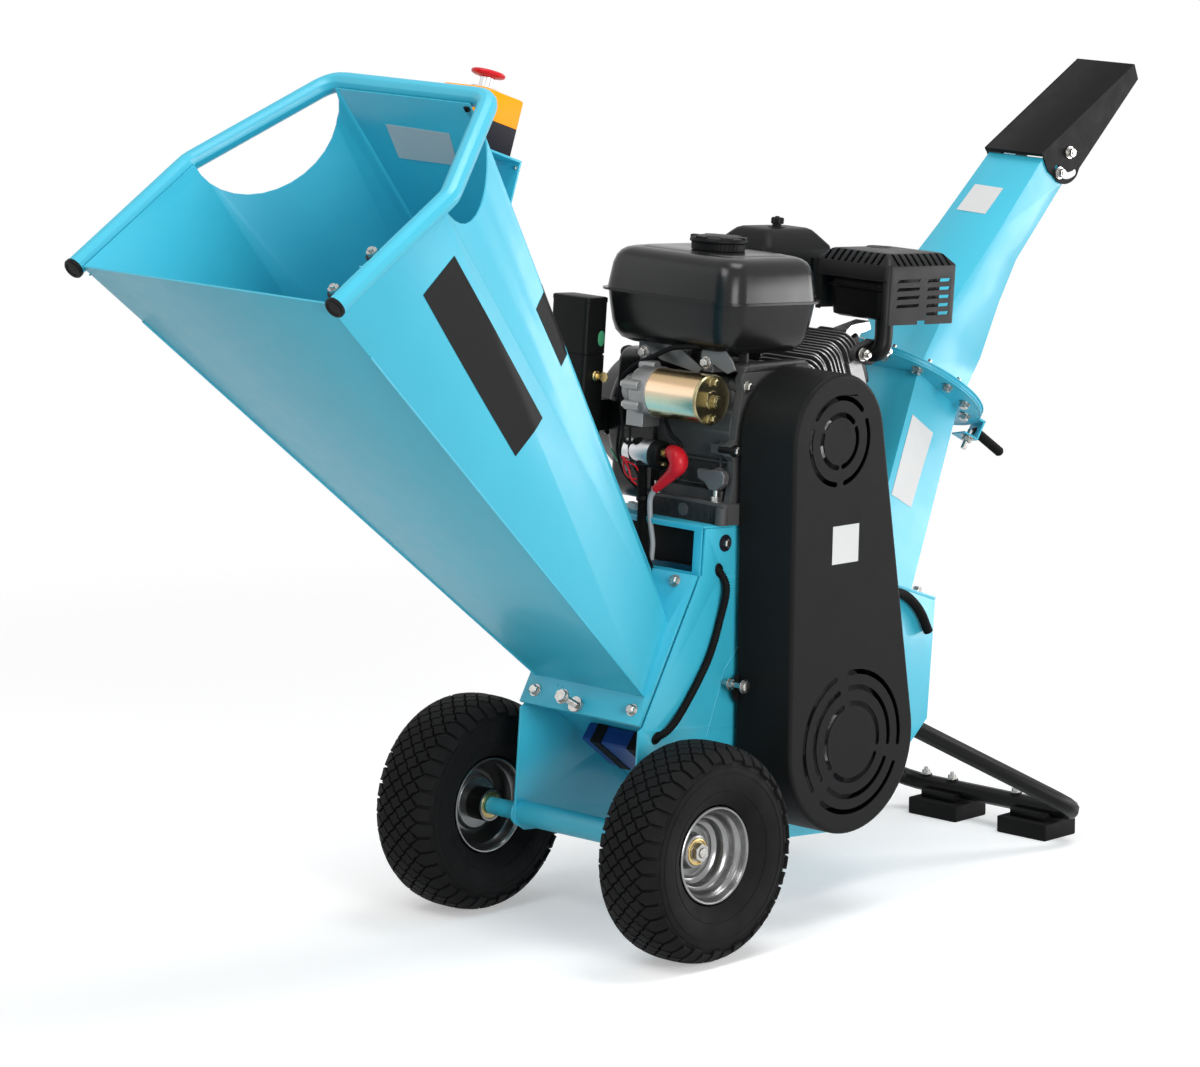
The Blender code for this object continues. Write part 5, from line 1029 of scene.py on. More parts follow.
def muffler_cuts():
    """Louvres in the side, slots along two chamfers, and the open front and rear."""
    cuts = Shape()
    for column, rows in ((0, 4), (1, 5)):
        start = MUFFLER_Y[0] + 0.018 + column * 0.060
        for row in range(rows):
            z = 0.7045 - 0.0108 * row
            slot = [(MUFFLER_X[1] - 0.004, start, z - 0.0052), (MUFFLER_X[1] - 0.004, start + 0.044, z - 0.0042),
                    (MUFFLER_X[1] - 0.004, start + 0.046, z), (MUFFLER_X[1] - 0.004, start + 0.003, z - 0.0008)]
            sheet(cuts, slot, (0.008, 0, 0))
    for i in range(9):
        x = 0.0300 + 0.0112 * i
        cuts.box((x - 0.0025, x + 0.0025), (MUFFLER_Y[0] - 0.003, MUFFLER_Y[0] + 0.017), (0.7262, 0.7312), 0,
                 (math.radians(45), 0, 0))
        y = 0.3860 + 0.0124 * i
        cuts.box((MUFFLER_X[1] - 0.017, MUFFLER_X[1] + 0.003), (y - 0.0025, y + 0.0025), (0.7262, 0.7312), 0,
                 (0, math.radians(45), 0))
    cuts.box((MUFFLER_X[0] + 0.012, MUFFLER_X[1] - 0.009), (MUFFLER_Y[0] - 0.01, MUFFLER_Y[0] + 0.01), (0.640, 0.7000))
    cuts.box((MUFFLER_X[0] + 0.010, MUFFLER_X[1] - 0.010), (MUFFLER_Y[1] - 0.01, MUFFLER_Y[1] + 0.01), (0.640, 0.7120))
    cuts.box((MUFFLER_X[0] - 0.01, MUFFLER_X[1] - 0.040), (0.35, 0.52), (0.640, 0.6560))
    cuts.box((0.10, 0.15), (0.4285, 0.4445), (0.640, 0.6500))
    return cuts


def make_muffler():
    hood = Shape()
    outer = [corner_ring(MUFFLER_X, MUFFLER_Y, *ring) for ring in MUFFLER_RINGS]
    inner = [corner_ring(MUFFLER_X, MUFFLER_Y, z - (MUFFLER_WALL if z > 0.70 else 0), inset + MUFFLER_WALL, radius)
             for z, inset, radius in MUFFLER_RINGS]
    hood.skin(inner[::-1] + outer)
    hood.piece("muffler.hood", "chassis", [SATIN], 0.0003, 38, ["muffler"], "paint_black", muffler_cuts())
    band = Shape()
    band.box((MUFFLER_X[0] + 0.004, MUFFLER_X[1] - 0.002), (MUFFLER_Y[0] - 0.0008, MUFFLER_Y[0] + 0.001), (0.7005, 0.7022))
    dimple = (0.046, 0.452)
    rings = ((0.7363, 0.0165), (0.7374, 0.0155), (0.7374, 0.0135), (0.7362, 0.0115), (0.7360, 0.0030))
    band.skin([lobed_ring(dimple, z, radius) for z, radius in rings])
    band.piece("muffler.band", "chassis", [SATIN], 0.0003, 40, (), "paint_black")
    core = Shape()
    core.skin([corner_ring((0.026, 0.124), (0.376, 0.474), *ring) for ring in (
        (0.6485, 0.010, 0.012), (0.6510, 0.004, 0.014), (0.6860, 0.0, 0.014), (0.6880, -0.003, 0.016),
        (0.6895, -0.003, 0.016), (0.6910, 0.0, 0.014), (0.7200, 0.004, 0.014), (0.7230, 0.010, 0.012))])
    core.rod((0.118, 0.472, 0.655), (0.118, 0.472, 0.712), 0.0150, 0, 28)
    core.piece("muffler.silencer", "chassis", [BLACK], 0, 40, (), "paint_black")
    pipe = Shape()
    route = Course([(0.1045, 0.3825, 0.6065), (0.1140, 0.3832, 0.6075), (0.1190, 0.3850, 0.6140),
                    (0.1200, 0.3868, 0.6260), (0.1190, 0.3875, 0.6500)])
    pipe.sweep(route.even(26), 0.0118, 0, 24)
    pipe.piece("muffler.pipe", "chassis", [BLACK], 0, 40, (), "paint_black")
    flange = Shape()
    middle = Vector((0.1035, 0.3825, 0.6065))
    along = Vector((0, 0.0206, 0.0020))
    ends = [middle + along * side for side in (-1, 1)]
    outline = []
    for side, end in ((1, ends[1]), (-1, ends[0])):
        for i in range(9):
            a = math.radians(-90 + 22.5 * i) + (0 if side > 0 else math.pi)
            outline.append(end + Vector((0, math.cos(a) * 0.0095, math.sin(a) * 0.0095)))
        outline.append(middle + Vector((0, 0.004 * side, 0.0165 * side)))
    sheet(flange, outline, (0.0050, 0, 0))
    for end in ends:
        flange.nut(end + Vector((0.0050, 0, 0)), (1, 0, 0), 0.0125, 0.005, 1)
    sheet(flange, [point * 1.0 - Vector((0.0120, 0, 0)) for point in outline], (0.0118, 0, 0), 2)
    flange.piece("muffler.flange", "chassis", [BLACK, ZINC, CASTING], 0.0005, 38, (), "paint_black")
    shield = Shape()
    sheet(shield, [(0.0775, y, z) for y, z in (
        (0.3560, 0.6215), (0.3625, 0.6330), (0.3700, 0.6392), (0.3820, 0.6410), (0.4060, 0.6428),
        (0.4095, 0.6330), (0.3960, 0.6290), (0.3760, 0.6285), (0.3700, 0.6250))], (0.0012, 0, 0))
    sheet(shield, [(x, 0.3625, 0.6330) for x in (0.0775, 0.0550)] + [(x, 0.4060, 0.6428) for x in (0.0550, 0.0775)],
          (0, -0.0003, 0.0012))
    shield.piece("muffler.shield", "chassis", [STEEL], 0.0003, 38, (), "bright_steel")


FIN_X = (-0.014, 0.094)
FIN_STARTS = [0.0925 + 0.0066 * i for i in range(14)]
FIN_THICKNESS = 0.0020
ROCKER_X = (0.0, 0.080)
ROCKER_RINGS = (
    (0.1800, 0.0000, 0.010), (0.1840, 0.0000, 0.010), (0.1842, 0.0040, 0.009), (0.2050, 0.0050, 0.009),
    (0.2100, 0.0090, 0.009), (0.2120, 0.0150, 0.008),
)


def barrel_ring(x, half, along, inset, radius, steps=8):
    """A rounded rectangle square to the cylinder's axis, in the cylinder's own frame."""
    return [(px, along, pz) for px, pz, _ in corner_ring(x, (-half, half), 0, inset, radius, steps)][::-1]


def make_cylinder():
    barrel = Shape(BARREL)
    barrel.skin([barrel_ring((0.0, 0.080), 0.040, along, 0, 0.020) for along in (0.0760, 0.1830)])
    barrel.skin([barrel_ring(ROCKER_X, 0.044, *ring) for ring in ROCKER_RINGS], 2)
    for x in (0.008, 0.072):
        for across in (-0.036, 0.036):
            barrel.bolt((x, 0.1840, across), (0, 1, 0), 0.0095, 0.0065, 3)
    barrel.box((0.070, 0.0955), (0.1560, 0.1790), (-0.030, 0.018), 4)
    barrel.rod((0.0700, 0.1660, -0.0365), (0.1000, 0.1660, -0.0365), 0.0085, 4, 24)
    barrel.rod((0.1000, 0.1660, -0.0365), (0.1006, 0.1660, -0.0365), 0.0045, 0, 20)
    barrel.bolt((0.0700, 0.1500, -0.0460), (1, 0, 0), 0.0090, 0.0060, 3)
    barrel.rod((0.0, 0.1500, 0.010), (-0.0200, 0.1500, 0.010), 0.0070, 3, 6)
    barrel.piece("cylinder_head.block", "chassis", [CASTING, BARE_CASTING, BLACK, ZINC, BARE_CASTING], 0.0004, 38,
                 ["cylinder_head"], "cast_aluminium")
    fins = Shape(BARREL)
    for number, start in enumerate(FIN_STARTS):
        half = 0.050 if number > 2 else 0.043 + 0.002 * number
        grown = (FIN_X[0], FIN_X[1] - (0.004 if number % 5 == 4 else 0.0))
        fins.skin([barrel_ring(grown, half, along, 0, 0.019) for along in (start, start + FIN_THICKNESS)])
    for face in fins.bm.faces:
        if len(face.verts) == 4 and abs(face.normal.y) < 0.5:
            face.material_index = 1
    fins.piece("cylinder_head.fins", "chassis", [CASTING, BARE_CASTING], 0, 38, (), "cast_aluminium")


COVER_OUTLINE = (
    (0.1500, 0.5965), (0.1405, 0.5882), (0.1350, 0.5790), (0.1385, 0.5620), (0.1352, 0.5450), (0.1325, 0.5200),
    (0.1310, 0.5020), (0.1228, 0.4950), (0.1222, 0.4805), (0.1305, 0.4745), (0.1325, 0.4550), (0.1292, 0.4300),
    (0.1262, 0.4100), (0.1240, 0.3940), (0.3000, 0.3940), (0.3050, 0.4700), (0.3020, 0.5300), (0.2850, 0.5750),
    (0.2550, 0.6000),
)
COVER_BOLTS = ((0.1461, 0.5689), (0.1310, 0.4878), (0.1508, 0.3987))


def make_crankcase():
    case = Shape()
    x, y, z = (-0.0320, 0.0935), (CASE_FRONT, 0.2930), (ENGINE_BASE_TOP - 0.002, 0.5700)
    case.skin([corner_ring(x, y, height, inset, 0.010) for height, inset in (
        (z[0], 0.0), (0.5600, 0.0), (0.5700, 0.003), (0.5760, 0.010), (0.5775, 0.020))])
    case.rod((x[0], *CRANK_AXIS), (x[1], *CRANK_AXIS), 0.0858, 0, 64)
    for height, tilt in ((0.4990, 0.0), (0.4705, 0.0), (0.4390, 0.0)):
        case.box((0.010, 0.0935), (CASE_FRONT - 0.0035, CASE_FRONT + 0.004), (height - 0.0016, height + 0.0016), 0,
                 (0, tilt, 0))
    for edge in (0.0040, 0.0760):
        case.box((edge - 0.0016, edge + 0.0016), (CASE_FRONT - 0.0030, CASE_FRONT + 0.004), (0.4390, 0.4990))
    case.box((-0.0300, 0.0880), (CASE_FRONT - 0.010, CASE_FRONT + 0.004), (ENGINE_BASE_TOP - 0.001, 0.4345))
    case.piece("crankcase.case", "chassis", [CASTING], 0.0012, 38, (), "cast_aluminium")
    base = Shape()
    base.skin([corner_ring((-0.0300, 0.1120), (0.1100, 0.3000), *ring) for ring in (
        (0.3939, 0.0, 0.006), (0.4180, 0.0, 0.006), (0.4205, 0.0025, 0.005))])
    base.rod((0.0412, 0.1105, 0.4065), (0.0412, 0.1088, 0.4065), 0.0085, 0, 40)
    base.rod((0.0412, 0.1090, 0.4065), (0.0412, 0.1083, 0.4065), 0.0068, 0, 40)
    base.rod((0.1060, 0.1120, 0.3939), (0.1060, 0.1120, 0.4160), 0.0080, 0, 24)
    for spot in ((0.0840, 0.1225), (-0.0180, 0.1225), (0.0840, 0.2880), (-0.0180, 0.2880)):
        base.nut((*spot, 0.4203), (0, 0, 1), 0.0120, 0.0080, 1)
    base.piece("crankcase.base", "chassis", [CASTING, ZINC], 0.0010, 38, (), "cast_aluminium")
    cover = Shape()
    sheet(cover, [(COVER_X[0], y, z) for y, z in COVER_OUTLINE], (COVER_X[1] - COVER_X[0], 0, 0))
    cover.box((0.0700, COVER_X[1]), (0.1400, 0.2600), (0.5880, 0.5960), 0, (math.radians(1.5), 0, 0))
    for y, z in COVER_BOLTS:
        cover.rod((COVER_X[0] - 0.012, y, z), (COVER_X[1] + 0.0014, y, z), 0.0092, 0, 28)
        cover.bolt((COVER_X[1] + 0.0014, y, z), (1, 0, 0), 0.0105, 0.0068, 1)
    cover.box((0.0700, 0.0935), (0.1225, 0.1400), (0.4815, 0.4940))
    cover.rod((0.0840, 0.1290, 0.4878), (COVER_X[1] + 0.0030, 0.1290, 0.4878), 0.0078, 2, 24)
    cover.piece("crankcase.cover", "chassis", [CASTING, ZINC, BLACK], 0.0010, 38, (), "cast_aluminium")
    plug = Shape()
    plug.rod((0.0769, CASE_FRONT, 0.4496), (0.0769, 0.1320, 0.4496), 0.0135, 0, 36)
    plug.rod((0.0769, 0.1320, 0.4496), (0.0769, 0.1265, 0.4496), 0.0125, 0, 36, tip=0.0095)
    sheet(plug, [(0.0769 + x, 0.1170, 0.4496 + z) for x, z in (
        (-0.0235, 0.0085), (-0.0200, 0.0112), (-0.0060, 0.0100), (0.0060, 0.0125), (0.0190, 0.0120), (0.0240, 0.0060),
        (0.0230, -0.0050), (0.0120, -0.0140), (0.0000, -0.0150), (-0.0090, -0.0060), (-0.0210, -0.0020))], (0, 0.0110, 0))
    plug.piece("crankcase.plug", "chassis", [GREY_PART], 0.0016, 38, (), "cast_aluminium")
    stays = Shape()
    first = [(-0.0616, 0.6230), (-0.0427, 0.6203), (-0.0083, 0.6118), (0.0089, 0.6090), (0.0502, 0.5871), (0.0420, 0.5800),
             (0.0200, 0.5840), (-0.0186, 0.5897), (-0.0330, 0.5941), (-0.0616, 0.6009)]
    second = [(0.0502, 0.6235), (0.0674, 0.6246), (0.0726, 0.6240), (0.0880, 0.6130), (0.1001, 0.6020), (0.1060, 0.5908),
              (0.0932, 0.5850), (0.0708, 0.5936), (0.0468, 0.6009)]
    for outline in (first, second):
        sheet(stays, [(x, 0.1195, z) for x, z in outline], (0, 0.0028, 0))
    sheet(stays, [(-0.0616, 0.1195, 0.6230), (-0.0427, 0.1195, 0.6203), (-0.0427, 0.2000, 0.6203), (-0.0616, 0.2000, 0.6230)],
          (0, 0, 0.0024))
    sheet(stays, [(0.0502, 0.1195, 0.6235), (0.0726, 0.1195, 0.6240), (0.0726, 0.2000, 0.6240), (0.0502, 0.2000, 0.6235)],
          (0, 0, 0.0024))
    for x, z in ((-0.0513, 0.5975), (0.0571, 0.5957)):
        stays.rod((x, 0.1300, z), (x, 0.1188, z), 0.0100, 0, 28)
        stays.bolt((x, 0.1188, z), (0, -1, 0), 0.0110, 0.0072, 1)
        stays.box((x - 0.009, x + 0.009), (0.1220, 0.1500), (z - 0.012, z + 0.004))
    stays.piece("crankcase.stays", "chassis", [GREY_PART, ZINC], 0.0006, 38, (), "cast_aluminium")


STARTER_Y = 0.0985
STARTER_Z = 0.5520


def make_starter():
    axis = Vector((0, STARTER_Y, STARTER_Z))
    motor = Shape()
    motor.turned(axis, (1, 0, 0), ((0.0, 0.000), (0.0318, 0.000), (0.0320, 0.0030), (0.0320, 0.0850), (0.0, 0.0850)), 0, 96)
    motor.turned(axis, (1, 0, 0), (
        (0.0, 0.0850), (0.0326, 0.0850), (0.0328, 0.0880), (0.0312, 0.0900), (0.0300, 0.0896), (0.0120, 0.0902),
        (0.0115, 0.0915), (0.0, 0.0915)), 1, 96)
    motor.rod(axis + Vector((0.090, 0, -0.002)), axis + Vector((0.1010, 0, -0.002)), 0.0086, 1, 36)
    motor.rod(axis + Vector((0.1005, 0, -0.002)), axis + Vector((0.1018, 0, -0.002)), 0.0060, 1, 36)
    motor.box((0.089, 0.096), (STARTER_Y - 0.016, STARTER_Y - 0.008), (STARTER_Z - 0.002, STARTER_Z + 0.010), 1)
    for z in (0.0225, -0.0235):
        motor.bolt(axis + Vector((0.0898, 0, z)), (1, 0, 0), 0.0088, 0.0075, 1)
        motor.box((0.0880, 0.0908), (STARTER_Y - 0.0075, STARTER_Y + 0.0075),
                  (STARTER_Z + z - 0.0050, STARTER_Z + z + 0.0050), 1)
    motor.piece("starter_motor.can", "chassis", [IRIDESCENT, GOLD], 0.0004, 38, ["starter_motor"], "yellow_zinc")
    housing = Shape()
    housing.turned(axis, (1, 0, 0), (
        (0.0, -0.0520), (0.0170, -0.0520), (0.0190, -0.0500), (0.0200, -0.0360), (0.0270, -0.0330), (0.0310, -0.0290),
        (0.0330, -0.0240), (0.0330, 0.0020), (0.0, 0.0020)), 0, 64)
    housing.box((-0.0330, -0.0060), (STARTER_Y + 0.010, 0.1390), (STARTER_Z - 0.030, STARTER_Z + 0.020))
    housing.box((-0.0420, -0.0130), (STARTER_Y - 0.016, STARTER_Y + 0.016), (STARTER_Z - 0.0460, STARTER_Z - 0.026))
    for y, z in ((-0.026, -0.0180), (0.0, 0.0320), (-0.030, 0.0080)):
        housing.rod(axis + Vector((-0.034, y, z)), axis + Vector((-0.008, y, z)), 0.0070, 0, 20)
        housing.bolt(axis + Vector((-0.034, y, z)), (-1, 0, 0), 0.0085, 0.0060, 1)
    housing.piece("starter_motor.housing", "chassis", [BARE_CASTING, ZINC], 0.0010, 38, (), "cast_aluminium")
    relay = Shape()
    along = Vector((1, 0, 0))
    start = Vector((-0.0440, 0.0965, 0.4722))
    relay.turned(start, along, ((0.0, 0.0), (0.0165, 0.0), (0.0180, 0.0012), (0.0182, 0.0440), (0.0176, 0.0452), (0.0, 0.0452)), 0, 64)
    relay.turned(start, along, ((0.0, 0.0452), (0.0186, 0.0452), (0.0190, 0.0470), (0.0186, 0.0560), (0.0165, 0.0590),
                                (0.0, 0.0590)), 1, 64)
    relay.rod(start + Vector((0.058, -0.004, 0.004)), start + Vector((0.068, -0.004, 0.004)), 0.0036, 2, 16)
    relay.rod(start + Vector((0.060, -0.004, 0.004)), start + Vector((0.0640, -0.004, 0.004)), 0.0062, 2, 6)
    relay.rod(start + Vector((0.058, -0.004, -0.010)), start + Vector((0.066, -0.004, -0.010)), 0.0030, 2, 16)
    relay.box((-0.0400, 0.0), (0.098, CASE_FRONT + 0.002), (0.4640, 0.4800), 3)
    relay.piece("starter_motor.relay", "chassis", [STEEL, PLASTIC, BRASS, GREY_PART], 0.0004, 38, (), "bright_steel")


def strand(shape, points, radius, material, fineness=3, sides=10):
    course = Course(points)
    shape.sweep(course.even(fineness * len(points) + 8), radius, material, sides)


def make_wiring():
    wires = Shape()
    boot = Course([(0.0300, 0.0905, 0.4805), (0.0430, 0.0890, 0.4760), (0.0480, 0.0885, 0.4660), (0.0400, 0.0880, 0.4540),
                   (0.0260, 0.0870, 0.4410), (0.0130, 0.0855, 0.4290)])
    radii = []
    for i in range(30):
        t = i / 29
        radii.append(0.0085 + 0.0040 * math.sin(math.pi * min(1, t * 1.9)) - 0.0035 * max(0.0, t - 0.5) * 2)
    wires.sweep(boot.even(30), radii, 0, 20)
    strand(wires, [(0.0150, 0.0858, 0.4305), (0.0100, 0.0850, 0.4240), (0.0066, 0.0845, 0.4149), (0.0099, 0.0835, 0.3896),
                   (0.0185, 0.0810, 0.3625), (0.0200, 0.0790, 0.3400)], 0.0036, 1)
    strand(wires, [(0.0096, 0.1000, 0.5173), (0.0249, 0.0960, 0.5012), (0.0400, 0.0950, 0.4931), (0.0440, 0.0940, 0.4860),
                   (0.0300, 0.0925, 0.4795)], 0.0030, 2)
    strand(wires, [(0.0500, 0.1150, 0.6150), (0.0088, 0.1080, 0.6094), (-0.0144, 0.0990, 0.5966), (-0.0346, 0.0960, 0.5867),
                   (-0.0528, 0.0950, 0.5743), (-0.0642, 0.0960, 0.5600), (-0.0560, 0.0900, 0.5200)], 0.0034, 2)
    for points in (
        [(-0.0430, 0.0800, 0.4652), (-0.0320, 0.0790, 0.4601), (-0.0176, 0.0800, 0.4554), (-0.0116, 0.0820, 0.4459)],
        [(-0.0430, 0.0820, 0.4700), (-0.0360, 0.0790, 0.4480), (-0.0250, 0.0790, 0.4391), (-0.0140, 0.0830, 0.4400)],
        [(-0.0380, 0.0790, 0.4620), (-0.0270, 0.0770, 0.4520), (-0.0217, 0.0780, 0.4380), (-0.0120, 0.0830, 0.4300)],
    ):
        strand(wires, points, 0.0012, 0)
    strand(wires, [(-0.0766, 0.0950, 0.4711), (-0.0689, 0.0930, 0.4643), (-0.0600, 0.0920, 0.4569), (-0.0400, 0.0860, 0.4560)],
           0.0013, 3)
    for points in (
        [(-0.0620, 0.0960, 0.5400), (-0.0500, 0.0850, 0.5100), (-0.0400, 0.0800, 0.4850), (-0.0247, 0.0840, 0.4854)],
        [(-0.0580, 0.0900, 0.5250), (-0.0460, 0.0820, 0.4950), (-0.0480, 0.0820, 0.4700), (-0.0300, 0.0830, 0.4500)],
        [(-0.0520, 0.0920, 0.5350), (-0.0350, 0.0840, 0.5000), (-0.0300, 0.0800, 0.4700), (-0.0150, 0.0830, 0.4450)],
        [(-0.0640, 0.0950, 0.5000), (-0.0560, 0.0850, 0.4700), (-0.0400, 0.0820, 0.4450), (-0.0150, 0.0850, 0.4250)],
    ):
        strand(wires, points, 0.0018, 2)
    wires.piece("wiring.leads", "chassis", [RED, GREY_LEAD, RUBBER, GREEN], 0, 50, (), "rubber")
    loom = Shape()
    course = Course([(-0.0247, 0.0880, 0.4900), (-0.0150, 0.0870, 0.4660), (-0.0109, 0.0860, 0.4460), (-0.0043, 0.0830, 0.4005),
                     (0.0041, 0.0760, 0.3758), (0.0150, 0.0700, 0.3480), (0.0300, 0.0750, 0.3150)])
    count = 170
    radii = [0.0070 if i % 2 else 0.0058 for i in range(count)]
    loom.sweep(course.even(count), radii, 0, 16)
    for at, long in ((0.030, 0.006), (0.075, 0.005)):
        loom.sweep([course.at(at)[0], course.at(at + long)[0]], 0.0079, 0, 16)
    loom.piece("wiring.loom", "chassis", [RUBBER], 0, 50, (), "rubber")
    plugs = Shape()
    plugs.box((-0.0400, -0.0270), (0.0930, 0.1030), (0.3980, 0.4060), 0, (0, 0.2, 0))
    plugs.box((-0.0500, -0.0380), (0.0860, 0.0940), (0.4480, 0.4580), 0, (0, 0.4, 0.2))
    plugs.piece("wiring.plugs", "chassis", [LABEL], 0.0006, 38, (), "black_plastic")


def make_control():
    box = Shape()
    box.skin([corner_ring((-0.1640, -0.1000), (0.0600, 0.1000), *ring) for ring in (
        (0.4850, 0.0020, 0.005), (0.4870, 0.0, 0.006), (0.5880, 0.0, 0.006), (0.5885, 0.0012, 0.006),
        (0.5900, 0.0012, 0.006), (0.5905, 0.0, 0.006), (0.6560, 0.0, 0.006), (0.6565, -0.0005, 0.006),
        (0.6620, -0.0005, 0.006), (0.6630, 0.0010, 0.006))])
    box.box((-0.1520, -0.1120), (0.0960, 0.1300), (0.4890, 0.5290))
    box.piece("control_box.case", "chassis", [PLASTIC], 0.0005, 38, ["control_box"], "black_plastic")
    trim = Shape()
    trim.skin([[Vector((x, 0.0890 + r * 0.0060 * math.cos(a), 0.6100 + r * 0.0100 * math.sin(a)))
                for a in (math.tau * i / 32 for i in range(32))] for x, r in ((-0.1002, 1.0), (-0.0994, 1.0), (-0.0990, 0.85))], 0)
    trim.box((-0.1002, -0.0996), (0.0640, 0.0660), (0.5950, 0.6500), 1)
    trim.piece("control_box.oval", "chassis", [GREEN, PLASTIC], 0, 38, (), "black_plastic")
    key = Shape()
    spot = Vector((-0.0997, 0.0820, 0.5620))
    key.turned(spot, (1, 0, 0), (
        (0.0, 0.0), (0.0070, 0.0), (0.0070, 0.0020), (0.0056, 0.0034), (0.0056, 0.0060), (0.0034, 0.0066), (0.0, 0.0066)), 0, 40)
    key.box((spot.x + 0.004, spot.x + 0.0120), (spot.y - 0.0009, spot.y + 0.0009), (spot.z - 0.0030, spot.z + 0.0030), 0)
    ring = [spot + Vector((0.0155 + 0.0066 * math.cos(a), 0, 0.0066 * math.sin(a))) for a in (math.tau * i / 32 for i in range(32))]
    key.skin([[point + Vector((0, side * 0.0009, 0)) for point in ring] for side in (-1, 1)], 0)
    key.piece("starter_key.bow", "starter_key", [BRASS], 0.0003, 38, ["starter_key"], "brass")


# Hopper

MOUTH_FOOT = (-0.7037, 0.7038)
MOUTH_SLOPE = math.radians(35.5)
TUBE_RADIUS = 0.0127
TUBE_HALF_WIDTH = 0.2253
STOP_TOP = (-0.2530, 0.9335)
STOP_LEAN = math.radians(15.0)
STOP_HALF = 0.036
# Corners of the stripe, the plate and the inner label, as shares (across, down) of their walls
STRIPE = ((0.554, 0.114), (0.890, 0.104), (0.861, 0.466), (0.450, 0.468))
NAME_PLATE = ((0.960, 0.353), (0.975, 0.477), (0.530, 0.465), (0.562, 0.344))
INNER_LABEL = ((0.756, 0.063), (0.255, 0.067), (0.300, 0.133), (0.800, 0.132))
LIP_X = (0.172, 0.2085)
LIP_DROP = 0.016
PATCH_REACH = 0.03
PATCH_LIFT = (0.0002, 0.0006)


def mouth_at(x, along, out=0.0):
    """A point in the hopper's mouth plane, or so far in front of it."""
    y = MOUTH_FOOT[0] + along * math.cos(MOUTH_SLOPE) - out * math.sin(MOUTH_SLOPE)
    z = MOUTH_FOOT[1] + along * math.sin(MOUTH_SLOPE) + out * math.cos(MOUTH_SLOPE)
    return Vector((x, y, z))


MOUTH_OUT = Vector((0, -math.sin(MOUTH_SLOPE), math.cos(MOUTH_SLOPE)))


def hopper_corners():
    """The middle of the sheet at the hopper's eight corners, at its throat and at its mouth."""
    half = ((0.0950, 0.0380), (0.0886, 0.1357), (0.0340, 0.1945), (0.0290, 0.1995))
    low = [flange_at(x, along, 0.002) for x, along in half]
    low += [flange_at(-x, along, 0.002) for x, along in half[::-1]]
    half = ((0.2113, 0.0), (0.2113, 0.2106), (0.1315, 0.3742), (0.1123, 0.3851))
    high = [mouth_at(x, along, 0.0015) for x, along in half]
    high += [mouth_at(-x, along, 0.0015) for x, along in half[::-1]]
    return low, high


def on_face(face, across, down, out):
    """A point on a wall given by two top and two foot corners, and so far outside it."""
    top = face[0].lerp(face[1], across)
    foot = face[2].lerp(face[3], across)
    normal = (face[1] - face[0]).cross(foot - top).normalized()
    return top.lerp(foot, down) + normal * out


def patch(shape, node, face, corners, side, material=0, steps=16):
    """A thin plate laid on a wall of a node, its corners given as shares of the wall."""
    surface = surface_of(node)
    a, b, c, d = (Vector(corner) for corner in corners)
    rows = []
    for i in range(steps + 1):
        row = []
        for k in range(steps + 1):
            share = a.lerp(b, i / steps).lerp(d.lerp(c, i / steps), k / steps)
            start, aim = on_face(face, *share, side * PATCH_REACH), on_face(face, *share, 0)
            place, normal = surface.ray_cast(start, (aim - start).normalized())[:2]
            out = (start - aim).normalized()
            row.append((place, out))
        rows.append(row)
    sheet_of(shape, rows, material)


def sheet_of(shape, rows, material):
    """A closed thin sheet over a grid of points and outward directions."""
    lift = PATCH_LIFT
    made = [[[shape.bm.verts.new(place + out * height) for place, out in row] for row in rows] for height in lift]
    last = len(rows) - 1
    for level, grid in enumerate(made):
        for i in range(last):
            for k in range(last):
                quad = (grid[i][k], grid[i + 1][k], grid[i + 1][k + 1], grid[i][k + 1])
                shape.bm.faces.new(quad if level else quad[::-1]).material_index = material
    edge = [(i, 0) for i in range(last)] + [(last, k) for k in range(last)]
    edge += [(i, last) for i in range(last, 0, -1)] + [(0, k) for k in range(last, 0, -1)]
    low, high = made
    for (i, k), (m, n) in zip(edge, [*edge[1:], edge[0]]):
        shape.bm.faces.new((low[i][k], low[m][n], high[m][n], high[i][k])).material_index = material


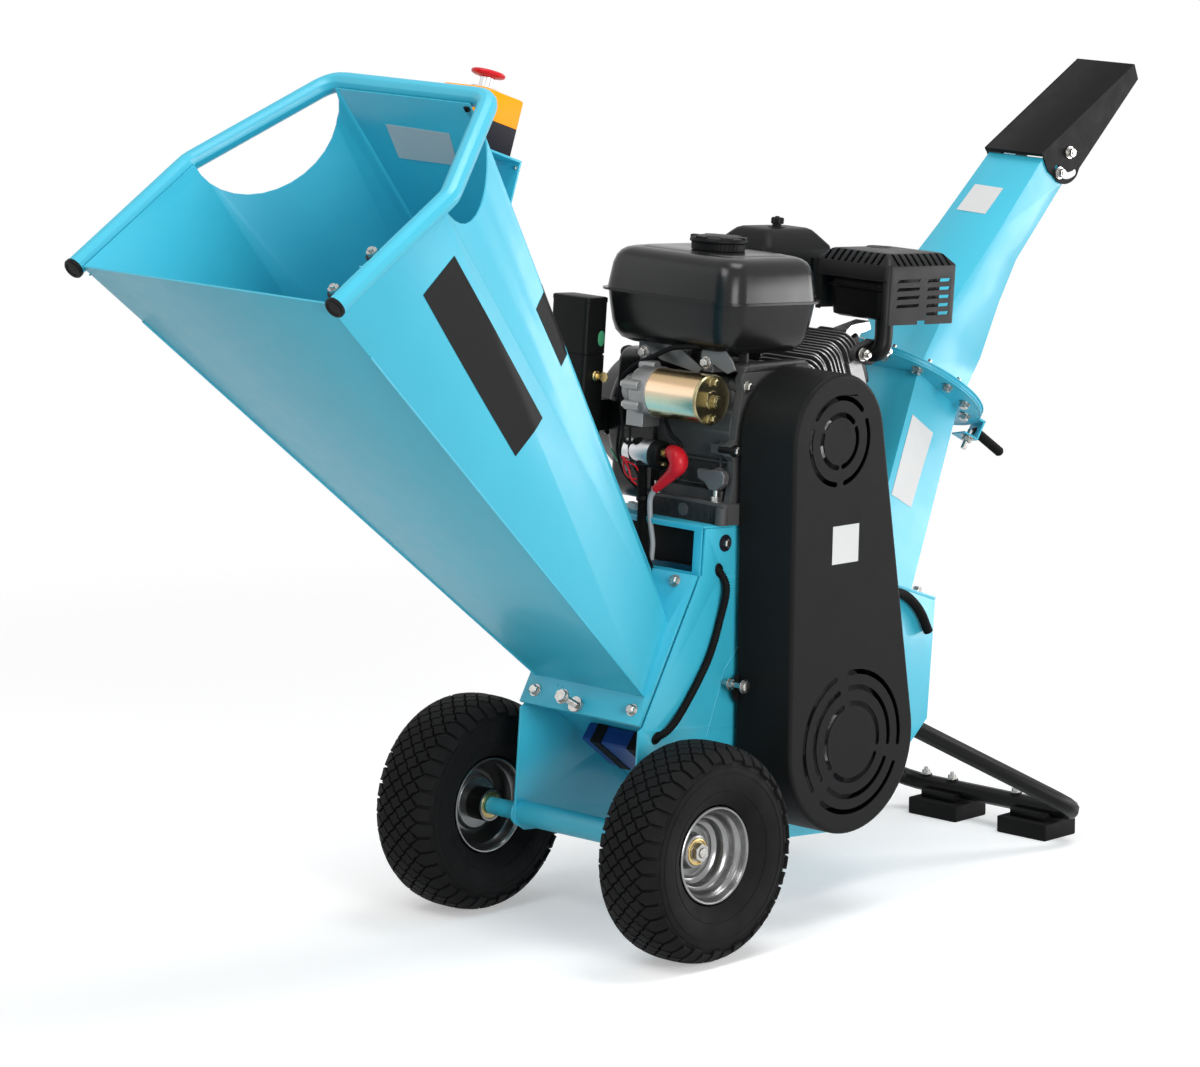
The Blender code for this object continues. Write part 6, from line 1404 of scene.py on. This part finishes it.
def make_hopper_trim():
    low, high = hopper_corners()
    walls = [(high[i], high[k], low[i], low[k]) for i, k in ((0, 1), (1, 2), (3, 4), (7, 0))]
    marks = Shape()
    patch(marks, "hopper_shell", walls[0], STRIPE, -1)
    patch(marks, "hopper_shell", walls[1], NAME_PLATE, -1)
    patch(marks, "hopper_shell", walls[2], INNER_LABEL, 1, 1)
    marks.piece("hopper.labels", "chassis", [BLACK, LABEL], 0, 50, (), "black_plastic")
    lips = Shape()
    seams = []
    outline = [(LIP_X[0], 0.014, LIP_DROP), (LIP_X[1], 0.003, 0.0), (LIP_X[1], 0.203, 0.0), (LIP_X[0], 0.186, LIP_DROP)]
    lips.skin([[mouth_at(x, along, out - drop) for x, along, drop in outline] for out in (-0.0065, -0.0045)])
    for sign in (-1, 1):
        lips.sweep([mouth_at(sign * (TUBE_HALF_WIDTH - 0.0139), along, -0.0135) for along in (0.004, 0.200)], 0.0012, 0, 8)
        for i in (0, 3) if sign > 0 else (7, 4):
            seams.append([high[i].lerp(low[i], t / 8) for t in range(1, 9)])
    for run in seams:
        lips.sweep(run, 0.0014, 0, 10)
    for x, along in ((0.196, 0.190), (0.192, 0.080)):
        lips.ball(mouth_at(x, along, -0.0075), 0.0032, 0, (1, 1, 0.5))
    lips.piece("hopper.lips", "chassis", [PAINT], 0, 45, (), "paint_blue")
    bolts = Shape()
    for along in (0.034, 0.106):
        place = mouth_at(0.188, along, -0.0120)
        bolts.rod(place, place + MOUTH_OUT * 0.0034, 0.0098, 1, 28)
        bolts.rod(place + MOUTH_OUT * 0.0034, place + MOUTH_OUT * 0.0090, 0.0076, 0, 6)
        bolts.rod(place, place + MOUTH_OUT * 0.0124, 0.0040, 0, 14)
    # A short black stub near the rear corner of the mouth: painted shade standing for a small hole
    place = mouth_at(0.1065, 0.3830, -0.0090)
    bolts.rod(place, place + MOUTH_OUT * 0.006, 0.0040, 1, 16)
    bolts.piece("hopper.bolts_and_hole_shade", "chassis", [ZINC, BLACK], 0.0002, 38, (), "bright_steel")


def make_lock_bolt():
    """A long hexagon bolt with a thread, and a collar and a nut against the flange."""
    def at(out):
        return flange_at(-0.0050, 0.0090, FLANGE_PLATE + 0.0003 + out)

    shape = Shape()
    shape.rod(at(0.0320), at(0.0338), 0.0098, 0, 28)
    shape.rod(at(0.0338), at(0.0390), 0.0085, 0, 6)
    shape.rod(at(0.0005), at(0.0058), 0.0092, 0, 6)
    shape.rod(at(0.0058), at(0.0078), 0.0104, 0, 28)
    turns = 24
    run = [at(0.0005 + 0.0320 * i / (turns * 2)) for i in range(turns * 2 + 1)]
    shape.sweep(run, [0.0046 if i % 2 else 0.0039 for i in range(turns * 2 + 1)], 0, 14)
    shape.piece("lock_bolt.thread", "chassis", [ZINC], 0.0002, 38, ["lock_bolt"], "bright_steel")


def make_tube_caps():
    for side, sign in (("left", -1), ("right", 1)):
        cap = Shape()
        down = (mouth_at(0, 0) - mouth_at(0, 1)).normalized()
        cap.turned(mouth_at(sign * TUBE_HALF_WIDTH, -0.0003), down, (
            (0, 0), (TUBE_RADIUS + 0.0005, 0), (TUBE_RADIUS + 0.0005, 0.0040), (TUBE_RADIUS - 0.0010, 0.0058),
            (TUBE_RADIUS - 0.0035, 0.0058), (TUBE_RADIUS - 0.0040, 0.0048), (0, 0.0052)), 0, 40)
        cap.piece("tube_cap_%s.lid" % side, "chassis", [PLASTIC], 0, 32, ["tube_cap_" + side], "black_plastic")


def make_stop():
    """A switch in two colours with a mushroom head on a bright stem."""
    place = LEAN @ Matrix.Translation((0, *STOP_TOP)) @ Matrix.Rotation(-STOP_LEAN, 4, "X")
    x, y = (-STOP_HALF, STOP_HALF), (-0.037, 0.037)
    for name, slot, material, rings in (
        ("cover", "yellow_plastic", YELLOW, ((-0.0360, 0.0, 0.004), (-0.0025, 0.0, 0.004), (-0.0008, 0.0009, 0.004), (0.0, 0.0026, 0.004))),
        ("base", "black_plastic", DARK_BASE_AND_HOLE_SHADE, ((-0.0720, 0.0026, 0.004), (-0.0710, 0.0004, 0.004), (-0.0700, 0.0, 0.004), (-0.0363, 0.0, 0.004))),
    ):
        case = Shape(place)
        case.skin([corner_ring(x, y, z, inset, radius, 5) for z, inset, radius in rings])
        if name == "cover":
            hole = Shape(place)
            hole.rod((0, 0, -0.0300), (0, 0, 0.0100), 0.0086)
        else:
            hole = None
        case.piece("stop_%s.case" % name, "chassis", [material], 0, 38, ["stop_" + name], slot, hole)
    ring = Shape(place)
    ring.turned((0, 0, 0), (0, 0, 1), ((0.0090, 0.0), (0.0175, 0.0), (0.0175, 0.0040), (0.0168, 0.0048), (0.0090, 0.0048)), 0)
    for a in (0.0, 1.57, 3.14, 4.71):
        spot = (0.0285 * math.cos(a + 0.785), 0.0285 * math.sin(a + 0.785))
        ring.rod((*spot, 0.0), (*spot, 0.0006), 0.0036, 1, 20)
    ring.piece("stop_cover.collar", "chassis", [LABEL, GREY_PART], 0, 38, (), "yellow_plastic")
    head = Shape(place)
    head.turned((0, 0, 0), (0, 0, 1), (
        (0.0, -0.0130), (0.0078, -0.0130), (0.0078, 0.0170), (0.0135, 0.0188), (0.0188, 0.0196), (0.0208, 0.0208),
        (0.0215, 0.0226), (0.0211, 0.0244), (0.0190, 0.0257), (0.0130, 0.0263), (0.0, 0.0265)), 0)
    head.turned((0, 0, 0), (0, 0, 1), ((0.0079, 0.0052), (0.0084, 0.0052), (0.0084, 0.0172), (0.0079, 0.0172)), 1, 48)
    head.piece("stop_button.head", "stop_button", [RED, STEEL], 0, 32, ["stop_button"], "red_plastic")
    screws = Shape(place)
    for x in (-0.036, 0.036):
        screws.nut((x, 0.0430, -0.0900), (0, 1, 0), 0.0075, 0.0030)
        screws.bolt((x, -0.020, -0.0754), (0, 0, -1), 0.0070, 0.0050)
    screws.bolt((0.0440, 0.0400, -0.0820), (1, 0, 0), 0.0050, 0.0030, washer=False)
    screws.piece("stop_bracket.screws", "chassis", [ZINC], 0.0002, 38, (), "bright_steel")


# Discharge chute

DISC_CENTRE = (0.5742, 0.5501)
DISC_LEAN = math.radians(30.0)
DISC_RADIUS = 0.112
DISC_BOLTS = 0.0935
HINGE = (0.8277, 0.8583)
HANDLE_ANGLE = math.radians(68)
HIGH_LABEL = ((0.150, 0.440), (0.656, 0.452), (0.628, 0.808), (0.134, 0.795))
LOW_LABEL = ((0.115, 0.196), (0.632, 0.208), (0.579, 0.600), (0.120, 0.589))
HOOD_HALF = 0.0502
HOOD_SHEET = 0.002
HOOD_LIP = 0.0047


def disc_frame(turn=0.0):
    tilt = Matrix.Rotation(-DISC_LEAN, 4, "X") @ Matrix.Rotation(turn, 4, "Z")
    return LEAN @ Matrix.Translation((0, *DISC_CENTRE)) @ tilt


def make_chute_trim():
    """Clamp bolts under the swivel and studs above it, the discs' raised rims, and the labels."""
    low, high = Shape(disc_frame()), Shape(disc_frame())
    for i in range(12):
        a = math.radians(30 * i + 19)
        x, y = DISC_BOLTS * math.cos(a), DISC_BOLTS * math.sin(a)
        low.rod((x, y, -0.0043), (x, y, -0.0060), 0.0082, 0, 24)
        low.bolt((x, y, -0.0060), (0, 0, -1), 0.0110, 0.0066, washer=False)
        x, y = (DISC_BOLTS + 0.004) * math.cos(a + 0.10), (DISC_BOLTS + 0.004) * math.sin(a + 0.10)
        high.rod((x, y, 0.0043), (x, y, 0.0068), 0.0052, 0, 20, tip=0.0044)
        high.rod((x, y, 0.0068), (x, y, 0.0130), 0.0034, 0, 16, tip=0.0030)
    rim = ((DISC_RADIUS - 0.0010, 0), (DISC_RADIUS + 0.0013, 0), (DISC_RADIUS + 0.0013, 0.0016), (DISC_RADIUS - 0.0010, 0.0016))
    low.turned((0, 0, -0.0047), (0, 0, 1), rim, 1, 96)
    low.turned((0, 0, -0.0020), (0, 0, 1), rim, 1, 96)
    high.turned((0, 0, 0.0032), (0, 0, 1), rim, 1, 96)
    low.piece("lower_chute.bolts", "chassis", [ZINC, PAINT], 0.0002, 38, (), "bright_steel")
    high.piece("upper_chute.studs", "chute_top", [ZINC, PAINT], 0.0002, 38, (), "bright_steel")
    foot_front = (0.4030, 0.3108)
    front, rear = (leaning(DISC_CENTRE, DISC_LEAN, 0, along, -0.0023) for along in (-0.050, 0.050))
    face = [Vector((0.062, *front.yz)), Vector((0.062, *rear.yz))]
    face += [Vector((0.0995, *foot_front)), Vector((0.0995, 0.5000, 0.2848))]
    label = Shape()
    patch(label, "lower_chute", face, LOW_LABEL, -1)
    label.piece("lower_chute.label", "chassis", [LABEL], 0, 50, (), "paint_blue")
    face = [Vector((sign * half, *place)) for half, place in ((0.047, (0.7771, 0.8514)), (0.053, (0.6875, 0.7549)))
            for sign in (-1, 1)]
    label = Shape()
    patch(label, "upper_chute", face, HIGH_LABEL, -1)
    label.piece("upper_chute.label", "chute_top", [LABEL], 0, 50, (), "paint_blue")


def make_handle():
    """A folded bracket under the swivel with a clamping stud, and a ribbed grip."""
    arm = Shape(disc_frame(HANDLE_ANGLE))
    rim = DISC_RADIUS + 0.0006
    arm.box((rim - 0.0250, rim + 0.0150), (-0.0170, 0.0170), (0.0046, 0.0070), 0)
    arm.box((rim + 0.0126, rim + 0.0150), (-0.0170, 0.0170), (-0.0200, 0.0070), 0)
    arm.box((rim - 0.0080, rim + 0.0150), (-0.0170, 0.0170), (-0.0216, -0.0192), 0)
    arm.rod((rim + 0.0040, -0.008, -0.0390), (rim + 0.0040, -0.008, -0.0110), 0.0038, 1, 16)
    arm.bolt((rim + 0.0040, -0.008, -0.0216), (0, 0, -1), 0.0120, 0.0075, 1)
    arm.bolt((rim - 0.0120, 0.0, 0.0070), (0, 0, 1), 0.0110, 0.0070, 1)
    arm.piece("chute_handle.bracket", "chute_top", [PAINT, ZINC], 0.0005, 38, (), "paint_blue")
    grip = Shape(disc_frame(HANDLE_ANGLE))
    start, end = Vector((rim + 0.0120, 0, -0.0060)), Vector((rim + 0.0640, 0, -0.0140))
    points, radii = [], []
    for i in range(41):
        points.append(start.lerp(end, i / 40))
        radii.append(0.0068 if i % 2 else 0.0062)
    grip.sweep(points, radii[:-3] + [0.0060, 0.0050, 0.0036], 0, 20)
    grip.piece("chute_handle.grip", "chute_top", [RUBBER], 0, 40, ["chute_handle"], "black_plastic")


def make_deflector():
    """A hood of thin sheet with rounded folds, its lobes slotted for the adjusting bolts."""
    def at(y, z):
        return (HINGE[0] + y, HINGE[1] + z)

    root, tip, lip = at(-0.0565, -0.0003), at(0.1287, 0.1207), at(0.1387, 0.1003)
    lobe = [(-0.0472, -0.0161), (-0.0400, -0.0258)]
    lobe += [(y - 0.0050, z - 0.0085) for y, z in arc((0, 0), 0.0338, 222, 318, 14)]
    outline = [root, *(at(*point) for point in lobe), at(0.0250, -0.0205), lip, tip]
    middle = 0.0308
    slot = arc(HINGE, middle + 0.0047, 222, 300, 14) + arc(at(0.0154, -0.0267), 0.0047, -60, 120, 6)[1:-1]
    slot += arc(HINGE, middle - 0.0047, 300, 222, 14) + arc(at(-0.0229, -0.0206), 0.0047, 42, 222, 6)[1:-1]
    pin = circle(HINGE, 0.0043, 24)
    for sign in (-1, 1):
        x = sorted((sign * (HOOD_HALF - HOOD_SHEET), sign * HOOD_HALF))
        replaced = ["deflector"] if sign > 0 else []
        plate("deflector.side%d" % sign, outline, x, "deflector", [HOOD], [slot, pin], 0.0003, replaced)
    run = (Vector(tip) - Vector(root)).normalized()
    down = Vector((run.y, -run.x))
    hood = Shape()
    top = []
    for x, drop in ((HOOD_HALF, 0.0030), (HOOD_HALF - 0.0007, 0.0009), (HOOD_HALF - 0.0028, 0.0)):
        top.append((x, drop))
    ring = top + [(-x, drop) for x, drop in top[::-1]]
    ring += [(-x * 0.96, drop + HOOD_SHEET) for x, drop in top] + [(x * 0.96, drop + HOOD_SHEET) for x, drop in top[::-1]]
    hood.skin([[Vector((x, *(Vector(end) + down * drop))) for x, drop in ring] for end in (root, tip)])
    hood.skin([[Vector((x, *place)) for place in (tip, lip, tuple(Vector(lip) - run * 0.002), tuple(Vector(tip) - run * 0.002))]
               for x in (-HOOD_HALF + 0.0004, HOOD_HALF - 0.0004)])
    inward = (Vector(at(*lobe[0])) - Vector(root)).normalized() * HOOD_LIP
    outward = run * -0.0014
    start = Vector(root)
    edge = [start, start + inward, start + inward + outward, start + outward]
    hood.skin([[Vector((x, *place)) for place in edge] for x in (-HOOD_HALF + 0.0004, HOOD_HALF - 0.0004)])
    hood.piece("deflector.hood", "deflector", [HOOD], 0, 40, (), "paint_black")
    for name, body, spot in (("pivot", "deflector", at(0.0004, 0.0007)), ("lock", "chute_top", at(-0.0182, -0.0268))):
        bolts = Shape()
        for sign in (-1, 1):
            out = Vector((sign, 0, 0))
            place = Vector((sign * (HOOD_HALF + 0.0003), *spot))
            bolts.rod(place - out * 0.0030, place, 0.0036, 0, 16)
            bolts.rod(place, place + out * 0.0014, 0.0086, 0, 28)
            bolts.nut(place + out * 0.0014, out, 0.0105, 0.0014)
        bolts.piece("deflector." + name, body, [ZINC], 0.0002, 38, (), "bright_steel")


# Leg and feet

FOOT_X = 0.0795
FOOT_Y = 0.8140


def make_leg_trim():
    bolts = Shape(GROUND)
    for x in (-0.118, -0.071, 0.043, 0.105):
        bolts.rod((x, FOOT_Y, 0.0400), (x, FOOT_Y, 0.0506), 0.0110, 1, 28)
        bolts.nut((x, FOOT_Y, 0.0500), (0, 0, 1), 0.0115, 0.0050)
    bolts.piece("leg_frame.nuts", "chassis", [ZINC, BLACK], 0.0003, 38, (), "bright_steel")
    for side, sign in (("left", -1), ("right", 1)):
        pad = Shape(GROUND)
        x = (sign * FOOT_X - 0.0428, sign * FOOT_X + 0.0428)
        y = (FOOT_Y - 0.0331, FOOT_Y + 0.0331)
        pad.skin([corner_ring(x, y, *ring) for ring in (
            (0.0, 0.0030, 0.003), (0.0020, 0.0010, 0.004), (0.0180, 0.0, 0.004), (0.0215, 0.0, 0.004), (0.0230, 0.0018, 0.004))])
        pad.piece("foot_%s.pad" % side, "chassis", [RUBBER], 0.0003, 38, ["foot_" + side], "rubber")


# Conduit and hose

CONDUIT_WAY = (
    (0.0935, 0.1092, 0.3477), (0.1035, 0.1130, 0.3385), (0.1136, 0.1210, 0.3150), (0.1114, 0.1154, 0.2733),
    (0.1112, 0.0975, 0.2231), (0.1112, 0.0613, 0.1692), (0.1134, 0.0310, 0.1400), (0.1035, 0.0145, 0.1265),
    (0.0910, 0.0048, 0.1185),
)
HOSE_WAY = ((0.1165, 0.4400, 0.2920), (0.1125, 0.4760, 0.2830), (0.1125, 0.5050, 0.2620), (0.1125, 0.5260, 0.2330))
HOSE_RIBS = 34


def make_conduit():
    """Each rib is a square ridge between two grooves."""
    tube = Shape()
    course = Course(CONDUIT_WAY)
    ribs = 86
    pitch = course.length / ribs
    points, radii = [], []
    for i in range(ribs):
        for share, radius in ((0.02, 0.0041), (0.30, 0.0041), (0.36, 0.0050), (0.94, 0.0050)):
            points.append(course.at(pitch * (i + share))[0])
            radii.append(radius)
    tube.sweep(points, radii, 0, 20)
    tube.piece("wiring_conduit.ribs", "chassis", [CONDUIT], 0, 40, ["wiring_conduit"], "rubber")
    edges = Shape()
    for place, way in (((0.1035, 0.1130, 0.3385), (0.70, 0.27, -0.66)), ((0.1035, 0.0145, 0.1265), (0.70, 0.55, 0.46))):
        tangent = Vector(way).normalized()
        ring = []
        for i in range(33):
            a = math.tau * i / 32
            side = tangent.orthogonal().normalized()
            other = tangent.cross(side)
            spot = Vector(place) + (side * math.cos(a) + other * math.sin(a)) * 0.0062
            spot += tangent * ((0.1056 - spot.x) / tangent.x)
            ring.append(spot)
        edges.sweep(ring, 0.0011, 0, 8)
    edges.piece("wiring_conduit.grommets", "chassis", [RUBBER], 0, 50, (), "rubber")
    hose = Shape()
    course = Course(HOSE_WAY)
    points, radii = [], []
    for i in range(HOSE_RIBS):
        for share, radius in ((0.05, 0.0056), (0.35, 0.0056), (0.45, 0.0065), (0.95, 0.0065)):
            points.append(course.at(course.length * (i + share) / HOSE_RIBS)[0])
            radii.append(radius)
    hose.sweep(points, radii, 0, 20)
    hose.piece("rear_hose.ribs", "chassis", [CONDUIT], 0, 40, ["rear_hose"], "rubber")


# Leg and feet

FOOT_X = 0.0795
FOOT_Y = 0.8140


def make_leg_trim():
    bolts = Shape(GROUND)
    for x in (-0.118, -0.071, 0.043):
        bolts.rod((x, FOOT_Y, 0.0470), (x, FOOT_Y, 0.0512), 0.0085, 1, 28)
        bolts.nut((x, FOOT_Y, 0.0510), (0, 0, 1), 0.0100, 0.0040)
    bolts.piece("leg_frame.nuts", "chassis", [ZINC, BLACK], 0.0002, 38, (), "bright_steel")
    for side, sign in (("left", -1), ("right", 1)):
        pad = Shape(GROUND)
        x = (sign * FOOT_X - 0.0428, sign * FOOT_X + 0.0428)
        y = (FOOT_Y - 0.0331, FOOT_Y + 0.0331)
        rings = ((0.0, 0.0012), (0.0010, 0.0003), (0.0022, 0.0), (0.0212, 0.0), (0.0224, 0.0004), (0.0230, 0.0014))
        pad.skin([corner_ring(x, y, z, inset, 0.0025, 5) for z, inset in rings])
        pad.piece("foot_%s.pad" % side, "chassis", [RUBBER], 0, 38, ["foot_" + side], "rubber")


# Conduit and hose

CONDUIT_WAY = (
    (0.0937, 0.1092, 0.3477), (0.1035, 0.1130, 0.3385), (0.1136, 0.1210, 0.3150), (0.1114, 0.1154, 0.2733),
    (0.1112, 0.0975, 0.2231), (0.1112, 0.0613, 0.1692), (0.1134, 0.0310, 0.1400), (0.1035, 0.0145, 0.1265),
    (0.0937, 0.0068, 0.1201),
)
HOSE_WAY = ((0.1165, 0.4400, 0.2920), (0.1125, 0.4760, 0.2830), (0.1125, 0.5050, 0.2620), (0.1125, 0.5260, 0.2330))
WALL_OUT = 0.1058


def ribbed(name, way, ribs, full, groove, replaced):
    """A tube of square ridges, each with a narrow groove after it."""
    shape = Shape()
    course = Course([Vector(point) for point in way])
    pitch = course.length / ribs
    points, radii = [], []
    for i in range(ribs):
        for share, radius in ((0.04, groove), (0.26, groove), (0.36, full), (0.94, full)):
            points.append(course.at(pitch * (i + share))[0])
            radii.append(radius)
    shape.sweep(points, radii, 0, 18)
    shape.piece(name, "chassis", [RUBBER], 0, 40, [replaced], "rubber")


def make_conduit():
    ribbed("wiring_conduit.ribs", CONDUIT_WAY, 84, 0.0050, 0.0040, "wiring_conduit")
    ribbed("rear_hose.ribs", HOSE_WAY, 34, 0.0065, 0.0055, "rear_hose")
    edges = Shape()
    for place, way in (((0.1035, 0.1130, 0.3385), (0.70, 0.27, -0.66)), ((0.1035, 0.0145, 0.1265), (0.70, 0.55, 0.46))):
        along = Vector(way).normalized()
        side = along.orthogonal().normalized()
        ring = []
        for i in range(33):
            a = math.tau * i / 32
            spot = Vector(place) + (side * math.cos(a) + along.cross(side) * math.sin(a)) * 0.0058
            ring.append(spot + along * ((WALL_OUT - spot.x) / along.x))
        edges.sweep(ring, 0.0012, 0, 8)
    edges.piece("wiring_conduit.grommets", "chassis", [RUBBER], 0, 50, (), "rubber")


# Pull starter and small engine parts

FAN_EDGE_X = -0.0303
FAN_FACE_X = -0.118
RECOIL_X = -0.156
FAN_RADIUS = 0.094
SKIRT_Y = (0.1240, 0.3090)
SKIRT_Z = (0.4060, 0.6000)


def make_fan():
    """Housing and stepped cover of the pull starter, with its slots, screw bosses and screws."""
    base = (0, *CRANK_AXIS)
    body = Shape()
    body.turned(base, (-1, 0, 0), (
        (0.0, 0.0310), (FAN_RADIUS - 0.0020, 0.0310), (FAN_RADIUS, 0.0330), (FAN_RADIUS, 0.1090), (FAN_RADIUS - 0.0030, 0.1150),
        (FAN_RADIUS - 0.0080, 0.1180), (FAN_RADIUS - 0.0120, 0.1185), (FAN_RADIUS - 0.0140, 0.1230), (FAN_RADIUS - 0.0150, 0.1450),
        (FAN_RADIUS - 0.0200, 0.1530), (FAN_RADIUS - 0.0270, 0.1556), (0.0560, 0.1558), (0.0540, 0.1535), (0.0180, 0.1535),
        (0.0165, 0.1558), (0.0, 0.1558)), 0, 96)
    body.box((-0.106, -0.0363), (CRANK_AXIS[0] + 0.03, CRANK_AXIS[0] + 0.110), (CRANK_AXIS[1] - 0.02, CRANK_AXIS[1] + 0.085))
    rings = []
    for x, inset in ((-0.0310, 0.0), (-0.0950, 0.0), (-0.1010, 0.0016), (-0.1050, 0.0060)):
        ring = corner_ring(SKIRT_Y, SKIRT_Z, 0, inset, 0.022, 6)
        rings.append([Vector((x, point[0], point[1])) for point in ring])
    body.skin(rings)
    for i in range(6):
        a = math.radians(60 * i + 12)
        spot = (CRANK_AXIS[0] + 0.0885 * math.cos(a), CRANK_AXIS[1] + 0.0885 * math.sin(a))
        body.rod((-0.116, *spot), (-0.1195, *spot), 0.0078, 0, 28)
    slots = Shape()
    for i in range(20):
        a = math.tau * i / 20
        middle = (CRANK_AXIS[0] + 0.0365 * math.cos(a), CRANK_AXIS[1] + 0.0365 * math.sin(a))
        slots.box((-0.1600, -0.1500), (middle[0] - 0.0130, middle[0] + 0.0130), (middle[1] - 0.0019, middle[1] + 0.0019), 0,
                  (a + 0.35, 0, 0))
    body.piece("fan_housing.case", "chassis", [GLOSS], 0, 34, ["fan_housing"], "paint_black", slots)
    bolts = Shape()
    for i in range(6):
        a = math.radians(60 * i + 12)
        spot = (CRANK_AXIS[0] + 0.0885 * math.cos(a), CRANK_AXIS[1] + 0.0885 * math.sin(a))
        bolts.bolt((-0.1195, *spot), (-1, 0, 0), 0.0090, 0.0055)
    for y, z in ((0.262, 0.5600), (0.2960, 0.5600)):
        bolts.bolt((-0.1062, y + 0.012, z + 0.018), (-1, 0, 0), 0.0090, 0.0055)
    bolts.piece("fan_housing.bolts", "chassis", [ZINC], 0.0002, 38, (), "bright_steel")


def make_grip():
    """A waisted bar on a short neck, moulded with finger grooves."""
    axis = Vector((-0.80, 0.20, 0.566)).normalized()
    outlet = Vector((RECOIL_X, 0.2475, 0.5625))
    place = outlet + axis * 0.027
    across = (Vector((0, 1, 0)) - axis * axis.y).normalized()
    grip = Shape()
    points, radii = [], []
    for i in range(29):
        t = i / 14 - 1
        points.append(place + across * (0.0345 * t) - axis * (0.0030 * t * t))
        radii.append((0.0093 - 0.0018 * (1 - abs(t)) ** 2 + 0.0003 * math.cos(t * 18)) * min(1.0, math.sqrt(max(0.02, 1 - abs(t) ** 14))))
    grip.sweep(points, radii, 0, 24)
    grip.rod(outlet + axis * 0.0060, place, 0.0050, 0, 20, tip=0.0072)
    grip.piece("starter_grip.bar", "starter_grip", [PLASTIC], 0, 40, ["starter_grip"], "black_plastic")
    collar = Shape()
    collar.rod(outlet + Vector((0.001, 0, 0)), outlet + Vector((-0.0012, 0, 0)), 0.0100, 0, 28)
    collar.piece("fan_housing.eyelet", "chassis", [ZINC], 0.0003, 38, (), "bright_steel")


def make_carburettor():
    """A body with a bowl, a flange, a screw and the intake bend up to the cleaner."""
    y, z = barrel_place(0.168)
    shape = Shape()
    shape.box((-0.0720, -0.0680), (y - 0.0215, y + 0.0215), (z - 0.0215, z + 0.0215), 0)
    shape.rod((-0.0680, y, z), (-0.0200, y, z), 0.0190, 0, 40)
    shape.box((-0.0190, -0.0145), (y - 0.0215, y + 0.0215), (z - 0.0180, z + 0.0180), 1)
    shape.rod((-0.0440, y, z - 0.0220), (-0.0440, y, z), 0.0165, 0, 40, tip=0.0185)
    shape.rod((-0.0440, y, z - 0.0220), (-0.0440, y, z - 0.0190), 0.0060, 2, 6)
    shape.box((-0.0715, -0.0325), (y - 0.0175, y + 0.0175), (z, 0.6635), 1)
    for sign in (-1, 1):
        shape.nut((-0.0720, y, z + sign * 0.0155), (-1, 0, 0), 0.0090, 0.0030, 2)
    shape.sweep([(-0.056, y + 0.0180, z + 0.004), (-0.056, y + 0.0215, z + 0.006), (-0.064, y + 0.0215, z + 0.014)], 0.0014, 2, 8)
    shape.piece("carburettor.body", "chassis", [BARE_CASTING, PLASTIC, BRASS], 0.0006, 38, ["carburettor"], "cast_aluminium")


def barrel_place(along):
    lean = math.radians(25)
    return CRANK_AXIS[0] + along * math.cos(lean), CRANK_AXIS[1] + along * math.sin(lean)


def make_throttle():
    """A stamped lever with a rounded tip and a small plastic knob."""
    x, y = -0.092, 0.308
    top = CRANK_AXIS[1] + 0.085 + 0.0003
    outline = arc((x, y), 0.0045, 180, 360, 10) + arc((x, y + 0.0480), 0.0042, 0, 180, 10)
    lever = Shape()
    lever.skin([[Vector((*point, z)) for point in outline] for z in (top, top + 0.0030)])
    lever.rod((x, y, top + 0.0030), (x, y, top + 0.0046), 0.0042, 0, 20)
    lever.turned((x, y + 0.0500, top), (0, 0, 1), (
        (0, 0), (0.0050, 0), (0.0044, 0.0050), (0.0068, 0.0085), (0.0068, 0.0118), (0.0045, 0.0139), (0, 0.0140)), 1, 28)
    lever.piece("throttle_lever.arm", "throttle_lever", [STEEL, PLASTIC], 0.0003, 38, ["throttle_lever"], "bright_steel")


def make_dipstick():
    """A ribbed plug with a flat grip on its end."""
    place = Matrix.Translation((0.062, 0.3003, DECK_TOP + 0.016)) @ Matrix.Rotation(-math.pi / 2, 4, "X")
    cap = Shape(LEAN @ place)
    rings = ((0.0, 0.0088), (0.0006, 0.0098), (0.0075, 0.0098), (0.0090, 0.0086))
    cap.skin([lobed_ring((0.0, 0.0), s, r, 12, 0.0007, 96) for s, r in rings])
    cap.box((-0.0018, 0.0018), (-0.0085, 0.0085), (0.0085, 0.0178))
    cap.piece("oil_dipstick.plug", "oil_dipstick", [PLASTIC], 0.0003, 38, ["oil_dipstick"], "black_plastic")


# Drum, pulleys and knives

def make_drive():
    """Hubs on the grooved pulleys' faces, and dark discs painted as the shade in their lightening holes, seen through
    the guard's slots.
    """
    for node, axis, radius, hub, body in (
        ("drum_pulley", DRUM_AXIS, 0.090, 0.030, "rotor"), ("clutch_pulley", CRANK_AXIS, 0.055, 0.026, "clutch"),
    ):
        low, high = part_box(node)
        spin = Shape()
        x = (low.x, high.x)
        spin.turned((0, *axis), (1, 0, 0), ((0.0100, x[1] + 0.0004), (hub, x[1] + 0.0004), (hub, x[1] - 0.0004), (0.0100, x[1] - 0.0004)), 0)
        # Each lightening hole is a dark disc standing on the face: painted shade in place of a hole
        for i in range(5):
            a = math.tau * i / 5
            spot = (axis[0] + radius * 0.62 * math.cos(a), axis[1] + radius * 0.62 * math.sin(a))
            spin.rod((x[1] - 0.0002, *spot), (x[1] + 0.0006, *spot), radius * 0.16, 1, 28)
        spin.piece(node + ".face", body, [STEEL, DARK_BASE_AND_HOLE_SHADE], 0, 38, (), "bright_steel")


make_camera()
make_stage()
make_lights()
dress_solids()
make_wheels()
make_axle()
make_chassis_trim()
make_battery()
make_guard()
make_tank()
make_air_cleaner()
make_muffler()
make_cylinder()
make_crankcase()
make_starter()
make_wiring()
make_control()
make_hopper_trim()
make_lock_bolt()
make_tube_caps()
make_stop()
make_chute_trim()
make_handle()
make_deflector()
make_leg_trim()
make_conduit()
make_fan()
make_grip()
make_carburettor()
make_throttle()
make_dipstick()
make_drive()
